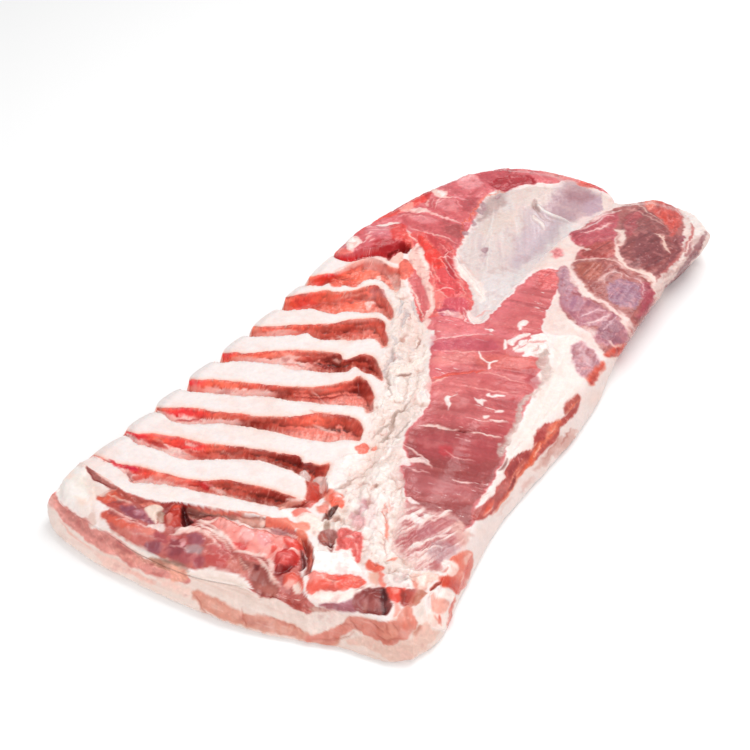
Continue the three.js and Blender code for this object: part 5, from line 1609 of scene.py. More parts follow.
# ---- shoulder end -------------------------------------------------------------------------------
# The end towards the shoulder was chopped through several muscles: below the first ridge lies a
# ragged shelf of purple and red lean, blocks of fat and a deep pocket, all cut at one slant.
RIDGE_FOOT = [
    (-150, -262), (-127, -262), (-118, -266), (-105, -270), (-92, -270), (-80, -269), (-70, -267),
    (-62, -265), (-56, -263), (-50, -259), (-45, -256), (-40, -253), (-33, -250), (-27, -247), (-20, -245),
    (-12, -241), (-5, -238), (5, -236), (12, -234), (22, -231), (34, -232), (44, -234),
]
SHELF_AREA = RIDGE_FOOT + [(50, -236), (62, -256), (66, -268), (84, -280), (100, -300), (60, -330),
    (-60, -340), (-160, -320)]
shelf_outline = np.array(SHELF_AREA, float)
spots = spots_near(shelf_outline, 6)
px, py = sheet_x[spots] + 0.4 * wander_x[spots], sheet_y[spots] + 0.4 * wander_y[spots]
deep = inside(px, py, shelf_outline)
drop = mix(2.5, 7.5, smooth((px + 75) / 30)) * mix(1, 0.75, smooth((px - 20) / 30))
cliff = 1 - (1 - np.clip(deep / mix(9.0, 4.5, smooth((px + 75) / 25)), 0, 1)) ** 2
raised[spots] -= np.where(on_top[spots], drop * cliff, 0)
look_again()
SHELF_MEAT = [
    *in_lip((325, 335), (370, 322), (400, 308), (430, 300), (480, 318), (540, 342), (600, 366), (680, 382),
        (700, 380)),
    (-46, -257), (-30, -250), (-10, -242), (8, -237), (24, -232), (40, -234), (50, -240), (56, -252),
    (62, -264), (70, -272), (84, -278), (83, -284),
    *in_shelf((780, 800), (740, 790), (690, 770), (640, 745), (600, 715), (520, 705), (480, 675),
        (420, 612), (330, 582), (230, 562), (110, 562), (0, 515)),
    *in_lip((833, 725), (760, 695), (700, 670), (640, 640), (580, 615), (520, 590), (480, 565), (440, 535),
        (400, 510), (380, 480), (345, 455), (350, 435), (390, 425), (380, 400), (350, 380), (335, 355)),
]
spots, deep = patch(SHELF_MEAT, "bb5f58", soft=1.2, ragged=0.6, lean_to=1, wet_to=0.9)
px, py = sheet_x[spots], sheet_y[spots]
within = smooth(deep / 3)
torn = fibres(px, py, -14, 22, 3.4, 101, 3)
nodule = crumbs(px + 3 * lumps(px, py, 14, 102), py + 2 * lumps(px, py, 14, 103), 7, 104)
raised[spots] += within * (1.2 * torn + 1.8 * (0.5 - nodule))
lay(spots, within * smooth(torn * 2.2) * 0.5, "d47a72")
lay(spots, within * smooth(-torn * 2.2) * 0.5, "93403f")
lay(spots, within * smooth(nodule * 2.6 - 1.6) * 0.45, "7a2c2c")
lay(spots, within * smooth(fibres(px, py, -12, 18, 1.4, 105) * 3 - 1.6) * 0.5, "efbeb2")
SHELF_LUMPS = [
    (in_lip((325, 335), (345, 325), (370, 335), (400, 320), (440, 315), (480, 335), (470, 360), (420, 372),
        (380, 385), (350, 378), (335, 355)), "d2563f", 1.5, 1),
    (in_lip((430, 302), (480, 320), (540, 345), (600, 370), (690, 385), (690, 400), (600, 392), (520, 372),
        (450, 350), (425, 325)), "a9473c", 1.5, -0.6),
    (in_lip((560, 375), (620, 385), (680, 395), (640, 410), (590, 405)), "dd7a68", 1.5, 0.5),
    (in_lip((380, 385), (420, 378), (460, 385), (500, 398), (480, 415), (430, 412), (395, 405)), "ac3a33",
        2, 0.4),
    (in_lip((450, 402), (520, 395), (560, 410), (600, 440), (640, 470), (650, 492), (600, 492), (560, 472),
        (500, 452), (470, 430)), "8b4758", 3, -0.4),
    # A painted highlight on the dark purple lean.
    (in_lip((530, 420), (570, 418), (590, 440), (570, 450), (540, 440)), "b87882", 2, 0.6),
    (in_lip((345, 440), (380, 438), (430, 455), (480, 480), (520, 500), (560, 520), (540, 532), (480, 525),
        (430, 500), (380, 480), (350, 460)), "d65d4a", 2.5, 1),
    (in_lip((400, 520), (440, 512), (500, 530), (520, 560), (490, 575), (440, 545)), "c77266", 2, 0),
    (in_lip((560, 530), (600, 525), (640, 535), (630, 565), (590, 570), (560, 552)), "de8072", 2.5, 0.8),
    (in_lip((640, 560), (690, 555), (720, 575), (700, 610), (660, 605), (640, 585)), "a94c52", 2.5, 0),
    (in_lip((600, 600), (650, 600), (680, 620), (680, 645), (630, 635), (600, 618)), "8e4c58", 2.5, -0.3),
    (in_lip((720, 570), (780, 560), (833, 570), (833, 615), (770, 620), (725, 600)), "c25c5a", 3, 0.5),
    (in_lip((700, 620), (760, 625), (833, 645), (833, 700), (760, 685), (700, 655)), "a44e52", 3, 0),
    (in_shelf((100, 395), (150, 385), (200, 400), (195, 440), (150, 450), (105, 435)), "97505c", 3, 0.3),
    (in_shelf((0, 430), (50, 415), (90, 440), (85, 480), (40, 495), (0, 490)), "8c3e46", 3, 0),
    # A painted highlight on the dark wine lean.
    (in_shelf((60, 415), (85, 420), (90, 450), (70, 455)), "e6a6a8", 1.5, 0.3),
    (in_shelf((95, 455), (150, 445), (200, 455), (190, 490), (140, 500), (100, 485)), "b08e90", 3, -0.4),
    (in_shelf((225, 455), (270, 440), (330, 460), (340, 500), (290, 510), (240, 500)), "c4605e", 2.5, 1),
    (in_shelf((200, 505), (260, 500), (330, 510), (360, 540), (330, 560), (250, 558), (205, 545)), "bb4b48",
        2.5, 0.6),
    (in_shelf((120, 510), (180, 505), (200, 535), (170, 555), (125, 545)), "9f4850", 2.5, 0),
    (in_shelf((345, 500), (400, 520), (425, 575), (420, 605), (360, 585), (330, 560)), "cb7a6e", 2.5, 0.4),
    (in_shelf((400, 530), (450, 540), (500, 560), (540, 580), (580, 630), (610, 660), (590, 692),
        (540, 692), (500, 680), (470, 640), (440, 600), (410, 570)), "965048", 1.5, -1.2),
    (in_shelf((470, 555), (500, 560), (505, 590), (480, 585)), "682222", 1.5, -0.6),
    (in_shelf((500, 640), (560, 640), (600, 660), (580, 690), (520, 685)), "b4685c", 3, 0),
    (in_shelf((500, 700), (560, 690), (620, 700), (680, 722), (740, 760), (800, 768), (800, 782),
        (780, 800), (740, 790), (690, 770), (640, 745), (600, 715), (540, 712)), "ad4439", 1.2, -1),
]
for outline, code, soft, lift in SHELF_LUMPS:
    patch(outline, code, soft=soft, ragged=1.2, cover=0.9, lift=lift)
PALE_SHELF_STREAKS = [
    (in_lip((395, 342), (440, 355), (480, 370), (530, 378)), 1.6, "ecc2b4"),
    (in_lip((360, 415), (430, 435), (500, 460), (560, 482)), 2, "e6bab2"),
    (in_lip((430, 470), (480, 478), (540, 500), (590, 505)), 1.6, "e4b0a8"),
    (in_lip((560, 500), (600, 515), (650, 528), (700, 545)), 1.6, "eccac2"),
    (in_lip((500, 545), (560, 560), (620, 580), (700, 590)), 1.2, "dca49c"),
    (in_lip((750, 530), (790, 522), (833, 520)), 2.6, "ecc4bc"),
    (in_shelf((0, 395), (40, 385), (90, 372), (150, 365), (200, 350)), 3.4, "f3d9d0"),
    (in_shelf((30, 372), (80, 360), (140, 352), (180, 340)), 1.6, "f8e6de"),
    (in_shelf((100, 345), (160, 365), (220, 395), (260, 430), (300, 470)), 2, "f0cfc6"),
    (in_shelf((200, 440), (260, 450), (300, 480), (340, 490)), 1.2, "e6b4ac"),
    (in_shelf((0, 450), (50, 462), (110, 470)), 1, "dca6a0"),
    (in_shelf((200, 500), (260, 505), (330, 505)), 1, "e0a8a0"),
]
for path, width, code in PALE_SHELF_STREAKS:
    streak(path, width, code, soft=0.9, ragged=1.2, cover=0.85, lift=0.5)
# Sinew blocks, the round cut end of a muscle and the gap beside it, painted near-black as shade.
SINEW_BLOCK = in_lip((590, 412), (640, 400), (680, 398), (692, 420), (662, 450), (652, 492), (632, 472),
    (602, 442))
patch(SINEW_BLOCK, "efdacb", soft=1, ragged=1, lean_to=0.1, cover=0.95, lift=1)
SINEW_BLOCK_SHADE = in_lip((660, 440), (690, 425), (705, 450), (700, 485), (665, 495))
patch(SINEW_BLOCK_SHADE, "ab8a78", soft=1.5, ragged=1, lean_to=0.3, cover=0.9)
SINEW_BLOCK_FOOT = in_lip((600, 498), (640, 492), (690, 500), (705, 522), (690, 546), (640, 532),
    (608, 518))
patch(SINEW_BLOCK_FOOT, "ecdcd8", soft=1.2, ragged=1.4, lean_to=0.2, cover=0.9, lift=0.5)
KNOB = in_lip((700, 458), (718, 430), (745, 405), (772, 390), (800, 398), (812, 440), (805, 480),
    (798, 520), (750, 512), (718, 502), (700, 482))
patch(KNOB, "b8372b", soft=1, ragged=0.7, lean_to=1, wet_to=1, cover=0.97, lift=2.6, lift_soft=4)
KNOB_TOP = in_lip((745, 405), (772, 390), (795, 400), (790, 425), (755, 430))
patch(KNOB_TOP, "dd4a34", soft=2, ragged=0.8, cover=0.85, lift=0.4)
KNOB_GLINT = in_lip((715, 455), (740, 448), (750, 480), (735, 500), (715, 490))
patch(KNOB_GLINT, "d98a80", soft=2, ragged=0.8, cover=0.8)
# Painted shade in the gap beside the knob.
KNOB_GAP_SHADE = in_shelf((78, 228), (100, 248), (112, 300), (135, 322), (112, 345), (78, 352), (72, 300))
patch(KNOB_GAP_SHADE, "490f0f", soft=1.2, ragged=0.8, lean_to=1, wet_to=0.9, cover=0.95, lift=-3)
KNOB_BACK = in_lip((680, 382), (720, 375), (780, 378), (833, 385), (833, 405), (800, 395), (760, 385),
    (720, 400), (690, 400))
patch(KNOB_BACK, "8c1c18", soft=1, ragged=0.8, lean_to=1, cover=0.9, lift=-1.5)
# The cut under the first ridge: brown lean, a cream block in it, and a blush on the fat above.
UNDER_RIDGE = [
    (in_shelf((98, 235), (200, 262), (320, 276), (420, 272), (500, 275), (532, 290), (528, 348), (480, 352),
        (400, 342), (340, 312), (300, 292), (240, 290), (180, 302), (135, 305), (108, 292)), "a0695c", 1,
        -0.5),
    (in_shelf((100, 240), (180, 265), (260, 285), (240, 292), (170, 298), (115, 285)), "7c4038", 1.5, -0.6),
    (in_shelf((340, 292), (420, 284), (500, 294), (528, 302), (526, 340), (480, 344), (420, 330),
        (365, 312)), "dda596", 1, 0.8),
    (in_shelf((500, 300), (528, 302), (526, 342), (505, 338)), "f6d8cc", 1, 0.6),
    (in_shelf((300, 290), (350, 285), (400, 300), (360, 310), (320, 305)), "b88478", 1.5, 0),
]
for outline, code, soft, lift in UNDER_RIDGE:
    patch(outline, code, soft=soft, ragged=0.5, lean_to=0.9, wet_to=0.7, cover=0.92, lift=lift)
RIDGE_RAW_EDGE = in_shelf((90, 222), (160, 240), (230, 258), (300, 266), (370, 248), (440, 242), (500, 258),
    (545, 268))
streak(RIDGE_RAW_EDGE, 2.8, "df7a64", soft=1.6, ragged=1.2, lean_to=0.5, cover=0.85)
RIDGE_EDGE_GLINT = in_shelf((220, 215), (235, 235), (240, 255))
streak(RIDGE_EDGE_GLINT, 1.6, "f0b4a4", soft=1, cover=0.8)
# A painted shade line along the undercut below the first ridge.
RIDGE_UNDERCUT_SHADE = in_shelf((340, 345), (420, 352), (500, 360), (560, 358))
streak(RIDGE_UNDERCUT_SHADE, 1.6, "7e3026", soft=0.8, ragged=1, cover=0.8, lift=-0.8)
# Pink meat piled in lumps in front of the first ridge, with sinew round it and a raw end.
PINK_MEAT = in_shelf((245, 300), (290, 290), (330, 302), (370, 322), (410, 345), (470, 356), (530, 362),
    (600, 378), (680, 385), (742, 430), (738, 480), (722, 520), (705, 560), (650, 592), (600, 600),
    (575, 545), (520, 522), (470, 502), (420, 482), (370, 470), (340, 440), (300, 402), (262, 350))
spots, deep = patch(PINK_MEAT, "ef938a", soft=1.2, ragged=1, lean_to=1, wet_to=1, lift=3.2, lift_soft=6)
px, py = sheet_x[spots], sheet_y[spots]
within = smooth(deep / 3)
nodule = crumbs(px, py, 6, 106)
raised[spots] += within * 2.0 * (0.5 - nodule**2)
# The lumps' tops are painted paler as wet highlights and the creases between them darker red as shade.
lay(spots, within * smooth(1 - nodule * 1.6) * 0.55, "fbbdb6")
lay(spots, within * smooth(nodule * 2.4 - 1.5) * 0.5, "d65e56")
PINK_PARTS = [
    (in_shelf((270, 305), (330, 312), (370, 345), (340, 350), (295, 335)), "ef9286", 2, 0.3),
    (in_shelf((400, 390), (440, 380), (480, 400), (470, 440), (420, 440)), "f5b2ae", 2, 0.8),
    (in_shelf((500, 410), (550, 405), (565, 450), (530, 475), (500, 455)), "f2a2a2", 2, 0.8),
    (in_shelf((360, 440), (400, 448), (445, 468), (430, 478), (380, 465)), "e4504e", 1.2, -0.8),
    (in_shelf((560, 470), (590, 460), (600, 490), (570, 500)), "e8584c", 1.5, -0.4),
    (in_shelf((640, 418), (690, 405), (742, 432), (738, 470), (690, 475), (650, 462)), "dd443a", 1.5, 0.8),
    (in_shelf((650, 422), (690, 418), (700, 440), (665, 450)), "f08c88", 1.5, 0.3),
    (in_shelf((582, 545), (600, 505), (645, 475), (690, 482), (725, 500), (715, 532), (700, 560),
        (650, 590), (600, 598), (580, 580)), "c93632", 1, 1.2),
    (in_shelf((610, 510), (660, 500), (690, 510), (670, 540), (625, 545)), "e0706c", 1.5, 0.6),
    # Painted shade at the foot of the red end lump.
    (in_shelf((590, 585), (640, 570), (700, 560), (690, 580), (650, 605), (600, 612)), "7a1212", 1.2, -2),
]
for outline, code, soft, lift in PINK_PARTS:
    patch(outline, code, soft=soft, ragged=0.9, lean_to=1, wet_to=1, cover=0.92, lift=lift)
PINK_MEAT_SINEW = [
    (in_shelf((285, 290), (330, 308), (380, 330), (430, 354), (500, 364), (560, 370), (600, 385),
        (640, 378)), 4, "fbe9e3"),
    (in_shelf((640, 378), (690, 380), (725, 398), (740, 425)), 2.4, "f9e0d8"),
    (in_shelf((140, 318), (200, 325), (240, 318), (280, 300)), 3, "f6d6cc"),
    (in_shelf((135, 330), (200, 348), (250, 368), (300, 402), (340, 442), (362, 472)), 3, "f8e4dc"),
    (in_shelf((180, 318), (240, 345), (290, 382), (330, 422)), 1.4, "f4cfc6"),
    (in_shelf((150, 352), (230, 382), (300, 430), (350, 480)), 1.6, "f4d4ca"),
    (in_shelf((362, 478), (420, 492), (480, 505), (540, 515)), 3, "f6d9d0"),
    (in_shelf((470, 520), (520, 548), (560, 592), (600, 640), (622, 662)), 2.6, "efd2c6"),
    (in_shelf((530, 530), (560, 540), (575, 580), (590, 600)), 3.4, "f7dcd2"),
    (in_shelf((650, 490), (690, 478), (725, 492)), 1.8, "f6dcd4"),
    (in_shelf((390, 500), (410, 540), (440, 580), (450, 610)), 1.2, "d8a89c"),
    (in_shelf((470, 356), (520, 352), (600, 355), (660, 370)), 1.4, "f2c8bc"),
]
for path, width, code in PINK_MEAT_SINEW:
    streak(path, width, code, soft=0.9, ragged=1, lean_to=0.3, cover=0.9, lift=0.8)
PINK_MEAT_GREY_END = in_shelf((565, 360), (600, 352), (640, 360), (650, 385), (610, 392), (575, 380))
patch(PINK_MEAT_GREY_END, "c9979a", soft=2, ragged=1.2, lean_to=0.5, cover=0.8)
PINK_MEAT_RAW_END = in_shelf((530, 268), (600, 280), (660, 272), (700, 302), (692, 345), (620, 342),
    (560, 352), (535, 320))
patch(PINK_MEAT_RAW_END, "ee7c66", soft=1.5, ragged=1.3, lean_to=0.9, wet_to=0.9, cover=0.9, lift=0.8)
PINK_MEAT_FAT_BIT = in_shelf((620, 215), (670, 225), (680, 255), (640, 262), (610, 245))
patch(PINK_MEAT_FAT_BIT, "fbf1ec", soft=1.2, ragged=1, lean_to=0, cover=0.9, lift=1.2)
# The left corner's fat is parted by a red crack; blood lies on its lip and lean shows at its edge.
CORNER = [
    (in_lip((130, 190), (200, 160), (250, 158), (265, 200), (250, 260), (300, 300), (330, 330), (300, 420),
        (240, 420), (160, 360), (100, 300), (110, 240)), "f4ebe5", 6, 1),
    # Grey-beige painted shade on the corner's fat.
    (in_lip((215, 240), (280, 250), (330, 300), (300, 330), (240, 300)), "e6dacf", 6, 0),
    (in_lip((215, 355), (260, 355), (280, 385), (240, 395)), "f8dccd", 5, 0),
    (in_lip((140, 225), (180, 215), (200, 240), (170, 255)), "f8ddd2", 4, 0),
    # Beige painted shade on the right of the corner's fat.
    (in_lip((300, 300), (400, 310), (390, 340), (340, 340), (320, 400), (300, 420)), "e8cfc5", 5, 0),
]
for outline, code, soft, lift in CORNER:
    patch(outline, code, soft=soft, ragged=2, lean_to=0.1, cover=0.85, lift=lift)
CORNER_STUB = in_lip((205, 160), (222, 148), (248, 150), (262, 162), (258, 182), (230, 178))
patch(CORNER_STUB, "f9e6de", soft=1, ragged=0.6, lean_to=0, cover=0.9, lift=1.8)
CORNER_CRACK = in_lip((262, 160), (288, 178), (322, 202), (350, 235), (380, 260), (428, 290), (425, 312),
    (395, 306), (358, 278), (318, 262), (292, 242), (268, 208), (258, 182))
patch(CORNER_CRACK, "ad665e", soft=1, ragged=0.9, lean_to=0.9, wet_to=0.8, lift=-1.8)
CORNER_CRACK_DEPTH = in_lip((264, 170), (282, 205), (300, 238), (340, 262), (372, 276), (400, 292),
    (425, 304))
streak(CORNER_CRACK_DEPTH, 1.5, "7a2624", soft=0.8, ragged=0.8, cover=0.9, lift=-0.8)
# A painted highlight along the crack's rim.
CORNER_CRACK_HIGHLIGHT = in_lip((300, 190), (340, 225), (380, 252), (420, 280))
streak(CORNER_CRACK_HIGHLIGHT, 1.6, "eab0a4", soft=1, ragged=0.8, cover=0.8)
LIP_BLUSH = in_lip((140, 202), (165, 194), (195, 188), (192, 202), (175, 216), (148, 220))
patch(LIP_BLUSH, "ea7a68", soft=1, ragged=0.8, lean_to=0.6, cover=0.9)
LIP_BLOOD = in_lip((160, 196), (178, 191), (192, 192), (182, 203), (165, 204))
patch(LIP_BLOOD, "c00c1a", soft=0.8, ragged=0.5, wet_to=1, cover=0.95)
LIP_CORNER_LEAN = in_lip((62, 245), (85, 220), (106, 212), (122, 236), (100, 256), (86, 278), (78, 300),
    (60, 292))
patch(LIP_CORNER_LEAN, "f0938a", soft=1.2, ragged=0.8, lean_to=0.6, cover=0.92)
LIP_CORNER_BLOOD = in_lip((92, 214), (104, 210), (110, 218), (98, 224))
patch(LIP_CORNER_BLOOD, "e8203a", soft=0.8, ragged=0.3, wet_to=1, cover=0.95)
LIP_STAIN = in_lip((268, 435), (300, 430), (305, 465), (285, 475), (268, 455))
patch(LIP_STAIN, "dcb9ac", soft=1.5, ragged=1, cover=0.8)
# Folds of fat, raw spots and crevices between the first ridge's end and the streaked fat.
FOLDS = [
    (in_shelf((690, 225), (740, 215), (790, 235), (770, 250), (720, 262), (688, 250)), "e87264", 1.5, 0.3),
    (in_shelf((700, 258), (760, 240), (800, 250), (850, 270), (850, 320), (800, 350), (760, 320),
        (720, 300)), "f9e6dc", 2, 1.5),
    (in_shelf((690, 300), (740, 290), (780, 310), (775, 345), (740, 340), (700, 330)), "ee8a74", 2, 0.4),
    (in_shelf((705, 340), (750, 345), (775, 400), (760, 440), (735, 425), (715, 385)), "e06d54", 2, 0),
    (in_shelf((800, 345), (850, 300), (870, 250), (890, 215), (900, 240), (880, 290), (860, 320),
        (830, 360), (810, 380)), "f6e2d8", 1.5, 1.2),
    (in_shelf((810, 200), (850, 190), (880, 160), (895, 180), (870, 220), (830, 235)), "d98a7a", 2, 0.3),
    (in_shelf((605, 210), (640, 185), (700, 165), (740, 180), (700, 200), (660, 212), (620, 225)), "e8a090",
        1.5, 1),
    (in_shelf((650, 165), (720, 158), (760, 165), (700, 175)), "f6d6cc", 1.2, 0.8),
    (in_shelf((700, 205), (740, 190), (770, 185), (765, 205), (730, 212)), "9c2c22", 1.2, -1),
    (in_shelf((765, 70), (800, 80), (830, 120), (838, 150), (800, 190), (770, 210), (755, 160), (768, 120)),
        "c8544a", 1.5, 0.6),
    (in_shelf((775, 60), (800, 75), (812, 110), (790, 95)), "dd7e70", 1.5, 0.4),
    (in_shelf((718, 15), (745, 5), (768, 30), (775, 60), (745, 55), (722, 35)), "fbf0ea", 1.2, 2),
    (in_shelf((860, 120), (900, 105), (930, 130), (944, 160), (920, 210), (895, 200), (870, 160)), "e87a66",
        2, 0.5),
    # Painted shade in the gap.
    (in_shelf((870, 215), (905, 225), (925, 200), (910, 250), (880, 290), (862, 270), (850, 290),
        (862, 240)), "74382f", 1.4, -2.4),
    (in_pocket((150, 150), (185, 120), (180, 180), (160, 200), (150, 185)), "ecd6cc", 2, 0),
    (in_pocket((108, 95), (125, 75), (150, 68), (175, 85), (188, 115), (180, 148), (150, 150), (120, 148),
        (105, 130)), "ee6048", 1.2, 1.5),
    (in_pocket((125, 90), (150, 80), (165, 100), (140, 110)), "f4958a", 1.2, 0.3),
    (in_pocket((0, 20), (40, 10), (60, 60), (50, 110), (20, 130), (0, 120)), "cc4a3c", 1.5, 0.5),
    (in_pocket((50, 140), (90, 130), (100, 160), (70, 175), (48, 165)), "ee8c7c", 1.5, 0.5),
    # Painted shade in the gap.
    (in_pocket((95, 180), (118, 155), (150, 142), (145, 160), (120, 185), (112, 215), (95, 215)), "5c3028",
        1.4, -2.6),
    (in_pocket((75, 230), (95, 210), (112, 215), (110, 265), (80, 270)), "ab8a7a", 1.5, -1.5),
    (in_pocket((40, 300), (80, 265), (120, 268), (152, 282), (138, 330), (128, 372), (112, 408), (95, 372),
        (60, 352), (40, 332)), "96504a", 1.8, -2),
    (in_pocket((45, 300), (80, 285), (100, 320), (70, 335)), "b05c52", 1.5, 0.3),
    # Painted shade in the pocket.
    (in_pocket((85, 335), (120, 335), (125, 365), (100, 360)), "581616", 1.2, -1),
    (in_pocket((152, 292), (180, 265), (210, 268), (225, 286), (282, 290), (286, 340), (276, 400),
        (272, 442), (250, 452), (226, 412), (215, 386), (170, 380), (142, 382), (150, 330)), "ea807a", 1.4,
        0.4),
    (in_pocket((222, 300), (275, 300), (275, 390), (240, 390), (225, 350)), "dd7b7a", 2, 0),
    (in_pocket((160, 300), (190, 290), (210, 330), (190, 365), (165, 350)), "fad2d0", 2, 0.5),
    (in_pocket((215, 388), (270, 390), (270, 440), (250, 450), (228, 415)), "d2453a", 1.2, 0),
    (in_pocket((225, 210), (262, 202), (300, 215), (290, 250), (250, 262), (232, 240)), "e7b6b6", 2.5, 0),
    (in_pocket((295, 465), (320, 440), (345, 455), (382, 475), (386, 492), (350, 502), (310, 497)),
        "e35c46", 1.2, 0.6),
    (in_pocket((0, 385), (120, 395), (140, 385), (220, 390), (250, 455), (300, 500), (300, 515), (200, 515),
        (100, 508), (0, 510)), "fcf5f1", 2, 1.5),
    (in_pocket((405, 430), (430, 432), (460, 420), (470, 412), (455, 430), (420, 440)), "ee8a74", 0.8, 0),
    (in_pocket((355, 510), (380, 505), (400, 560), (395, 600), (370, 570)), "ea7a6a", 1.2, 0),
    (in_pocket((315, 515), (355, 508), (365, 560), (335, 570), (318, 550)), "e8b4a2", 2, 0),
]
for outline, code, soft, lift in FOLDS:
    patch(outline, code, soft=soft, ragged=1.1, lean_to=0.6, wet_to=0.8, cover=0.92, lift=lift)
# Loose crumbs of fat lie over the folds and break up their edges; the cracks between them are painted
# darker as shade.
FOLD_CRUMBS = in_folds((410, 330), (460, 290), (560, 300), (640, 330), (650, 420), (640, 520), (640, 600),
    (700, 620), (790, 600), (800, 640), (740, 700), (640, 700), (560, 650), (520, 600), (440, 640),
    (350, 640), (330, 600), (350, 520), (380, 440))
fold_outline = smooth_line(FOLD_CRUMBS, 90, closed=True)
spots = spots_near(fold_outline, 4)
px, py = sheet_x[spots] + wander_x[spots], sheet_y[spots] + wander_y[spots]
strewn = smooth(inside(px, py, fold_outline) / 5)
crumb = crumbs(px + 2 * lumps(px, py, 9, 161), py + 2 * lumps(px, py, 9, 162), 5, 163)
where = smooth(lumps(px, py, 11, 164, 2) * 3.4 + 0.1)
raised[spots] += strewn * 2.2 * (0.5 - crumb**2)
lay(spots, strewn * where * smooth(1.2 - crumb * 2.2) * 0.75, "faf0eb")
lay(spots, strewn * smooth(crumb * 3.2 - 2.1) * 0.55, "b98a7e")
GAP_FLAP = in_folds((440, 485), (470, 480), (500, 490), (528, 500), (532, 560), (522, 600), (508, 606),
    (492, 566), (462, 560), (436, 545))
patch(GAP_FLAP, "e0645e", soft=1.6, ragged=0.9, lean_to=0.8, wet_to=1, cover=0.92, lift=0.6)
GAP_STREAKS = [
    # A painted highlight on the flap.
    (in_folds((462, 520), (480, 512), (500, 520)), 3, "f9cfc8"),
    (in_folds((500, 535), (512, 560), (518, 590)), 1.6, "f3a59c"),
    (in_folds((445, 500), (450, 530), (460, 552)), 1.4, "c9443e"),
    (in_folds((505, 500), (520, 520), (524, 550)), 2, "cd5450"),
    # These two are painted shade in the hollow beside the flap.
    (in_folds((380, 500), (395, 520), (405, 545)), 1.2, "c98a80"),
    (in_folds((415, 500), (425, 520), (420, 545)), 1.2, "b06a62"),
]
for path, width, code in GAP_STREAKS:
    streak(path, width, code, soft=1.5, ragged=0.9, wet_to=1, cover=0.8)
# Behind the crack: a raw strip under the block of fat, the pocket and its red flap.
STRIP_SHADE = in_shelf((745, 390), (765, 430), (782, 480), (782, 540), (765, 590), (745, 620))
streak(STRIP_SHADE, 5, "8a2a20", soft=1.2, ragged=0.9, lean_to=1, wet_to=0.9, cover=0.92, lift=-4)
# Painted shade in the gap beside the strip.
STRIP_GAP_SHADE = in_shelf((735, 470), (742, 520), (738, 560), (730, 590))
streak(STRIP_GAP_SHADE, 3, "4c0c0c", soft=1, ragged=0.7, cover=0.9, lift=-1.5)
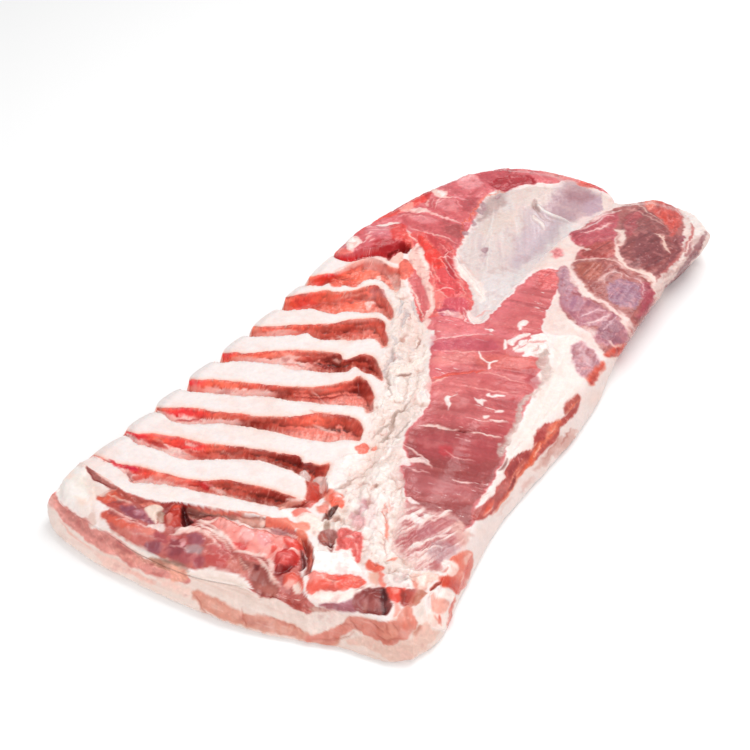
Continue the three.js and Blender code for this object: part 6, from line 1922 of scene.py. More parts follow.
# A painted highlight along the strip's rim.
STRIP_RIM_HIGHLIGHT = in_shelf((770, 400), (790, 450), (790, 520), (775, 570))
streak(STRIP_RIM_HIGHLIGHT, 1.4, "e8806c", soft=0.9, ragged=0.8, cover=0.85, lift=0.8)
RAW_STRIP = in_pocket((0, 515), (60, 508), (130, 518), (200, 518), (260, 525), (302, 560), (290, 582),
    (240, 602), (180, 602), (120, 592), (60, 602), (0, 592))
spots, deep = patch(RAW_STRIP, "e45e4e", soft=1.2, ragged=1.3, lean_to=1, wet_to=1, lift=2, lift_soft=4)
raised[spots] += smooth(deep / 2) * 1.2 * lumps(sheet_x[spots], sheet_y[spots], 4, 107, 2)
POCKET = [
    (in_shelf((625, 640), (660, 605), (700, 600), (745, 630), (750, 670), (720, 685), (690, 660),
        (650, 665)), "dd5c4c", 1.2, 1),
    (in_shelf((640, 650), (680, 640), (690, 660), (660, 672)), "f2b0a4", 1, 0.5),
    (in_shelf((690, 655), (730, 660), (742, 690), (710, 695), (690, 680)), "f0d8cc", 1.2, 0.8),
    (in_pocket((0, 520), (50, 512), (90, 525), (80, 560), (30, 560), (0, 560)), "f08a80", 2, 0.6),
    (in_pocket((150, 535), (180, 540), (200, 560), (170, 580), (150, 565)), "ee4030", 1.5, 0.3),
    (in_pocket((215, 535), (260, 530), (290, 560), (260, 590), (220, 575)), "f47c6c", 2, 0.8),
    (in_pocket((20, 605), (90, 592), (180, 606), (240, 606), (300, 580), (335, 575), (300, 605), (240, 632),
        (180, 642), (110, 650), (50, 640), (20, 625)), "f6e4dc", 1.2, 1.5),
    (in_pocket((60, 658), (130, 652), (200, 642), (232, 640), (255, 690), (200, 697), (140, 692),
        (90, 678)), "a35c66", 2, -0.5),
    (in_pocket((0, 665), (50, 668), (90, 685), (140, 697), (100, 700), (0, 690)), "c8988c", 1.5, 0),
    # The pocket's lean, darkened as painted shade.
    (in_pocket((228, 642), (290, 610), (350, 594), (402, 598), (425, 640), (442, 670), (425, 702),
        (402, 714), (340, 707), (290, 706), (250, 692)), "7c3230", 1.5, -2.6),
    (in_pocket((230, 645), (280, 620), (300, 650), (270, 690), (245, 680)), "9c504e", 3, 0.6),
    # A painted highlight in the pocket.
    (in_pocket((270, 655), (295, 650), (300, 680), (280, 690)), "a0564c", 2, 0.4),
    (in_pocket((320, 620), (360, 610), (370, 650), (340, 690), (320, 670)), "8a3c38", 2.5, 0.6),
    # Painted shade deep in the pocket.
    (in_pocket((375, 602), (405, 600), (415, 650), (405, 700), (380, 700)), "4c1416", 2, -1),
    (in_pocket((405, 592), (450, 590), (502, 588), (495, 640), (472, 672), (432, 652), (415, 622)),
        "de4536", 1, 1.5),
    (in_pocket((430, 600), (470, 598), (480, 625), (450, 635)), "ee8072", 1.5, 0.4),
    (in_pocket((500, 602), (560, 595), (602, 620), (562, 660), (522, 692), (490, 692), (480, 660)),
        "a63c33", 1.5, -1),
    (in_pocket((400, 510), (440, 500), (500, 505), (545, 515), (540, 560), (500, 588), (450, 590),
        (410, 580), (385, 540)), "f0e2dc", 1.2, 1.5),
    (in_pocket((440, 530), (500, 530), (520, 560), (470, 575), (440, 560)), "dccac6", 2.5, 0),
    (in_pocket((545, 515), (600, 500), (650, 505), (685, 500), (690, 530), (640, 560), (610, 600),
        (570, 600), (550, 560)), "efc4b6", 2, 0.8),
    (in_pocket((580, 520), (620, 515), (620, 560), (595, 575)), "f8e6dc", 1.5, 0.6),
    (in_pocket((540, 545), (570, 560), (575, 590), (550, 590)), "d98a7a", 1.5, -0.5),
    (in_pocket((560, 600), (610, 600), (625, 625), (590, 650), (570, 690), (555, 680), (560, 640)),
        "c07a66", 1.5, 0.4),
]
for outline, code, soft, lift in POCKET:
    patch(outline, code, soft=soft, ragged=1, lean_to=0.8, wet_to=0.9, cover=0.95, lift=lift, lift_soft=3)
# The flank-side corner: a raw red edge, and a white stub with a pink core.
CORNER_BITS = [
    (in_pocket((745, 420), (782, 395), (832, 368), (862, 378), (852, 430), (832, 480), (822, 540),
        (792, 590), (770, 602), (752, 570), (720, 572), (690, 570), (655, 596), (636, 590), (670, 552),
        (710, 520), (740, 470)), "e2705a", 1.4, 0.8),
    (in_pocket((700, 430), (745, 425), (782, 440), (778, 490), (740, 500), (705, 480)), "fbeae3", 2, 1),
    (in_pocket((690, 520), (740, 505), (790, 520), (790, 585), (770, 600), (752, 565), (700, 560)),
        "d24a34", 3, 0.3),
    (in_pocket((820, 380), (858, 385), (850, 430), (825, 440)), "f4b4a4", 2, 0),
    (in_pocket((635, 600), (660, 575), (690, 545), (700, 560), (670, 590), (650, 605)), "a8483a", 1.2,
        -1.5),
    (in_pocket((608, 702), (620, 650), (650, 602), (690, 582), (752, 592), (772, 620), (748, 680),
        (746, 740), (722, 790), (680, 782), (640, 770), (615, 740)), "fbf0ea", 1, 2),
    (in_pocket((645, 645), (690, 618), (732, 640), (732, 682), (702, 702), (660, 692)), "f3b2a2", 2, -0.3),
    (in_pocket((620, 700), (660, 705), (680, 745), (660, 765), (630, 750)), "f0ddd4", 2, 0),
]
for outline, code, soft, lift in CORNER_BITS:
    patch(outline, code, soft=soft, ragged=0.9, lean_to=0.5, wet_to=0.8, cover=0.95, lift=lift)
CORNER_STREAKS = [
    (in_pocket((768, 610), (762, 640), (750, 690), (744, 740), (736, 785)), 2, "e2604c"),
    (in_pocket((690, 705), (688, 730), (682, 752)), 1.6, "dc5440"),
    (in_pocket((470, 700), (500, 720), (500, 770), (480, 800)), 1.6, "e0604c"),
]
for path, width, code in CORNER_STREAKS:
    streak(path, width, code, soft=1, ragged=0.6, lean_to=0.6, cover=0.9)

RAW_EDGE_MARKS = [
    (in_pocket((858, 392), (846, 440), (826, 500), (806, 548), (790, 592)), 5, "d4523f", 0.3),
    (in_pocket((770, 420), (800, 400), (836, 384)), 3, "dc6450", 0.3),
    (in_pocket((718, 522), (748, 560), (772, 588)), 4, "c8402f", 0),
    (in_pocket((636, 598), (664, 574), (694, 548)), 2.4, "9c3a2e", -1.2),
    (in_pocket((748, 440), (768, 470), (742, 500)), 3, "f4c2b6", 0.3),
    (in_pocket((700, 480), (724, 470), (740, 455)), 2.4, "d8887c", -0.6),
    (in_pocket((800, 470), (812, 500), (800, 540)), 1.2, "f0a898", 0.3),
    (in_pocket((745, 700), (740, 745), (728, 785)), 3, "d8604c", 0),
    (in_pocket((652, 700), (680, 730), (700, 760)), 1.4, "e0907e", -0.4),
    (in_pocket((500, 500), (540, 520), (575, 525), (600, 512)), 2, "cda89c", -0.8),
    (in_pocket((420, 430), (445, 436), (470, 420)), 1, "e2765f", -0.3),
    (in_pocket((404, 230), (412, 280), (414, 330)), 1.6, "f08a74", 0),
    (in_pocket((415, 90), (425, 130), (432, 170)), 1, "f29a88", 0),
    (in_pocket((300, 505), (330, 520), (350, 560), (340, 590)), 3, "e8b4a2", -0.6),
    (in_pocket((390, 505), (430, 512), (470, 540), (520, 545), (545, 530)), 3, "d8c6c0", -0.8),
    (in_pocket((590, 520), (620, 505), (650, 520), (640, 560)), 3, "f4d4c8", 0.6),
    (in_pocket((560, 600), (548, 640), (540, 680), (520, 720)), 3, "c4705e", -0.8),
    (in_pocket((480, 590), (500, 630), (490, 680)), 2.4, "8e342c", -0.8),
    (in_pocket((450, 660), (470, 690), (460, 730), (470, 770)), 3, "e2745f", 0.3),
    (in_pocket((60, 540), (100, 560), (140, 575), (170, 560)), 1.6, "f7b5a8", 0.4),
    (in_pocket((180, 565), (230, 580), (280, 560)), 2, "d2402e", -0.4),
    (in_pocket((70, 590), (120, 596), (160, 600)), 1.6, "c23c30", -0.4),
]
for path, width, code, lift in RAW_EDGE_MARKS:
    streak(path, width, code, soft=1.2, ragged=1, cover=0.8, lift=lift)

# ---- cut end -----------------------------------------------------------------------------------
# Down the chopped end the layers show: a pale streak of lean under the lip, fat, a thin pink
# line in it and the rind's fat at the foot.
WALL_FAT = [
    (-160, -300),
    *in_lip((40, 330), (78, 298), (110, 340), (150, 372), (200, 412), (265, 445), (282, 480), (340, 492),
        (400, 525), (440, 548), (480, 576), (520, 600), (580, 625), (640, 650), (700, 680), (760, 705),
        (833, 735)),
    *in_shelf((0, 520), (110, 566), (230, 566), (330, 590), (420, 622), (480, 685), (520, 712), (600, 722),
        (640, 755), (700, 782), (780, 806), (860, 800), (944, 790)),
    *in_pocket((0, 700), (90, 705), (200, 712), (260, 716), (330, 735), (400, 742), (450, 730), (500, 700),
        (560, 690), (600, 650), (612, 700), (618, 745), (645, 775), (690, 795)),
    (180, -260), (160, -300), (100, -330), (-60, -350), (-160, -330),
]
spots, deep = patch(WALL_FAT, "eddcd4", soft=1.0, ragged=0.8, lean_to=0.1, wet_to=0.5)
px, py = sheet_x[spots], sheet_y[spots]
sheets = fibres(px, py, 4, 40, 2.6, 111, 2)
lay(spots, smooth(deep / 2) * smooth(sheets * 2) * 0.5, "f5ebe5")
lay(spots, smooth(deep / 2) * smooth(-sheets * 2 - 0.3) * 0.4, "dcbfb4")
LIP_BAND = in_lip((40, 330), (58, 300), (78, 296), (110, 342), (150, 374), (200, 414), (265, 448),
    (282, 482), (340, 494), (400, 530), (460, 572), (520, 612), (600, 652), (700, 692), (780, 730),
    (833, 760), (833, 800), (780, 792), (700, 772), (600, 742), (500, 702), (400, 642), (300, 582),
    (200, 502), (120, 442), (80, 392), (50, 350))
band_spots, band_deep = patch(
    LIP_BAND, "da8f87", soft=1.2, ragged=1, lean_to=0.9, wet_to=0.7, cover=0.95
)
LIP_BAND_PARTS = [
    (in_lip((78, 300), (120, 350), (200, 415), (265, 450), (300, 500), (400, 550), (480, 590), (520, 625),
        (480, 640), (400, 600), (300, 545), (200, 470), (130, 410), (90, 350)), "c67d75", 3, 0),
    (in_lip((35, 300), (60, 295), (80, 330), (100, 370), (70, 390), (45, 350)), "f0a89e", 3, 0),
    (in_lip((420, 600), (520, 650), (600, 680), (560, 700), (480, 670), (420, 630)), "e2998c", 3, 0),
    (in_lip((520, 610), (600, 650), (680, 690), (700, 720), (620, 700), (560, 670), (520, 640)), "c4887a",
        2.5, 0),
    (in_lip((620, 660), (680, 665), (740, 700), (700, 720), (650, 700)), "b07a66", 2.5, 0),
    (in_shelf((0, 530), (50, 540), (100, 570), (95, 610), (50, 620), (0, 625)), "e6a48e", 2, 0),
]
for outline, code, soft, lift in LIP_BAND_PARTS:
    patch(outline, code, soft=soft, ragged=1, lean_to=0.9, wet_to=0.7, cover=0.95, lift=lift)
px, py = sheet_x[band_spots], sheet_y[band_spots]
lay(band_spots, smooth(band_deep / 2) * smooth(fibres(px, py, -30, 12, 1.6, 112, 2) * 2.4 - 0.5) * 0.4,
    "efb5a9")
lay(band_spots, smooth(band_deep / 2) * smooth(fibres(px, py, -30, 14, 2.2, 113, 2) * 2.4 - 0.6) * 0.35,
    "ad6c60")
LIP_BAND_STREAKS = [
    (in_lip((340, 488), (400, 516), (440, 542), (480, 572), (520, 597), (580, 622), (640, 648), (700, 678),
        (760, 702), (833, 732)), 2, "dcd0c8"),
    (in_lip((80, 296), (130, 345), (200, 405), (262, 440)), 1.2, "f6e8e2"),
    # These two dark lines are painted shadow under the lip.
    (in_lip((640, 662), (700, 684), (760, 706), (833, 740)), 1, "7d5a4a"),
    (in_shelf((0, 512), (60, 530), (110, 562)), 1.4, "8a6a5c"),
    (in_lip((100, 440), (150, 490), (190, 530), (250, 575), (310, 615)), 1.2, "ecb2a4"),
    (in_lip((310, 615), (370, 655), (440, 690), (520, 722)), 2.4, "efc2b6"),
    (in_shelf((120, 600), (220, 598), (330, 620), (420, 650), (520, 700), (600, 730)), 1.4, "dac6ba"),
    (in_shelf((260, 640), (340, 650), (420, 690), (500, 740)), 1.2, "e0cdc2"),
    (in_pocket((350, 755), (362, 790), (372, 825)), 1.4, "cf7260"),
    (in_pocket((590, 750), (575, 785), (550, 822)), 1.4, "c98a72"),
    (in_pocket((250, 740), (330, 780), (400, 800), (470, 800)), 1, "d98874"),
]
for path, width, code in LIP_BAND_STREAKS:
    streak(path, width, code, soft=0.9, ragged=0.7, cover=0.88)
LOWER_LEAN = [
    (in_lip((300, 630), (360, 655), (430, 690), (500, 730), (560, 755), (500, 750), (420, 725), (350, 690)),
        "efc9be", 3),
    (in_lip((480, 710), (560, 740), (640, 790), (600, 795), (520, 760)), "eec0b4", 3),
    (in_lip((640, 760), (720, 790), (800, 810), (833, 830), (833, 870), (760, 850), (700, 820)), "f2d3c8",
        4),
    (in_shelf((122, 690), (160, 672), (200, 698), (260, 710), (340, 750), (420, 790), (500, 806),
        (560, 816), (640, 850), (720, 880), (800, 902), (880, 892), (944, 862), (944, 968), (800, 952),
        (700, 932), (600, 908), (500, 892), (400, 852), (300, 832), (220, 792), (150, 742)), "d9937f", 2.5),
    (in_shelf((180, 710), (260, 730), (330, 780), (280, 790), (210, 750)), "e4a796", 3),
    (in_shelf((400, 800), (500, 830), (600, 870), (560, 885), (460, 860), (400, 830)), "cc8474", 3),
    (in_pocket((0, 812), (60, 812), (120, 790), (165, 760), (210, 722), (260, 722), (330, 737), (400, 742),
        (450, 732), (500, 702), (545, 700), (562, 722), (562, 782), (522, 832), (442, 852), (382, 852),
        (300, 832), (242, 792), (200, 812), (150, 850), (60, 850), (0, 846)), "d67f6e", 1.5),
    (in_pocket((380, 760), (440, 750), (480, 790), (430, 840), (390, 820)), "e09480", 3),
    (in_pocket((500, 705), (545, 705), (555, 760), (520, 800), (500, 760)), "db7662", 2.5),
    (in_pocket((0, 840), (80, 840), (150, 850), (100, 858), (0, 850)), "d68a7a", 2),
    (in_pocket((195, 868), (240, 832), (300, 832), (380, 856), (450, 856), (540, 832), (575, 790),
        (600, 742), (625, 745), (645, 785), (692, 795), (640, 862), (570, 932), (500, 958), (400, 932),
        (300, 892)), "e5c4b7", 1.5),
    (in_pocket((0, 702), (90, 708), (180, 716), (160, 755), (110, 785), (50, 805), (0, 808)), "efe2db", 2),
]
for outline, code, soft in LOWER_LEAN:
    spots, deep = patch(outline, code, soft=soft, ragged=1.2, lean_to=0.5, wet_to=0.6, cover=0.93)
    px, py = sheet_x[spots], sheet_y[spots]
    lay(spots, smooth(deep / 2) * smooth(fibres(px, py, 8, 16, 2, 114, 2) * 2.4 - 0.5) * 0.35, "f6ddd4")

# Painted shade in the creases of the chopped end.
FOOT_CREASE_SHADE = [
    (in_pocket((215, 728), (240, 775), (262, 820)), 1.4),
    (in_pocket((300, 745), (345, 775), (400, 800), (430, 815)), 1.6),
    (in_pocket((330, 800), (380, 830), (430, 845), (500, 840)), 1.6),
    (in_pocket((405, 745), (412, 790), (425, 815)), 2),
    (in_pocket((440, 740), (452, 775), (470, 800)), 1.4),
    (in_pocket((0, 836), (60, 842), (120, 848), (190, 838), (240, 800)), 1.4),
    (in_pocket((510, 700), (520, 740), (545, 770)), 1.2),
    (in_pocket((556, 822), (575, 790), (592, 755)), 1.6),
    (in_pocket((150, 770), (200, 760), (240, 762)), 1.2),
    (in_shelf((120, 690), (160, 730), (200, 800), (250, 830)), 1.6),
    (in_shelf((400, 760), (420, 830), (440, 880)), 1.2),
    (in_shelf((520, 800), (640, 860), (760, 900)), 1.4),
]
for path, width in FOOT_CREASE_SHADE:
    streak(path, width, "b9614f", soft=1.4, ragged=1, cover=0.55, lift=-0.7)
chopped = slice(starts["near"], ends["near"])
# The chopped face has dried a little and is pinker than the top; the flank side is painted a little pinker
# and darker than the top as shade.
dried = mix(np.array([0.985, 0.96, 0.95]), np.array([0.92, 0.88, 0.865]),
    smooth((skin[chopped, 0] + 60) / 120)[:, None])
colour[chopped] *= mix(1, dried, smooth(ring[chopped] * 8)[:, None])
flank = slice(starts["right"], ends["right"])
colour[flank] *= mix(1, np.array([0.965, 0.925, 0.91]), smooth(ring[flank] * 6)[:, None])

# ---- trimmed edges ---------------------------------------------------------------------------------
# The rib side and the flank end were trimmed straight down, so the belly's layers show there:
# below the top's own lean or fat comes fat, a streak of lean, more fat and the tan rind.
LAYERS = [(0, "efe0d8"), (0.3, "eedcd3"), (0.36, "cf8078"), (0.5, "c9736b"), (0.56, "f0e0d8")]
LAYERS += [(0.84, "efddd3"), (0.9, "ddb9a6"), (1, "d2a78f")]
for name in ("left", "far"):
    part = slice(starts[name], ends[name])
    heights = skin[part, 2].reshape(shapes[name])
    rim_height = np.repeat(heights[:, :1], RINGS + 1, 1).ravel()
    px, py, pz = skin[part].T
    run = px + py
    first = mix(5.0, 13.0, smooth((py - 200) / 60))
    wave = 3.4 * lumps(run, pz / 2, 45, 301, 2) + 1.6 * lumps(run, pz, 13, 303, 2) + 0.4 * lumps(run, pz, 3,
        305)
    depth = rim_height - pz
    share = np.clip((depth + wave - first) / (rim_height - first), 0, 1)
    layer_tint = np.array([tint(code) for _, code in LAYERS])
    layer_at = [at for at, _ in LAYERS]
    layered = np.stack([np.interp(share, layer_at, layer_tint[:, k]) for k in range(3)], 1)
    threads = lumps(run / 7, pz, 1.6, 307, 2)
    layered *= (1 + 0.05 * threads + 0.04 * lumps(run, pz, 6, 309, 3))[:, None]
    # The streak of lean swells, thins and breaks off along the slab.
    faint = smooth(lumps(run, pz / 3, 38, 311, 2) * 3 + 0.1) * 0.75 * smooth((0.7 - share) / 0.1)
    layered = mix(layered, tint("eed9cf"), faint[:, None])
    cover = smooth((depth + 1.5 * wave - first) / 2.5) * smooth((py + 290) / 40)
    colour[part] = mix(colour[part], layered, cover[:, None])
    lean[part] = mix(lean[part], 0.8 * smooth((share - 0.33) / 0.04) * smooth((0.53 - share) / 0.04), cover)
    wet[part] = mix(wet[part], 0.5, cover)

# ---- grain of lean and fat ----------------------------------------------------------------------
# Lean is lumpy and wet, mottled with darker and paler red and flecked with fat; the fat itself is
# uneven too, its tone varying a little and its hollows blushed pinkish-grey as painted shade.
# Fine grain fades where a steep face spreads the rows of points apart.
sparse = np.zeros(len(skin))
row_gaps = np.abs(np.gradient(sheet_y[meat_side].reshape(ROWS, COLUMNS), axis=0))
sparse[meat_side] = smooth(row_gaps / 0.7 - 0.7).ravel()
spots = np.flatnonzero(lean > 0.15)
px, py, amount = sheet_x[spots], sheet_y[spots], lean[spots]
clots, fine = lumps(px, py, 6, 211, 3), lumps(px, py, 1.7, 212, 2) * (1 - 0.8 * sparse[spots])
raised[spots] += amount * (0.45 * clots + 0.22 * fine)
lay(spots, amount * smooth(clots * 2 - 0.15) * 0.28, "f0a097")
lay(spots, amount * smooth(-clots * 2 - 0.25) * 0.3, "8c2c2c")
flecked = smooth(fine * 4 - 1.9) * smooth(lumps(px, py, 17, 213, 2) * 2 + 0.5)
lay(spots, amount * flecked * 0.3, "f7d9d0")
colour[spots] *= 1 + amount[:, None] * 0.09 * fine[:, None]
spots = np.flatnonzero(lean < 0.6)
px, py, amount = sheet_x[spots], sheet_y[spots], 1 - lean[spots]
clots, fine = lumps(px, py, 11, 214, 3), lumps(px, py, 2.6, 215, 2)
raised[spots] += amount * (0.3 * clots + 0.1 * fine)
lay(spots, amount * smooth(-clots * 2.2 - 0.1) * 0.35, "efcfc6")
colour[spots] *= 1 + amount[:, None] * (0.025 * fine - 0.02)[:, None]

# ---- the skin as meshes --------------------------------------------------------------------
# The meat side is heaved by what is drawn on it, the walls follow, and the slab is divided
# crosswise in the rib beds into pieces that lap under one another.
top_lift = raised[: ends["top"]].reshape(ROWS, COLUMNS)
top_base = mix(level, lip, at_lip)
top = np.concatenate([plan, (top_base + top_lift)[..., None]], -1)
flat = {"top": top, **all_walls(top, base)}
feet = {"left": left_foot, "right": right_foot, "near": near_foot, "far": far_foot}
for name in parts[1:]:
    part = slice(starts[name], ends[name])
    out = feet[name][:, None] - flat[name][:, :1, :2]
    out = out / np.maximum(np.linalg.norm(out, axis=-1, keepdims=True), 1)
    px, py, pz = (flat[name][..., k] for k in range(3))
    push = np.clip(raised[part].reshape(shapes[name]), -3, 1.2)
    run = px + py
    push = push + 0.9 * lumps(run, pz, 14, 201, 2) + 0.35 * lumps(run, pz * 2.2, 4, 202, 2)
    rings = np.arange(RINGS + 1)[None]
    flat[name][..., :2] += out * (push * smooth(rings / 4) * smooth((RINGS - rings) / 6))[..., None]
low = np.min([np.min(flat[p].reshape(-1, 3), 0) for p in parts], 0)
high = np.max([np.max(flat[p].reshape(-1, 3), 0) for p in parts], 0)
INSET, TOP_INSET = 0.15, 0.05


def settle(points):
    """Brings the drawn box in plan to the solid's, a hair inside it, and keeps heights."""
    span = (cad_high - cad_low)[:2] - 2 * INSET
    points = points.copy()
    points[..., :2] = (points[..., :2] - low[:2]) / (high - low)[:2] * span + cad_low[:2] + INSET
    points[..., 2] = np.minimum(points[..., 2], cad_high[2] - TOP_INSET)
    return points


def linear(srgb):
    """Screen colour to light: the usual curve, a power of 2.4 above its short straight start."""
    srgb = np.clip(srgb, 0, 1)
    return np.where(srgb < 0.04045, srgb / 12.92, ((srgb + 0.055) / 1.055) ** 2.4)


def mesh_of(name, points, faces, paint, finish):
    """A mesh from points in millimetres, lists of faces as arrays of corner numbers, one colour
    and one set of finish values for each point."""
    mesh = bpy.data.meshes.new(name)
    mesh.vertices.add(len(points))
    mesh.vertices.foreach_set("co", (points / 1000).astype(np.float32).ravel())
    corners = np.concatenate([f.ravel() for f in faces])
    sizes = np.concatenate([np.full(len(f), f.shape[1]) for f in faces])
    mesh.loops.add(len(corners))
    mesh.loops.foreach_set("vertex_index", corners.astype(np.int32))
    mesh.polygons.add(len(sizes))
    mesh.polygons.foreach_set("loop_start", (np.cumsum(sizes) - sizes).astype(np.int32))
    mesh.polygons.foreach_set("use_smooth", np.ones(len(sizes), bool))
    mesh.update(calc_edges=True)
    mesh.validate()
    for label, values in (("paint", paint), ("finish", finish)):
        layer = mesh.attributes.new(label, "FLOAT_COLOR", "POINT")
        rgba = np.ones((len(points), 4), np.float32)
        rgba[:, :3] = values
        layer.data.foreach_set("color", rgba.ravel())
    thing = bpy.data.objects.new(name, mesh)
    bpy.context.scene.collection.objects.link(thing)
    return thing


def quads(numbers, flip=False):
    """Four-cornered faces between neighbouring rows and columns of a grid of point numbers."""
    a, b, c, d = numbers[:-1, :-1], numbers[:-1, 1:], numbers[1:, 1:], numbers[1:, :-1]
    corners = (a, d, c, b) if flip else (a, b, c, d)
    return np.stack([k.ravel() for k in corners], 1)


LAP_ROWS = 8
LAP_DIVE = 0.03
finish_all = np.stack([wet, lean, np.zeros(len(skin))], 1)
grids = {p: settle(flat[p]) for p in parts}
paints = {p: linear(colour[starts[p] : ends[p]]).reshape(*shapes[p], 3) for p in parts}
finishes = {p: finish_all[starts[p] : ends[p]].reshape(*shapes[p], 3) for p in parts}


def slab_piece(name, first, last, lap):
    """One crosswise length of the slab, closed: its share of the meat side and of both side walls,
    the end wall if it has one or else a curtain down to the rind, and the flat rind below. It runs on
    for lap rows that dive under the next piece."""
    stop = min(last + lap, ROWS - 1)
    keep = slice(first, stop + 1)
    count = stop + 1 - first
    top_points = grids["top"][keep].copy()
    left_points, right_points = grids["left"][keep].copy(), grids["right"][keep].copy()
    dive = np.clip(np.arange(count) - (last - first), 0, None) * LAP_DIVE
    top_points[..., 2] -= dive[:, None]
    for wall_points, inward in ((left_points, 1), (right_points, -1)):
        wall_points[:, :, 0] += inward * dive[:, None]
        wall_points[:, 0] = top_points[:, 0 if inward > 0 else -1]
    blocks = [top_points.reshape(-1, 3), left_points[:, 1:].reshape(-1, 3),
        right_points[:, 1:].reshape(-1, 3)]
    paint = [paints["top"][keep].reshape(-1, 3)]
    paint += [paints[p][keep, 1:].reshape(-1, 3) for p in ("left", "right")]
    finish = [finishes["top"][keep].reshape(-1, 3)]
    finish += [finishes[p][keep, 1:].reshape(-1, 3) for p in ("left", "right")]
    n = count * COLUMNS
    top_ids = np.arange(n).reshape(count, COLUMNS)
    left_ids = np.hstack([top_ids[:, :1], n + np.arange(count * RINGS).reshape(count, RINGS)])
    n += count * RINGS
    right_ids = np.hstack([top_ids[:, -1:], n + np.arange(count * RINGS).reshape(count, RINGS)])
    n += count * RINGS
    faces = [quads(top_ids), quads(left_ids, flip=True), quads(right_ids)]
    loop = [left_ids[:, -1]]
    for row, outer in ((stop, "far"), (first, "near")):
        edge = row - first
        at_end = row in (0, ROWS - 1)
        if at_end:
            inner = grids[outer][1:-1, 1:]
            ids = n + np.arange(inner.shape[0] * RINGS).reshape(-1, RINGS)
            n += ids.size
            ids = np.vstack([left_ids[edge, 1:], ids, right_ids[edge, 1:]])
            ids = np.hstack([top_ids[edge][:, None], ids])
            blocks.append(inner.reshape(-1, 3))
            paint.append(paints[outer][1:-1, 1:].reshape(-1, 3))
            finish.append(finishes[outer][1:-1, 1:].reshape(-1, 3))
            faces.append(quads(ids, flip=outer == "far"))
            chain = ids[1:-1, -1]
        else:
            across = top_points[edge, :, 0] - top_points[edge, 0, 0]
            across = (across / across[-1])[:, None]
            left_shift = left_points[edge, -1] - left_points[edge, 0]
            right_shift = right_points[edge, -1] - right_points[edge, 0]
            shift = mix(left_shift, right_shift, across)
            under = top_points[edge] + shift
            under[:, 2] = 0
            ids = np.r_[left_ids[edge, -1], n + np.arange(COLUMNS - 2), right_ids[edge, -1]]
            n += COLUMNS - 2
            blocks.append(under[1:-1])
            paint.append(paints["top"][row, 1:-1])
            finish.append(finishes["top"][row, 1:-1])
            faces.append(quads(np.stack([top_ids[edge], ids], 1), flip=outer == "far"))
            for wall_ids in (left_ids, right_ids):
                ear = wall_ids[edge]
                turn = (wall_ids is left_ids) == (outer == "near")
                faces.append((ear if turn else ear[::-1])[None])
            chain = ids[1:-1]
        loop.append(chain if outer == "far" else chain[::-1])
        if outer == "far":
            loop.append(right_ids[::-1, -1])
    faces.append(np.concatenate(loop)[None])
    return mesh_of(name, np.vstack(blocks), faces, np.vstack(paint), np.vstack(finish))


# Where one piece ends and the next begins, as rows: in every second bed, then twice on the flank.
flank_third = FLANK_ROWS // 3
cuts = [0, span_starts[2], span_starts[4], span_starts[6], span_starts[8]]
cuts += [span_starts[9] + flank_third - 20, span_starts[9] + 2 * flank_third - 10, ROWS - 1]
PIECE_NAMES = ["shoulder_end", "rib_length_1", "rib_length_2", "rib_length_3", "rib_length_4",
    "flank_length", "flank_end"]
slab_pieces = [
    slab_piece(name, first, last, LAP_ROWS if last < ROWS - 1 else 0)
    for name, first, last in zip(PIECE_NAMES, cuts[:-1], cuts[1:])
]

# ---- flesh ------------------------------------------------------------------------------
# Wet raw meat: colour from the skin's paint with fine mottling and a fine bump, a damp sheen that
# follows the skin's wetness, strongest on the lean, and light that sinks a little way in.
flesh = bpy.data.materials.new("flesh")
flesh.use_nodes = True
nodes, links = flesh.node_tree.nodes, flesh.node_tree.links
shader = nodes["Principled BSDF"]


def node(kind, **values):
    """A new node of the material in hand with some of its inputs or properties set."""
    made = nodes.new(kind)
    for key, value in values.items():
        if key in made.inputs:
            made.inputs[key].default_value = value
        else:
            setattr(made, key, value)
    return made


paint_in = node("ShaderNodeAttribute", attribute_name="paint")
finish_in = node("ShaderNodeAttribute", attribute_name="finish")
parted = node("ShaderNodeSeparateColor")
links.new(finish_in.outputs["Color"], parted.inputs[0])
place_in = node("ShaderNodeTexCoord")
grain = node("ShaderNodeTexNoise", Scale=700.0, Detail=3.0)
links.new(place_in.outputs["Object"], grain.inputs["Vector"])
tone = node("ShaderNodeMapRange")
tone.inputs["To Min"].default_value = 0.93
tone.inputs["To Max"].default_value = 1.06
links.new(grain.outputs["Fac"], tone.inputs["Value"])
toned = node("ShaderNodeVectorMath", operation="SCALE")
links.new(paint_in.outputs["Color"], toned.inputs[0])
links.new(tone.outputs["Result"], toned.inputs["Scale"])
links.new(toned.outputs["Vector"], shader.inputs["Base Color"])
shine = node("ShaderNodeMapRange")
shine.inputs["To Min"].default_value = 0.5
shine.inputs["To Max"].default_value = 0.2
links.new(parted.outputs["Red"], shine.inputs["Value"])
links.new(shine.outputs["Result"], shader.inputs["Roughness"])
bump = node("ShaderNodeBump", Strength=0.25, Distance=0.0006)
links.new(grain.outputs["Fac"], bump.inputs["Height"])
links.new(bump.outputs["Normal"], shader.inputs["Normal"])
shader.inputs["Subsurface Weight"].default_value = 0.12
shader.inputs["Subsurface Radius"].default_value = (1.0, 0.45, 0.3)
shader.inputs["Subsurface Scale"].default_value = 0.0015
shader.inputs["Specular IOR Level"].default_value = 0.4

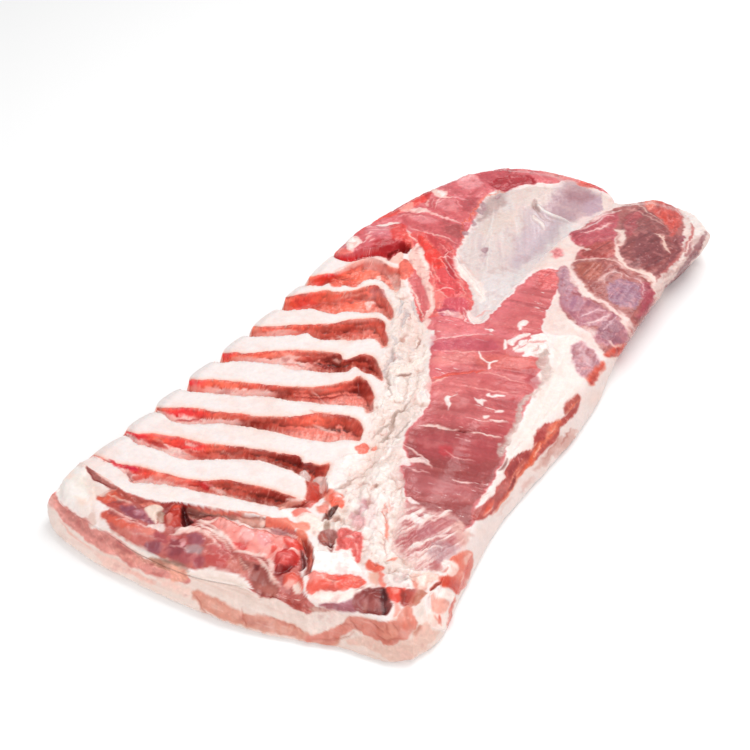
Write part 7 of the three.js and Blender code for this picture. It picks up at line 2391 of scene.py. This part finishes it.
# ---- rind -------------------------------------------------------------------------------
# The underside is the pig's scalded skin: smooth, tan-pink and nearly dry, in faint blotches.
rind = bpy.data.materials.new("rind")
rind.use_nodes = True
nodes, links = rind.node_tree.nodes, rind.node_tree.links
shader = nodes["Principled BSDF"]
place_in = node("ShaderNodeTexCoord")
blotches = node("ShaderNodeTexNoise", Scale=30.0, Detail=5.0)
links.new(place_in.outputs["Object"], blotches.inputs["Vector"])
skin_tones = node("ShaderNodeValToRGB")
for stop, at, code in zip(skin_tones.color_ramp.elements, (0.35, 0.68), ("d9ad95", "ecd0bd")):
    stop.position = at
    stop.color = (*linear(tint(code)), 1)
links.new(blotches.outputs["Fac"], skin_tones.inputs["Fac"])
links.new(skin_tones.outputs["Color"], shader.inputs["Base Color"])
shader.inputs["Roughness"].default_value = 0.5

for thing in slab_pieces:
    thing.data.materials.append(flesh)
    thing.data.materials.append(rind)
    thing.data.polygons[len(thing.data.polygons) - 1].material_index = 1
    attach(thing, "root")
    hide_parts("belly_slab")

# ---- studio --------------------------------------------------------------------------------
# A white table under a broad soft light, with the camera high on the flank side's near corner.
TABLE_HALF = 2.5
table_mesh = bpy.data.meshes.new("table_top")
table_mesh.from_pydata(
    [(-TABLE_HALF, -TABLE_HALF, 0), (TABLE_HALF, -TABLE_HALF, 0), (TABLE_HALF, TABLE_HALF, 0),
        (-TABLE_HALF, TABLE_HALF, 0)],
    [],
    [(0, 1, 2, 3)],
)
table_top = bpy.data.objects.new("table_top", table_mesh)
bpy.context.scene.collection.objects.link(table_top)
white = bpy.data.materials.new("white_table")
white.use_nodes = True
white.node_tree.nodes["Principled BSDF"].inputs["Base Color"].default_value = (0.95, 0.95, 0.95, 1)
white.node_tree.nodes["Principled BSDF"].inputs["Roughness"].default_value = 0.8
white.node_tree.nodes["Principled BSDF"].inputs["Specular IOR Level"].default_value = 0.1
table_mesh.materials.append(white)
table_top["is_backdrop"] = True

SKY_LIGHT = 0.58
world = bpy.data.worlds.new("studio")
bpy.context.scene.world = world
world.use_nodes = True
world.node_tree.nodes["Background"].inputs["Color"].default_value = (1, 1, 1, 1)
world.node_tree.nodes["Background"].inputs["Strength"].default_value = SKY_LIGHT
bpy.context.scene.view_settings.view_transform = "Standard"


def soft_light(name, place, size, watts, target=(0, 0, 0)):
    """A square lamp turned towards a point."""
    lamp = bpy.data.lights.new(name, "AREA")
    lamp.size = size
    lamp.energy = watts
    thing = bpy.data.objects.new(name, lamp)
    thing.location = place
    thing.rotation_euler = (Vector(target) - Vector(place)).to_track_quat("-Z", "Y").to_euler()
    bpy.context.scene.collection.objects.link(thing)


soft_light("overhead", place=(0.1, 0.6, 1.3), size=1.0, watts=11.5)
soft_light("front", place=(0.6, -1.2, 0.9), size=1.1, watts=11)

LOOK_AT = np.array([-0.02975, -0.02168, 0.0])
SENSOR_WIDTH, FOCAL_LENGTH = 36, 57.6
back = np.array([np.sin(ASIDE) * np.cos(DOWN), -np.cos(ASIDE) * np.cos(DOWN), np.sin(DOWN)])
eye = bpy.data.cameras.new("camera")
eye.sensor_width = SENSOR_WIDTH
eye.lens = FOCAL_LENGTH
camera = bpy.data.objects.new("camera", eye)
camera.location = Vector(LOOK_AT + back * REACH / 1000)
camera.rotation_euler = Vector(-back).to_track_quat("-Z", "Y").to_euler()
bpy.context.scene.collection.objects.link(camera)
bpy.context.scene.camera = camera

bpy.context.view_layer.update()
